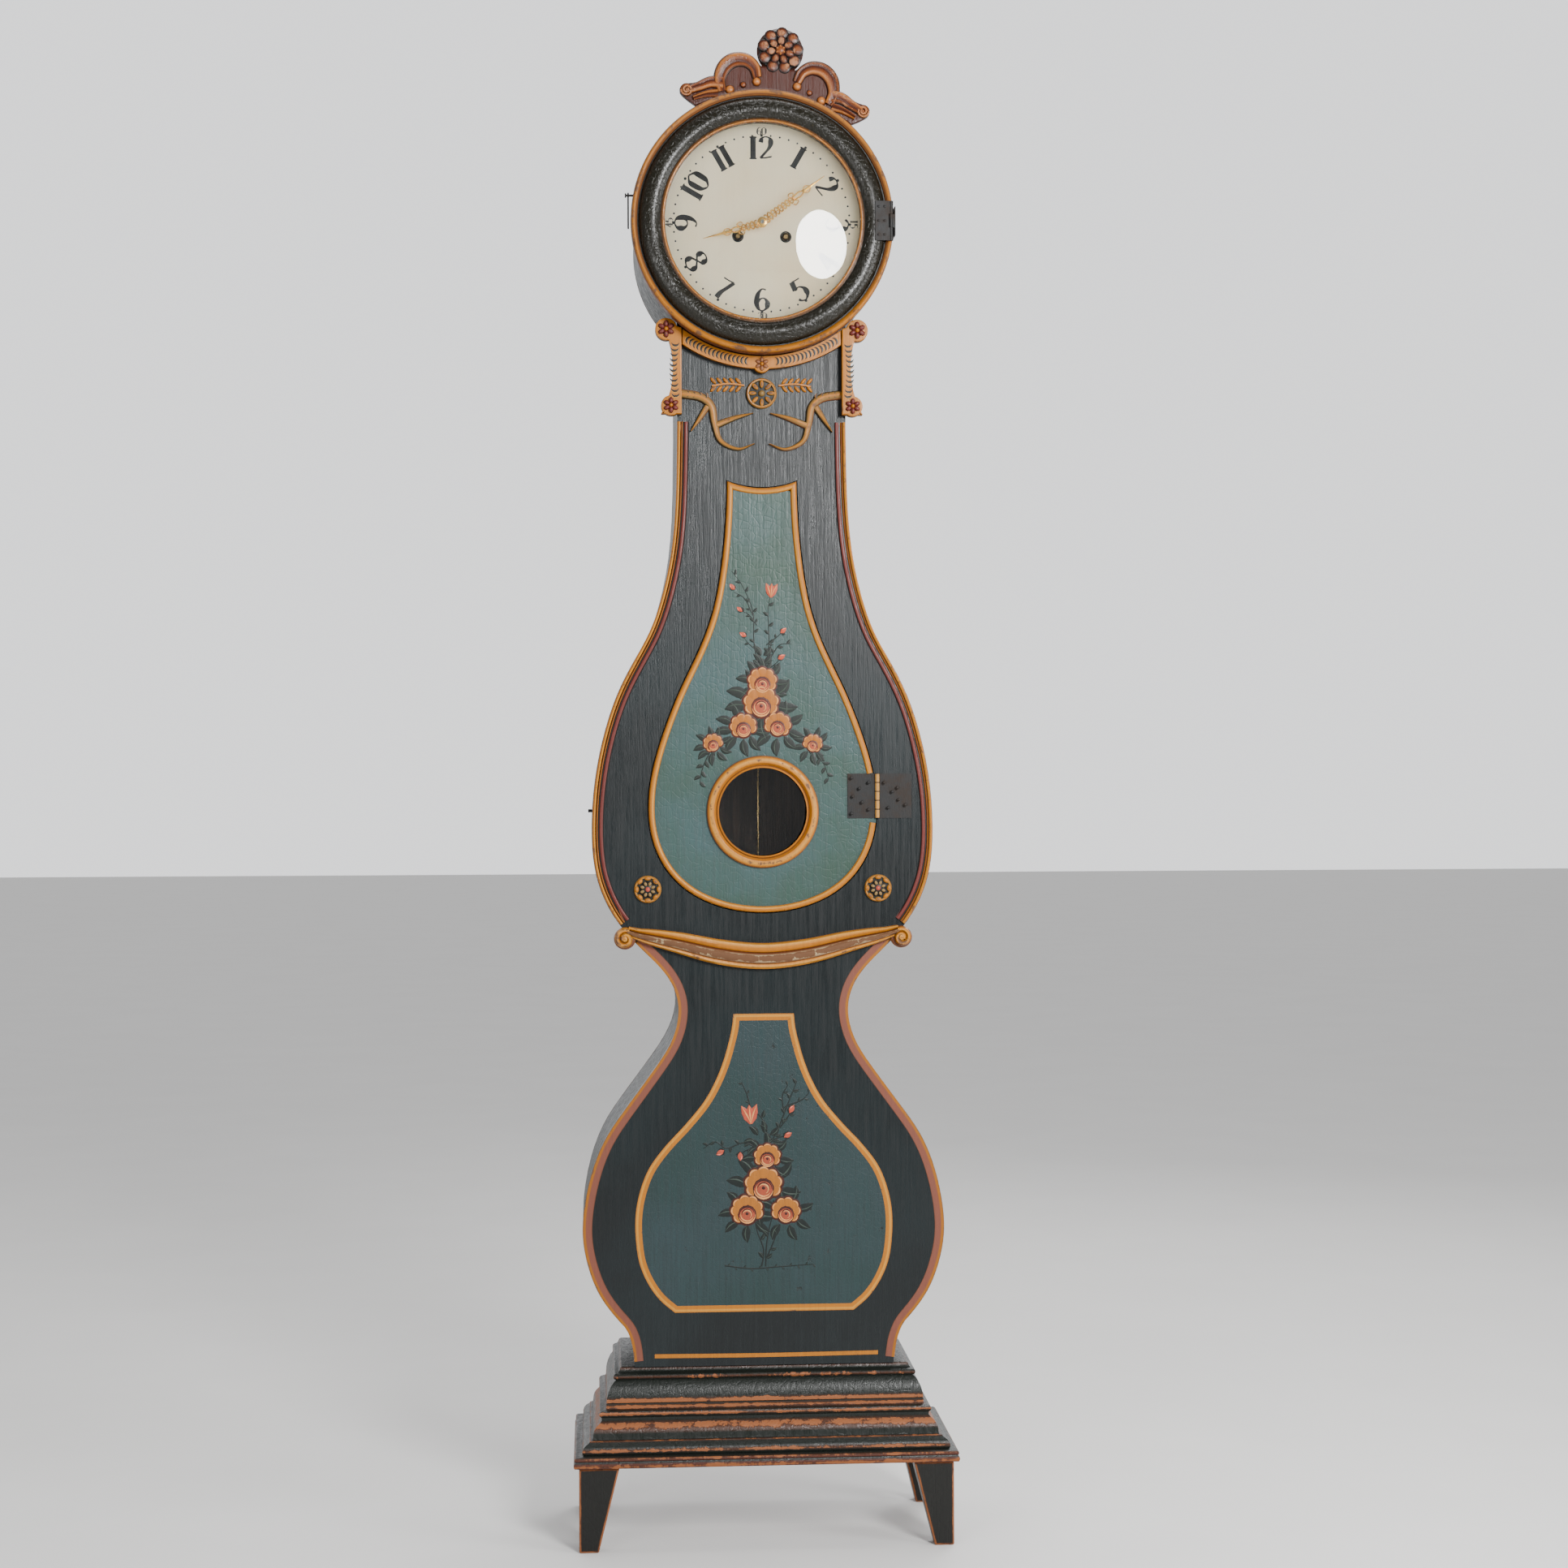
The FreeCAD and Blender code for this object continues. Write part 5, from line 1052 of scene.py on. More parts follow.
def rose(bm, x, z, size, y, ochre, heart, deep, pale, turn=0.0):
    """A painted rose: a fan of ochre petals behind a pink heart with comma strokes."""
    lift = sizes().paint
    for k in range(7):
        a = math.radians(turn - 120.0 + 40.0 * k)
        spot = (x + 0.62 * size * math.sin(a), z + 0.08 * size + 0.56 * size * math.cos(a))
        up = (1.2 + 0.35 * (3 - abs(k - 3))) * lift
        domed(bm, spot, 0.42 * size, up, y, plain(deep), 14)
        domed(bm, spot, 0.37 * size, up + 0.5 * lift, y, ((ochre, 0.0), (ochre, 0.0), (deep, 0.0)), 14)
        path = arc_points(spot, 0.25 * size, math.degrees(a) - 60.0, math.degrees(a) + 60.0, 8)
        stroke(bm, path, (0.02 * size, 0.06 * size, 0.1 * size, 0.06 * size, 0.02 * size),
               y - up - 0.6 * lift,
               pale)
    low = z - 0.16 * size
    domed(bm, (x, low), 0.64 * size, 3.0 * lift, y, plain(deep), 20)
    domed(bm, (x, low), 0.57 * size, 3.4 * lift, y, ((heart, 0.0), (heart, 0.0), (deep, 0.0)), 20)
    for radius, start, end in ((0.47, 100.0, 262.0), (0.36, 120.0, 300.0), (0.24, -60.0, 150.0)):
        path = arc_points((x, low), radius * size, turn + start, turn + end, 10)
        stroke(bm, path, (0.02 * size, 0.07 * size, 0.1 * size, 0.06 * size, 0.02 * size),
               y - 3.7 * lift, pale)
    for radius in (0.42, 0.3):
        path = arc_points((x, low), radius * size, turn - 80.0, turn + 90.0, 8)
        stroke(bm, path, (0.02 * size, 0.08 * size, 0.02 * size), y - 3.7 * lift, deep)
    domed(bm, (x, low + 0.05 * size), 0.14 * size, 4.4 * lift, y, plain(deep), 10)


def bud(bm, x, z, size, y, tint, leaf, angle=0.0):
    """A bud with its pale tip."""
    a = math.radians(angle)
    lift = sizes().paint
    tip = Vector((math.sin(a), math.cos(a)))
    side = Vector((tip.y, -tip.x))
    here = Vector((x, z))
    stroke(bm, curve(here - tip * 0.9 * size, here, here + tip * size, step=2.0),
           (0.1 * size, 1.15 * size, 1.0 * size, 0.1 * size), y - lift, tint)
    pale = tuple(min(1.0, 1.9 * c + 0.06) for c in tint)
    stroke(bm, curve(here - side * 0.35 * size - tip * 0.2 * size,
                     here - side * 0.3 * size + tip * 0.4 * size,
                     here + tip * 0.9 * size, step=2.0), (0.02, 0.3 * size, 0.05), y - 2.0 * lift, pale)
    for s in (-1.0, 1.0):
        stroke(bm, curve(here - tip * size, here - tip * 0.5 * size + side * s * 0.62 * size,
                         here + tip * 0.2 * size + side * s * 0.7 * size, step=2.0),
               (0.1, 0.32 * size, 0.05), y - 1.5 * lift, leaf)


def leaf(bm, spot, angle, length, y, tint, light):
    """A small pointed leaf with a pale stroke; angle is clockwise from the top."""
    a = math.radians(angle)
    tip = Vector((math.sin(a), math.cos(a)))
    side = Vector((tip.y, -tip.x))
    here = Vector(spot)
    path = curve(here, here + tip * 0.5 * length + side * 0.1 * length, here + tip * length, step=3.0)
    stroke(bm, path, (0.08 * length, 0.46 * length, 0.5 * length, 0.36 * length, 0.02 * length), y,
           tint, 0.16)
    stroke(bm, [p + side * 0.06 * length for p in path], (0.1, 0.07 * length, 0.1), y - 0.14, light, 0.1)


def leafy(bm, path, width, every, length, y, tint, light, first=1):
    """A stem with leaves on alternate sides."""
    line = curve(*path, step=4.0)
    stroke(bm, line, (width, 0.9 * width, 0.5 * width), y, tint, 0.16)
    walked, side = 0.6 * every, first
    for a, b in zip(line, line[1:]):
        walked += (b - a).length
        if walked >= every:
            walked, side = 0.0, -side
            way = math.degrees(math.atan2((b - a).x, (b - a).y))
            leaf(bm, b, way + side * 52.0, length, y, tint, light)


def stems_of(bm, stems, width, y, tint, light):
    """Leafy stems; the first leaf changes side from stem to stem."""
    for k, (path, every, length) in enumerate(stems):
        leafy(bm, path, width, every, length, y, tint, light, 1 if k % 2 else -1)


def fans_of_leaves(bm, clumps, count, turn, cycle, foot, sway, share, y, tint, light):
    """Rings of leaves behind the roses.

    foot and share are shares of a ring's reach: where its leaves start, and their length.
    """
    for x, z, reach in clumps:
        for k in range(count):
            angle = 360.0 / count * k + turn * (x % cycle)
            a = math.radians(angle)
            start = (x + foot * reach * math.sin(a), z + foot * reach * math.cos(a))
            leaf(bm, start, angle + sway * (k % 3 - 1), share * reach + 5.0, y, tint, light)


class CLOCK_OT_upper_flowers(bpy.types.Operator):
    """Painted bouquet on the trunk door"""
    bl_idname = "clock.upper_flowers"
    bl_label = "Upper flowers"

    def execute(self, context):
        green, light = (0.005, 0.008, 0.006), (0.022, 0.034, 0.024)
        ochre, heart = (0.29, 0.092, 0.008), (0.27, 0.05, 0.02)
        deep, pale = (0.05, 0.008, 0.004), (0.5, 0.21, 0.06)
        bud_red = (0.34, 0.05, 0.02)
        y = FACE - 0.05
        bm = new_mesh()
        stems = [(((-2, 1300), (-12, 1350), (-14, 1400), (-30, 1440), (-46, 1462)), 13, 9),
                 (((-14, 1395), (-26, 1420), (-42, 1430)), 12, 8),
                 (((-6, 1340), (-20, 1352), (-28, 1362)), 10, 8),
                 (((2, 1300), (10, 1350), (9, 1400), (12, 1424)), 12, 10),
                 (((6, 1350), (22, 1362), (30, 1370)), 10, 8), (((4, 1310), (20, 1322), (28, 1330)), 9, 9),
                 (((-8, 1380), (-20, 1396), (-32, 1402)), 10, 8),
                 (((12, 1330), (26, 1350), (44, 1352)), 12, 9),
                 (((-70, 1205), (-84, 1180), (-92, 1160), (-95, 1140)), 8, 12),
                 (((70, 1205), (84, 1182), (94, 1168), (100, 1148)), 8, 11)]
        stems_of(bm, stems, 1.8, y, green, light)
        clump = [(0, 1292, 34), (-2, 1262, 48), (-30, 1224, 36), (23, 1225, 36), (-75, 1198, 24),
                 (75, 1198, 24)]
        fans_of_leaves(bm, clump, count=9, turn=11.0, cycle=7, foot=0.45, sway=9.0, share=0.62,
                       y=y, tint=green, light=light)
        for z in (1310, 1322, 1334):
            for side in (-1, 1):
                leaf(bm, (side * 2.0, z), side * 38.0, 19.0, y, green, light)
        for x, z, size, turn in ((-75, 1201, 16, -30), (76, 1200, 16, 25), (0, 1294, 24, 0),
                                 (-29, 1226, 22, -14), (23, 1228, 22, 14), (-2, 1261, 29, 0)):
            rose(bm, x, z, size, y - 0.1, ochre, heart, deep, pale, turn)
        for x, z, size, angle in ((-45, 1438, 6, -40), (-34, 1404, 5.5, -50), (-29, 1366, 6, -60),
                                  (32, 1372, 6, 50), (29, 1332, 6.5, 60)):
            bud(bm, x, z, size, y - 0.1, bud_red, green, angle)
        tulip(bm, 14, 1432, 14, y - 0.1, bud_red, pale, 4)
        piece("upper_flowers", bm, "brush_strokes", "trunk_door")
        return {"FINISHED"}


def tulip(bm, x, z, size, y, red, pale, angle):
    """A bell of three petals which opens upwards."""
    a = math.radians(angle)
    tip = Vector((math.sin(a), math.cos(a)))
    side = Vector((tip.y, -tip.x))
    here = Vector((x, z))
    for s in (-1.0, 1.0, 0.0):
        end = here + tip * 0.8 * size + side * s * 0.62 * size
        path = curve(here - tip * 0.7 * size, here + side * s * 0.24 * size, end, step=2.0)
        stroke(bm, path, (0.2 * size, 0.7 * size, 0.6 * size, 0.05 * size), y - 0.1 * (1.0 - abs(s)), red)
        stroke(bm, path, (0.1, 0.13 * size, 0.1), y - 0.45, pale, 0.1)


class CLOCK_OT_lower_flowers(bpy.types.Operator):
    """Painted bouquet on the lower panel"""
    bl_idname = "clock.lower_flowers"
    bl_label = "Lower flowers"

    def execute(self, context):
        green, light = (0.005, 0.008, 0.007), (0.03, 0.045, 0.035)
        ochre, heart = (0.27, 0.092, 0.01), (0.24, 0.045, 0.02)
        deep, pale = (0.03, 0.006, 0.004), (0.48, 0.21, 0.07)
        bud_red = (0.3, 0.05, 0.025)
        y = FACE - 0.16
        bm = new_mesh()
        stems = [(((2, 411), (3, 440), (8, 470), (14, 490)), 30, 12),
                 (((-4, 411), (-1, 436), (-10, 462), (-16, 486)), 28, 12),
                 (((4, 425), (14, 448), (22, 470)), 22, 10),
                 (((-60, 413), (-20, 408), (20, 410), (74, 413)), 9, 6),
                 (((2, 590), (4, 620), (-8, 640), (-20, 640)), 18, 13),
                 (((6, 590), (22, 620), (34, 650), (50, 690)), 11, 10),
                 (((10, 600), (24, 606), (36, 608)), 14, 10), (((24, 620), (36, 636), (42, 646)), 12, 9),
                 (((-4, 586), (-30, 598), (-56, 590), (-74, 600), (-92, 590)), 12, 9),
                 (((-14, 590), (-28, 586), (-35, 580)), 12, 8), (((40, 655), (58, 662), (68, 672)), 8, 8),
                 (((-20, 650), (-26, 672), (-34, 690)), 14, 7), (((30, 645), (28, 668), (36, 684)), 9, 8)]
        stems_of(bm, stems, 2.2, y, green, light)
        clump = [(5, 574, 34), (-1, 530, 50), (-25, 492, 38), (32, 491, 38), (0, 600, 26)]
        fans_of_leaves(bm, clump, count=8, turn=13.0, cycle=5, foot=0.5, sway=8.0, share=0.55,
                       y=y, tint=green, light=light)
        for x, z, size, turn in ((5, 576, 22, 0), (-26, 494, 27, -12), (33, 493, 24, 12), (-1, 533, 31, 0)):
            rose(bm, x, z, size, y - 0.1, ochre, heart, deep, pale, turn)
        for x, z, size, angle in ((42, 648, 7, 30), (36, 609, 7, 60), (-66, 584, 7, -120),
                                  (-36, 578, 7, 180)):
            bud(bm, x, z, size, y - 0.1, bud_red, green, angle)
        tulip(bm, -21, 640, 19, y - 0.1, bud_red, pale, -6)
        piece("lower_flowers", bm, "brush_strokes", "case")
        return {"FINISHED"}


class CLOCK_OT_porthole(bpy.types.Operator):
    """Gilded ring round the porthole and its dark sleeve"""
    bl_idname = "clock.porthole"
    bl_label = "Porthole"

    def execute(self, context):
        c = colours()
        gold, cream = tuple(c.gold), tuple(c.cream)
        brown, dark = (0.16, 0.06, 0.025), tuple(c.black)
        front, back = FACE - 8.0, FACE
        bm = new_mesh()
        profile = [(PORT_R, FACE + 12.0), (PORT_R, FACE - 2.5), (66.6, FACE - 4.0), (69.0, FACE - 3.0),
                   (70.4, FACE - 1.2), (71.2, FACE - 3.0), (74.0, front + 0.8), (78.5, front),
                   (82.4, front + 1.4), (84.6, front + 4.4), (85.0, back), (69.7, back),
                   (69.7, FACE + 12.0), (PORT_R, FACE + 12.0)]
        # Painted light on the ring: the cream on its crown is a painted highlight; brown in its groove and
        # down its outer foot is painted shade.
        tints = [(dark, 0), (dark, 0.2), (gold, 0.3), (gold, 0.5), (brown, 0.2), (gold, 0.3), (gold, 0.4),
                 (cream, 0.6), (gold, 0.4), (brown, 0.4), (brown, 0.2), (dark, 0), (dark, 0), (dark, 0)]
        lathe(bm, profile, (0.0, 0.0, PORT_Z), tints, steps=112)
        piece("porthole_ring_look", bm, "tinted_paint", "trunk_door", ("porthole_ring",))
        return {"FINISHED"}


# ---- carvings ------------------------------------------------------------------------
def crescent(bm, spot, angle, size, y, dark, pale):
    """A gouge drawn flat: a dark stroke of painted shade for its hollow, and a pale stroke of painted
    highlight on its lip; its back points along angle, clockwise from the top.
    """
    path = arc_points(spot, size, angle - 72.0, angle + 72.0, 8)
    stroke(bm, path, (0.1 * size, 0.42 * size, 0.6 * size, 0.42 * size, 0.1 * size), y, dark, 0.12)
    path = arc_points(spot, 1.34 * size, angle - 50.0, angle + 50.0, 8)
    stroke(bm, path, (0.04 * size, 0.14 * size, 0.2 * size, 0.14 * size, 0.04 * size), y, pale, 0.3)


class CLOCK_OT_carvings(bpy.types.Operator):
    """Belly rosettes, neck carving, brackets and frieze"""
    bl_idname = "clock.carvings"
    bl_label = "Carvings"

    def execute(self, context):
        c = colours()
        gold, cream, red = tuple(c.gold), tuple(c.cream), tuple(c.red)
        brown, dark = (0.16, 0.06, 0.025), tuple(c.black)
        khaki = (0.17, 0.1, 0.03)
        bright = (0.3, 0.05, 0.03)
        low, high = node_box("belly_rosettes")
        bm = new_mesh()
        for side in (-1, 1):
            spot = (side * (high.x - 20.7), 0.5 * (low.z + high.z))
            self.rosette(bm, spot, 20.7, FACE, 8.0, khaki, gold, dark, bright, petals=8,
                         scalloped=True)
        piece("belly_rosettes_look", bm, "tinted_paint", "case", ("belly_rosettes",))

        bm = new_mesh()
        self.rosette(bm, (0.0, NECK_Z), 23.0, FACE, 11.5, khaki, gold, dark, khaki, petals=8,
                     scalloped=False)
        for side in (-1, 1):
            self.antler(bm, side, NECK_Z, khaki, gold, brown)
            self.sprig(bm, side, NECK_Z + 13.0, gold, brown)
        piece("neck_carving_look", bm, "tinted_paint", "case", ("neck_carving",))
        self.brackets(gold, cream, red, brown, dark)
        self.frieze(gold, cream, brown, dark)
        return {"FINISHED"}

    def rosette(self, bm, spot, r, y, rise, rim, pale, dark, heart, petals, scalloped):
        """A round rosette in a raised rim, with a scalloped edge or with rays."""
        centre = (spot[0], 0.0, spot[1])
        # Painted light: the rim's crown takes the pale tint as a painted highlight; the petals run from dark
        # at their feet, painted shade, to pale on top, painted highlight.
        profile = [(r, y), (r, y - 0.4 * rise), (0.93 * r, y - 0.62 * rise), (0.84 * r, y - 0.6 * rise),
                   (0.78 * r, y - 0.3 * rise), (0.4 * r, y - 0.32 * rise), (0.001, y - 0.4 * rise)]
        lathe(bm, profile, centre, [(dark, 0.2), (rim, 0.4), (pale, 0.5), (rim, 0.3), (dark, 0.1),
                                    (dark, 0.0), (dark, 0.0)], steps=48)
        if scalloped:
            ring_of(bm, petals, 0.8 * r, 0.52 * r, 0.36 * r, 0.8 * rise, spot, y - 0.1 * rise,
                    ((dark, 0.1), (rim, 0.3), (pale, 0.4), (pale, 0.6)))
            domed(bm, spot, 0.66 * r, 0.75 * rise, y, plain(dark), 32)
            ring_of(bm, petals, 0.42 * r, 0.26 * r, 0.36 * r, 0.2 * rise, spot, y - 0.7 * rise,
                    ((dark, 0.0), (dark, 0.1), (rim, 0.1)), start=math.pi / petals)
        else:
            ring_of(bm, petals, 0.62 * r, 0.28 * r, 0.6 * r, 0.5 * rise, spot, y - 0.3 * rise,
                    ((dark, 0.0), (rim, 0.2), (pale, 0.5), (pale, 0.7)))
        domed(bm, spot, 0.25 * r, 0.98 * rise, y, ((heart, 0.2), (heart, 0.2), (dark, 0.0)))

    def antler(self, bm, side, z, khaki, gold, brown):
        dark = (0.03, 0.018, 0.008)
        # Painted light across the antler: khaki on one flank and brown on the other are its lit and shaded
        # sides, gold on its crown is a painted highlight, and dark at its feet is painted shade.
        rise = [(-5.8, 0.0, dark, 0.1), (-5.2, 3.6, dark, 0.2), (-3.4, 6.8, khaki, 0.4),
                (-0.5, 7.9, gold, 0.5), (3.0, 7.0, khaki, 0.5), (5.2, 4.4, brown, 0.3),
                (5.8, 0.0, dark, 0.1)]
        shapes = [(((121, -1), (92, -6), (76, -20), (71, -46), (62, -72), (36, -84), (11, -76)), 1.12),
                  (((68, -48), (40, -37), (13, -30)), 0.85), (((82, -20), (95, -40), (107, -58)), 0.8)]
        for path, grow in shapes:
            points = smooth_line([Vector((side * a, z + b)) for a, b in path], 4.0)
            banded(bm, points, [(a * grow, r, t, w) for a, r, t, w in rise], FACE,
                   sizes_at=lambda t: 1.1 - 0.98 * t ** 1.8)
        # Gouges drawn as painted shade, with a painted highlight on each lip.
        for k in range(4):
            crescent(bm, (side * (114.0 - 9.0 * k), z - 2.0 - 0.8 * k), -90.0 * side, 4.4, FACE - 7.2,
                     dark, gold)

    def sprig(self, bm, side, z, gold, brown):
        stem = [Vector((side * 26.0, z - 1.0)), Vector((side * 50.0, z + 1.5)),
                Vector((side * 75.0, z - 2.0))]
        # Painted light: the stem is gold on its crown and brown at its feet, and each leaf is brown at its
        # foot and gold on top: painted shade below, painted highlight above.
        banded(bm, smooth_line(stem, 3.0), [(-1.4, 0, brown, 0.2), (-1.2, 3.6, gold, 0.3),
                                            (1.2, 3.6, gold, 0.3),
                                            (1.4, 0, brown, 0.2)], FACE)
        for k in range(5):
            x = side * (32.0 + 9.5 * k)
            for up in (-1, 1):
                angle = math.radians(90.0 * side - up * side * 48.0)
                petal(bm, (x + side * 3.0, z + up * 6.0), angle, 5.0, 12.5, 4.4, FACE,
                      ((brown, 0.2), (gold, 0.3), (gold, 0.5), (gold, 0.6)))

    def brackets(self, gold, cream, red, brown, dark):
        for side, node in ((-1, "bracket_left"), (1, "bracket_right")):
            loop = flat_loops(node, True)[0]
            bm = new_mesh()
            carved_plate(bm, loop, FACE, 18.0, gold, gold, dark)
            self.flower(bm, (side * 144.0, 1824.0), 15.5, FACE - 14.0, 11.0, gold, red, brown)
            self.flower(bm, (side * 137.0, 1709.5), 14.2, FACE - 14.0, 11.0, gold, red, brown)
            # Gouges drawn as painted shade, with a painted highlight on each lip.
            for k in range(11):
                z = 1729.0 + 7.6 * k
                x = side * (131.5 + 2.0 * math.cos(0.06 * (z - 1767.0)))
                crescent(bm, (x, z), 180.0, 6.0, FACE - 18.0, dark, cream)
            piece(node + "_look", bm, "tinted_paint", "case", (node,))

    def flower(self, bm, spot, radius, y, rise, gold, red, brown):
        deep = tuple(0.5 * v for v in red)
        # Painted shade: brown round the feet of the domes and deep red at the feet of the petals.
        domed(bm, spot, radius, 0.45 * rise, y, ((brown, 0.2), (gold, 0.5), (brown, 0.4)), 32)
        ring_of(bm, 6, 0.5 * radius, 0.5 * radius, 0.72 * radius, 0.5 * rise, spot, y - 0.32 * rise,
                ((deep, 0.1), (deep, 0.2), (red, 0.3), (red, 0.5)))
        domed(bm, spot, 0.27 * radius, rise, y, ((gold, 0.4), (gold, 0.3), (brown, 0.2)), 20)

    def frieze(self, gold, cream, brown, dark):
        loop = flat_loops("frieze", True)[0]
        bm = new_mesh()
        carved_plate(bm, loop, FACE, 14.5, gold, gold, dark)
        span = math.degrees(math.asin(110.0 / FRIEZE_R))
        # Gouges drawn as painted shade, with a painted highlight on each lip.
        for side in (-1, 1):
            for k in range(16):
                a = math.radians(side * (5.2 + (span - 6.0) * k / 15.0))
                spot = (FRIEZE_R * math.sin(a), HOOD_Z - FRIEZE_R * math.cos(a))
                crescent(bm, spot, math.degrees(-a) + 90.0 * side, 6.2, FACE - 14.5, dark, cream)
        self.flower(bm, (0.0, 1773.0), 13.0, FACE - 9.0, 10.6, gold, brown, dark)
        piece("frieze_look", bm, "tinted_paint", "case", ("frieze",))


# ---- hood ----------------------------------------------------------------------------
class CLOCK_OT_hood(bpy.types.Operator):
    """Hood moulding, glazed door and its bowed glass"""
    bl_idname = "clock.hood"
    bl_label = "Hood"

    def execute(self, context):
        c = colours()
        gold = tuple(c.gold)
        brown, ochre, black = (0.085, 0.024, 0.012), (0.2, 0.08, 0.018), (0.006, 0.006, 0.004)
        low, high = node_box("hood_moulding")
        front = low.y
        centre = (0.0, 0.0, HOOD_Z)
        bm = new_mesh()
        profile = [(150.0, high.y), (197.0, high.y), (197.0, front + 10.0), (196.8, front + 4.0),
                   (195.4, front + 1.2), (193.0, front), (190.6, front + 1.0), (189.2, front + 3.6),
                   (188.4, front + 4.2), (187.6, front + 6.4), (187.0, front + 8.0),
                   (150.0, front + 8.0), (150.0, high.y)]
        tints = [(black, 0), (brown, 0.2), (brown, 0.3), (brown, 0.5), (ochre, 0.6), (gold, 0.6),
                 (ochre, 0.5), (brown, 0.3), (ochre, 0.4), (brown, 0.3), (black, 0), (black, 0),
                 (black, 0)]
        lathe(bm, profile, centre, tints, steps=160)
        self.gild(bm, gold)
        piece("hood_moulding_look", bm, "tinted_paint", "case", ("hood_moulding",))

        low, high = node_box("hood_door_ring")
        near, back = low.y, high.y
        deep = (0.008, 0.007, 0.004)
        bm = new_mesh()
        profile = [(146.0, back), (146.0, near + 7.0), (146.6, near + 4.6), (148.4, near + 3.4),
                   (150.4, near + 3.6), (152.0, near + 5.0), (153.4, near + 5.6), (155.0, near + 4.6),
                   (157.5, near + 2.4), (161.5, near + 0.7), (166.0, near), (170.5, near + 0.3),
                   (175.0, near + 1.6), (179.0, near + 3.9), (182.4, near + 7.0), (184.6, near + 10.4),
                   (185.5, back), (146.0, back)]
        bead = (0.07, 0.03, 0.01)
        tints = [(black, 0), (bead, 0.2), (bead, 0.4), (gold, 0.5), (bead, 0.4), (bead, 0.2), (black, 0.1),
                 (deep, 0.1), (deep, 0), (deep, 0), (deep, 0), (deep, 0), (deep, 0), (deep, 0.1), (deep, 0.2),
                 (black, 0.2), (black, 0), (black, 0)]
        lathe(bm, profile, centre, tints, steps=160)
        piece("hood_door_ring_look", bm, "hood_dark", "hood_door", ("hood_door_ring",))

        low, high = node_box("hood_glass")
        radius, rise = 145.9, high.y - low.y - 1.6
        bm = new_mesh()
        rows = []
        for depth, steps in ((0.05, range(17)), (1.55, range(16, -1, -1))):
            for k in steps:
                r = radius * k / 16.0
                rows.append((max(r, 0.001), low.y + depth + rise * (r / radius) ** 2))
        lathe(bm, rows, centre, [((1, 1, 1), 0.0)] * len(rows), steps=128)
        piece("hood_glass_look", bm, "glass", "hood_door", ("hood_glass",), smooth=60.0)
        return {"FINISHED"}

    def gild(self, bm, gold):
        """The lower part of the moulding keeps more of its gold."""
        layer = bm.verts.layers.float_color["tint"]
        for v in bm.verts:
            below = (HOOD_Z - v.co.z / MM) / HOOD_R
            if below > 0.35 and v.co.y / MM < -119.0:
                t = min(1.0, (below - 0.35) / 0.35)
                old = v[layer]
                v[layer] = tinted(tuple(a + (b - a) * 0.8 * t for a, b in zip(old[:3], gold)), old[3])


# ---- crest ---------------------------------------------------------------------------
def leaned(x, up):
    """A point of the crest, which leans clockwise about the hood's centre."""
    across, above = math.sin(CREST_LEAN), math.cos(CREST_LEAN)
    return Vector((x * above + up * across, HOOD_Z - x * across + up * above))


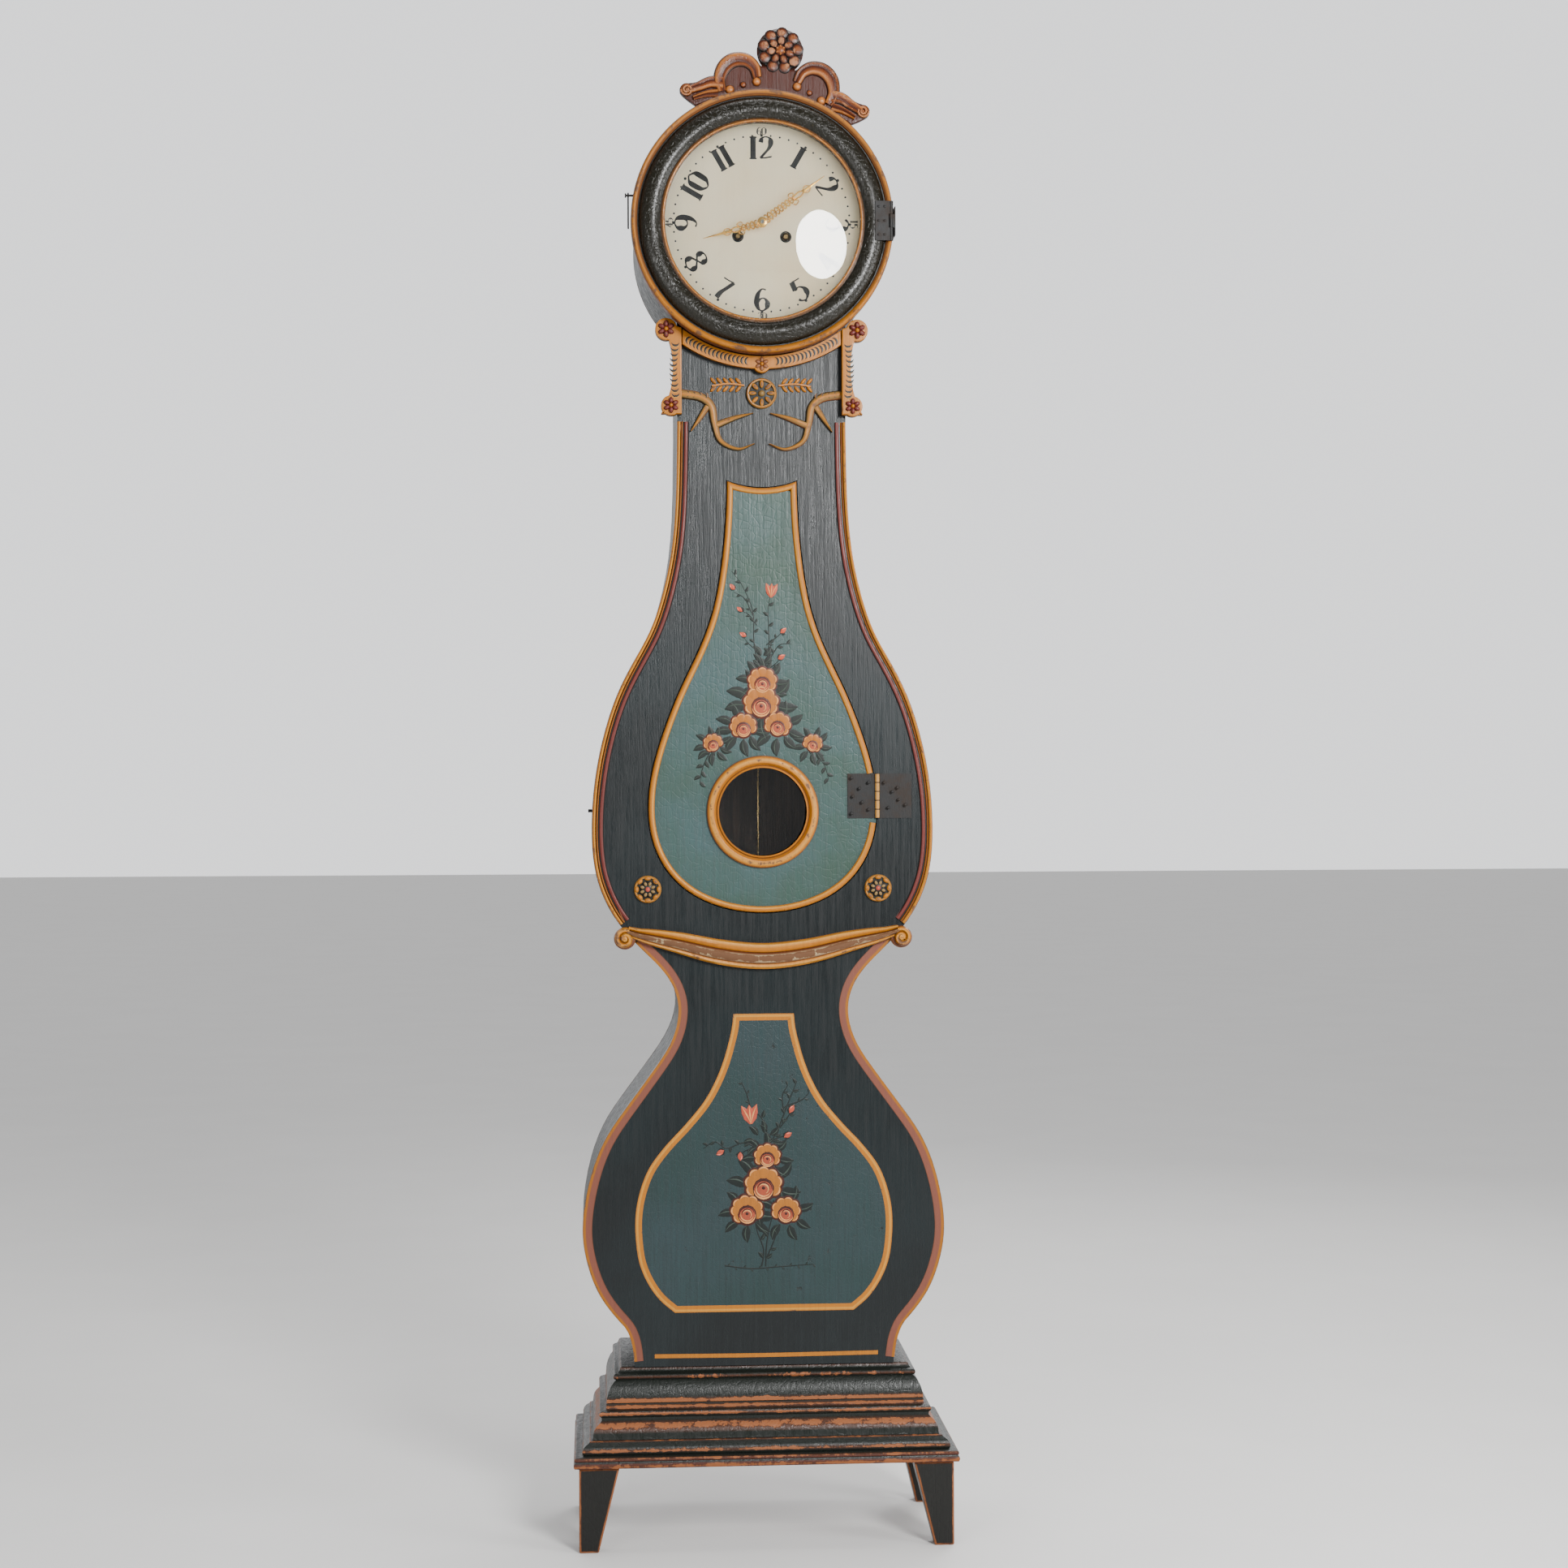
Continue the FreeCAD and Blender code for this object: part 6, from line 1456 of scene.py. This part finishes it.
class CLOCK_OT_crest(bpy.types.Operator):
    """Leaning carved crest"""
    bl_idname = "clock.crest"
    bl_label = "Crest"

    def execute(self, context):
        c = colours()
        # edge and pale are lighter reds laid on crowns and upper flanks as painted highlights; dark at the
        # feet is painted shade.
        red, edge, pale = tuple(c.crest), (0.16, 0.042, 0.009), (0.34, 0.115, 0.022)
        dark = tuple(c.black)
        low, high = node_box("crest")
        y, front = high.y, low.y
        bm = new_mesh()
        half = smooth_line([Vector(p) for p in ((118, 162), (132, 170), (143, 179), (142, 189),
                                                (130, 194), (112, 199), (93, 207), (91, 222), (84, 237),
                                                (70, 247), (52, 250), (36, 243), (26, 233), (0, 236))], 5.0)
        hug = [Vector((197.6 * math.sin(0.1 * k), 197.6 * math.cos(0.1 * k))) for k in range(6)]
        right = hug + half
        loop = [leaned(p.x, p.y) for p in right] + [leaned(-p.x, p.y) for p in reversed(right[1:-1])]
        head = leaned(0.0, 259.0)
        thick = 0.6 * (y - front)
        carved_plate(bm, loop, y, thick, red, red, dark)
        lathe(bm, [(0.001, y), (34.0, y), (35.0, y - 0.3 * thick), (30.0, y - 0.8 * thick),
                   (0.001, y - thick)],
              (head.x, 0.0, head.y), [(dark, 0.1), (dark, 0.2), (red, 0.4), (dark, 0.3), (red, 0.2)],
              steps=48)
        face = y - thick
        rise = face - front
        # Painted light across the strips: edge and pale near the crowns are painted highlights, and dark at
        # the feet is painted shade.
        wide = [(-8.6, 0.0, dark, 0.1), (-8.2, 0.42 * rise, dark, 0.4), (-5.6, 0.72 * rise, edge, 0.5),
                (-3.0, 0.55 * rise, red, 0.3), (-1.4, 0.62 * rise, red, 0.2), (2.4, 0.96 * rise, edge, 0.5),
                (5.0, 0.9 * rise, pale, 0.5), (7.6, 0.55 * rise, red, 0.3), (8.6, 0.0, dark, 0.1)]
        rim = [(-5.0, 0.0, dark, 0.1), (-4.6, 0.5 * rise, edge, 0.5), (-2.6, 0.8 * rise, pale, 0.6),
               (-0.4, 0.5 * rise, red, 0.2), (1.6, 0.75 * rise, red, 0.3), (4.4, 0.55 * rise, edge, 0.5),
               (4.8, 0.0, dark, 0.1)]
        for side in (-1, 1):
            hoop = smooth_line([leaned(side * p, q) for p, q in (
                (80, 187), (86, 205), (81, 224), (68, 236), (50, 238), (36, 229), (30, 214))], 3.0)
            banded(bm, hoop, wide, face, sizes_at=lambda t: 0.85 + 0.5 * math.sin(math.pi * t))
            for k in range(3, len(hoop) - 3):
                way = (hoop[k + 1] - hoop[k - 1]).normalized()
                out = Vector((-way.y, way.x)) * (1.0 if side < 0 else -1.0)
                a, b = hoop[k] + out * 3.0, hoop[k] + out * 9.0
                stroke(bm, [a, a.lerp(b, 0.5), b], (0.5, 1.0, 0.4), face - 0.62 * rise, dark, 0.3)
            arm = smooth_line([leaned(side * p, q) for p,
                               q in ((80, 200), (98, 199), (114, 191), (130, 183))], 3.0)
            banded(bm, arm, wide, face, sizes_at=lambda t: 1.25 - 0.5 * t)
            under = smooth_line([leaned(side * p, q) for p, q in ((86, 184), (104, 180), (122, 172))], 3.0)
            banded(bm, under, rim, face, sizes_at=lambda t: 1.3 - 0.6 * t)
            self.volute(bm, leaned(side * 133.0, 183.0), 10.5, face, rise, red, edge, pale, dark, side)
            # Buttons with painted highlights on their tops and painted shade at their feet.
            for x, up, radius in ((30.5, 208.0, 7.2), (69.0, 191.0, 7.4)):
                domed(bm, leaned(side * x, up), radius, 0.95 * rise, face,
                      ((pale, 0.3), (edge, 0.3), (dark, 0.1)), 20)
            domed(bm, leaned(side * 50.0, 201.0), 5.0, 0.6 * rise, face,
                  ((edge, 0.3), (red, 0.3), (dark, 0.1)), 18)
        # The head's petals and buttons run from dark at their feet, painted shade, to red and edge on top,
        # painted highlight.
        for count, radius, width, length, grow in ((9, 26.0, 19.0, 19.0, 0.45), (7, 14.5, 13.0, 17.0, 0.75)):
            for k in range(count):
                a = 2.0 * math.pi * k / count + CREST_LEAN
                spot = (head.x + radius * math.sin(a), head.y + radius * math.cos(a))
                petal(bm, spot, a, width, length, grow * rise, face,
                      ((dark, 0.1), (dark, 0.3), (red, 0.5), (edge, 0.6)))
        domed(bm, head, 9.0, 0.98 * rise, face, ((edge, 0.4), (red, 0.3), (dark, 0.0)), 24)
        ring_of(bm, 6, 5.6, 3.4, 5.0, rise, head, face, ((dark, 0.1), (red, 0.2), (pale, 0.5)))
        piece("crest_look", bm, "crest_wood", "case", ("crest",))
        return {"FINISHED"}

    def volute(self, bm, spot, radius, face, rise, red, edge, pale, dark, side):
        # The volute: edge on one flank and pale on the other are painted highlights; dark at its feet is
        # painted shade.
        domed(bm, spot, radius, 0.3 * rise, face, ((red, 0.2), (edge, 0.4), (dark, 0.1)), 32)
        turns = []
        for k in range(26):
            a = math.radians(90.0 * side + side * 24.0 * k)
            r = radius * (0.84 - 0.026 * k)
            turns.append(Vector((spot.x + r * math.sin(a), spot.y + r * math.cos(a))))
        banded(bm, turns, [(-2.1, 0.2 * rise, dark, 0.1), (-1.2, 0.75 * rise, edge, 0.5),
                           (1.2, 0.75 * rise, pale, 0.5),
                           (2.1, 0.2 * rise, dark, 0.1)], face)
        domed(bm, spot, 3.2, 0.9 * rise, face, ((edge, 0.5), (edge, 0.3), (dark, 0.1)), 16)


# ---- dial and hands ------------------------------------------------------------------
DIGITS = {
    "0": [((0.5, 1.0), (0.12, 0.82), (0.06, 0.5), (0.14, 0.18), (0.5, 0.0), (0.86, 0.18), (0.94, 0.5),
           (0.88, 0.82), (0.5, 1.0))],
    "1": [((0.24, 0.97), (0.5, 0.99), (0.8, 0.97)), ((0.52, 0.99), (0.52, 0.5), (0.52, 0.0)),
          ((0.24, 0.01), (0.5, 0.0), (0.8, 0.01))],
    "2": [((0.1, 0.74), (0.22, 0.94), (0.5, 1.0), (0.8, 0.92), (0.86, 0.7), (0.7, 0.46), (0.3, 0.18),
           (0.08, 0.02)), ((0.08, 0.03), (0.5, 0.05), (0.94, 0.1))],
    "3": [((0.12, 0.86), (0.4, 1.0), (0.76, 0.94), (0.82, 0.74), (0.62, 0.56), (0.42, 0.54)),
          ((0.42, 0.54), (0.74, 0.5), (0.9, 0.28), (0.72, 0.04), (0.36, 0.0), (0.08, 0.12))],
    "4": [((0.68, 0.0), (0.68, 0.5), (0.68, 1.0)), ((0.68, 1.0), (0.36, 0.62), (0.04, 0.3)),
          ((0.04, 0.3), (0.5, 0.29), (0.98, 0.3))],
    "5": [((0.88, 0.98), (0.56, 0.97), (0.24, 0.98)), ((0.24, 0.98), (0.2, 0.76), (0.16, 0.56)),
          ((0.16, 0.56), (0.5, 0.64), (0.84, 0.48), (0.88, 0.2), (0.6, 0.0), (0.26, 0.02), (0.06, 0.14))],
    "6": [((0.8, 0.94), (0.5, 0.98), (0.2, 0.76), (0.08, 0.36), (0.26, 0.06), (0.56, 0.0), (0.86, 0.14),
           (0.9, 0.38), (0.66, 0.56), (0.36, 0.52), (0.12, 0.34))],
    "7": [((0.06, 0.96), (0.5, 0.95), (0.94, 0.97)), ((0.94, 0.97), (0.64, 0.6), (0.4, 0.3), (0.3, 0.0))],
    "8": [((0.5, 0.54), (0.18, 0.68), (0.2, 0.92), (0.5, 1.0), (0.8, 0.92), (0.82, 0.68), (0.5, 0.54)),
          ((0.5, 0.54), (0.12, 0.36), (0.12, 0.1), (0.5, 0.0), (0.88, 0.1), (0.88, 0.36), (0.5, 0.54))],
    "9": [((0.88, 0.62), (0.66, 0.46), (0.34, 0.44), (0.1, 0.62), (0.14, 0.88), (0.46, 1.0), (0.8, 0.92),
           (0.92, 0.62), (0.8, 0.24), (0.5, 0.02), (0.2, 0.06))],
}


# Shares of a digit's height: its width, a 1's width, the gap and the brush across and down.
DIGIT_WIDTH, ONE_WIDTH, DIGIT_GAP, FINE_PEN, THICK_PEN = 0.6, 0.34, 0.06, 0.06, 0.25


def number(bm, text, spot, height, angle, y, tint):
    """Brush-drawn digits centred on a spot; angle is clockwise in degrees."""
    a = math.radians(angle)
    widths = [ONE_WIDTH if d == "1" else DIGIT_WIDTH for d in text]
    total = sum(widths) + DIGIT_GAP * (len(text) - 1)
    left = -0.5 * total
    for digit, wide in zip(text, widths):
        shift = -0.33 if digit == "1" else 0.0
        for path in DIGITS[digit]:
            points = smooth_line([Vector(p) for p in path], 0.07) if len(path) > 2 else [
                Vector(path[0]).lerp(Vector(path[1]), k / 6.0) for k in range(7)]
            out, pens = [], []
            for i, p in enumerate(points):
                x = (left + (p.x + shift) * DIGIT_WIDTH) * height
                z = (p.y - 0.5) * height
                out.append(Vector((spot[0] + x * math.cos(a) + z * math.sin(a),
                                   spot[1] - x * math.sin(a) + z * math.cos(a))))
                before, beyond = points[max(0, i - 1)], points[min(len(points) - 1, i + 1)]
                upright = abs((beyond - before).normalized().y) if (beyond - before).length > 1e-9 else 1.0
                pens.append((FINE_PEN + (THICK_PEN - FINE_PEN) * upright ** 2.2) * height)
            stroke(bm, out, pens, y, tint, 0.16)
        left += wide + DIGIT_GAP


class CLOCK_OT_dial(bpy.types.Operator):
    """Hour and minute numerals, minute dots and the hands"""
    bl_idname = "clock.dial"
    bl_label = "Dial and hands"

    def execute(self, context):
        ink, grey = (0.012, 0.011, 0.012), (0.1, 0.085, 0.07)
        y = node_box("dial")[0].y - 0.02
        radius, height = sizes().numeral_radius, sizes().numeral_height
        bm = new_mesh()
        for hour in range(1, 13):
            a = math.radians(30.0 * hour)
            spot = (radius * math.sin(a), HOOD_Z + radius * math.cos(a))
            turn = 30.0 * hour if hour not in (4, 5, 6, 7, 8) else 30.0 * hour + 180.0
            number(bm, str(hour), spot, height, turn, y, ink)
        for minute in range(60):
            a = math.radians(6.0 * minute)
            size = 2.2 if minute % 5 == 0 else 1.5
            spot = (MINUTE_TRACK * math.sin(a), HOOD_Z + MINUTE_TRACK * math.cos(a))
            domed(bm, spot, size, 0.18, y, plain(ink), 10)
        for label, angle, turn in (("60", 0, 0), ("15", 90, 90), ("30", 180, 0), ("45", 270, -90)):
            a = math.radians(angle)
            spot = (SMALL_NUMBERS * math.sin(a), HOOD_Z + SMALL_NUMBERS * math.cos(a))
            number(bm, label, spot, 11.0, turn, y, grey)
        piece("dial_figures", bm, "ink", "case")

        self.winding_rims()
        self.hand("minute_hand", "minute", angle=53.2, length=117.0, chain=(4, 0.5))
        self.hand("hour_hand", "hour", angle=254.5, length=93.0, chain=(2, 0.36))
        return {"FINISHED"}

    def winding_rims(self):
        """Worn rims round the winding holes."""
        bm = new_mesh()
        low = node_box("dial")[0]
        brass = ((0.35, 0.24, 0.1), 0.4)
        for side in (-1, 1):
            profile = [(6.5, low.y), (6.7, low.y - 0.5), (8.0, low.y - 0.6), (8.6, low.y - 0.3), (8.7, low.y)]
            lathe(bm, profile, (side * WINDING_X, 0.0, HOOD_Z - WINDING_DROP), [brass] * 5, steps=36)
        piece("winding_rims", bm, "iron", "case", slot="hinge_iron")

    def hand(self, node, body, angle, length, chain):
        """A pierced hand: collar, looped chain, open leaf and a slim point.

        chain holds the number of loops and the share of the length that they take up.
        """
        low, high = node_box(node)
        y, rise = high.y, high.y - low.y
        turn = math.radians(angle)
        along = Vector((math.sin(turn), math.cos(turn)))
        across = Vector((along.y, -along.x))
        centre = Vector((0.0, HOOD_Z))
        brass = tuple(0.8 * v for v in (0.86, 0.6, 0.24))
        bm = new_mesh()

        def wire(points, width):
            line = smooth_line([centre + along * u + across * v for u, v in points], 1.0)
            section = [(-0.5 * width, 0.0, brass, 0.0), (-0.5 * width, 0.6 * rise, brass, 0.0),
                       (-0.25 * width, rise, brass, 0.0), (0.25 * width, rise, brass, 0.0),
                       (0.5 * width, 0.6 * rise, brass, 0.0), (0.5 * width, 0.0, brass, 0.0)]
            banded(bm, line, section, y)

        lathe(bm, [(3.05, y), (3.05, low.y), (6.4, low.y), (7.4, low.y + 0.4 * rise), (7.4, y), (3.05, y)],
              (0.0, 0.0, HOOD_Z), [(brass, 0.0)] * 6, steps=40)
        loops, reach = chain
        start, end = 6.6, reach * length
        for side in (-1.0, 1.0):
            points = []
            for k in range(loops * 4 + 1):
                t = k / (loops * 4)
                points.append((start + (end - start) * t,
                               side * (7.2 - 2.2 * t) * math.sin(math.pi * 0.5 * k + 0.25 * math.pi)))
            wire(points, 2.0)
            wire([(end, side * 2.0), (end + 4.0, side * 7.0), (end - 2.0, side * 9.5),
                  (end - 5.0, side * 6.5)], 1.7)
            wire([(end, side * 2.4), (end + 0.1 * length, side * 3.4),
                  (end + 0.17 * length, side * 0.6)], 2.2)
        mid = end + 0.16 * length
        spine = [centre + along * u for u in (mid - 1.0, 0.5 * (mid + length), length - 0.6)]
        section = [(-2.0, 0.0, brass, 0.0), (-1.5, 0.8 * rise, brass, 0.0), (0.0, rise, brass, 0.0),
                   (1.5, 0.8 * rise, brass, 0.0), (2.0, 0.0, brass, 0.0)]
        banded(bm, smooth_line(spine, 2.0), section, y, sizes_at=lambda t: 1.3 - 1.15 * t)
        for side in (1.0, -1.0):
            wire([(mid - 2.0, 0.0), (mid + 3.0, side * 4.2), (mid + 8.0, side * 4.6),
                  (mid + 12.0, side * 1.2)], 1.6)
        wire([(6.6, 0.0), (0.5 * end, 0.0), (end + 2.0, 0.0)], 1.4)
        wire([(-6.8, 0.0), (-10.0, 2.6), (-13.0, 0.0), (-10.0, -2.6), (-6.8, 0.0)], 1.2)
        closed_faces(bm)
        piece(node + "_look", bm, "hand_brass", body, (node,), smooth=35.0)


# ---- ironwork ------------------------------------------------------------------------
class CLOCK_OT_ironwork(bpy.types.Operator):
    """Hinge nails, hinge knuckles and the lines of the weights"""
    bl_idname = "clock.ironwork"
    bl_label = "Ironwork and lines"

    def execute(self, context):
        iron = (0.03, 0.03, 0.03)
        leaf = node_box("trunk_door_leaf")[0].y
        door = ((134, 1149), (146, 1133), (136, 1121), (150, 1112), (134, 1095), (160, 1142), (160, 1101))
        case = ((184, 1142), (196, 1128), (206, 1116), (216, 1108), (190, 1104), (204, 1134))
        for name, spots, body in (("trunk_door_nails", door, "trunk_door"),
                                  ("trunk_case_nails", case, "case")):
            bm = new_mesh()
            for spot in spots:
                domed(bm, spot, 2.6, 1.3, leaf, plain(iron), 14)
            piece(name, bm, "iron", body, slot="hinge_iron")
        low, high = node_box("trunk_case_leaf")
        fifth = (high.z - low.z) / 5.0
        brass = ((0.3, 0.15, 0.035), 0.3)
        for name, turns, body in (("trunk_case_knuckles", (0, 2, 4), "case"),
                                  ("trunk_door_knuckles", (1, 3), "trunk_door")):
            bm = new_mesh()
            for k in turns:
                foot, top = low.z + fifth * k + 0.4, low.z + fifth * (k + 1) - 0.4
                lathe(bm, [(0.001, foot), (2.9, foot), (3.35, foot + 0.5), (3.35, top - 0.5), (2.9, top),
                           (0.001, top)], (HINGE_X, HINGE_Y, 0.0), [brass] * 6, axis="Z", steps=24)
            piece(name, bm, "tinted_paint", body, slot="hinge_iron")
        leaf = node_box("hood_door_leaf")[0].y
        bm = new_mesh()
        for z in (1961.0, 1982.0, 2003.0):
            for x in (173.0, 182.0):
                domed(bm, (x, z), 1.9, 0.9, leaf, plain(iron), 14)
        piece("hood_hinge_nails", bm, "iron", "hood_door", slot="hinge_iron")

        for node, body in (("going_line", "going_weight_body"), ("strike_line", "strike_weight_body")):
            low, high = node_box(node)
            x, y = 0.5 * (low.x + high.x), 0.5 * (low.y + high.y)
            bm = new_mesh()
            rows = [(0.74, low.z + (high.z - low.z) * k / 40.0) for k in range(41)]
            lathe(bm, rows, (x, y, 0.0), [((0.28, 0.17, 0.08), 0.0)] * len(rows), axis="Z", steps=10)
            bmesh.ops.remove_doubles(bm, verts=bm.verts[:], dist=0.00001)
            closed_faces(bm)
            obj = line_piece(node + "_look", bm, "gut", node)
            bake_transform(obj)
        return {"FINISHED"}


def line_piece(name, bm, material, node):
    """A weight's line, which stretches between the case and its weight."""
    bmesh.ops.recalc_face_normals(bm, faces=bm.faces[:])
    for face in bm.faces:
        face.smooth = True
    obj = finished(name, bm, material)
    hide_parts(node)
    return obj


# ---- panel and run -------------------------------------------------------------------
STEPS = (CLOCK_OT_stage, CLOCK_OT_finishes, CLOCK_OT_plinth, CLOCK_OT_mouldings, CLOCK_OT_upper_flowers,
         CLOCK_OT_lower_flowers, CLOCK_OT_porthole, CLOCK_OT_carvings, CLOCK_OT_hood, CLOCK_OT_crest,
         CLOCK_OT_dial, CLOCK_OT_ironwork)


class CLOCK_PT_panel(bpy.types.Panel):
    """Lists the sizes, the colours and the steps of the clock"""
    bl_label = "Longcase clock"
    bl_idname = "CLOCK_PT_panel"
    bl_space_type = "VIEW_3D"
    bl_region_type = "UI"
    bl_category = "Clock"

    def draw(self, context):
        scene = context.scene
        for settings in (scene.clock_sizes, scene.clock_colours, scene.clock_stage):
            box = self.layout.box()
            for name in settings.__annotations__:
                box.prop(settings, name)
        column = self.layout.column(align=True)
        for step in STEPS:
            column.operator(step.bl_idname)


SETTINGS = (("clock_colours", ClockColours), ("clock_sizes", ClockSizes), ("clock_stage", StageSettings))


def register():
    for name, kind in SETTINGS:
        bpy.utils.register_class(kind)
        setattr(bpy.types.Scene, name, PointerProperty(type=kind))
    for step in STEPS:
        bpy.utils.register_class(step)
    bpy.utils.register_class(CLOCK_PT_panel)


def unregister():
    bpy.utils.unregister_class(CLOCK_PT_panel)
    for step in reversed(STEPS):
        bpy.utils.unregister_class(step)
    for name, kind in reversed(SETTINGS):
        delattr(bpy.types.Scene, name)
        bpy.utils.unregister_class(kind)


def main():
    register()
    for step in STEPS:
        area, name = step.bl_idname.split(".")
        result = getattr(getattr(bpy.ops, area), name)()
        if result != {"FINISHED"}:
            raise RuntimeError(step.bl_idname + " did not finish")


if __name__ == "__main__":
    main()
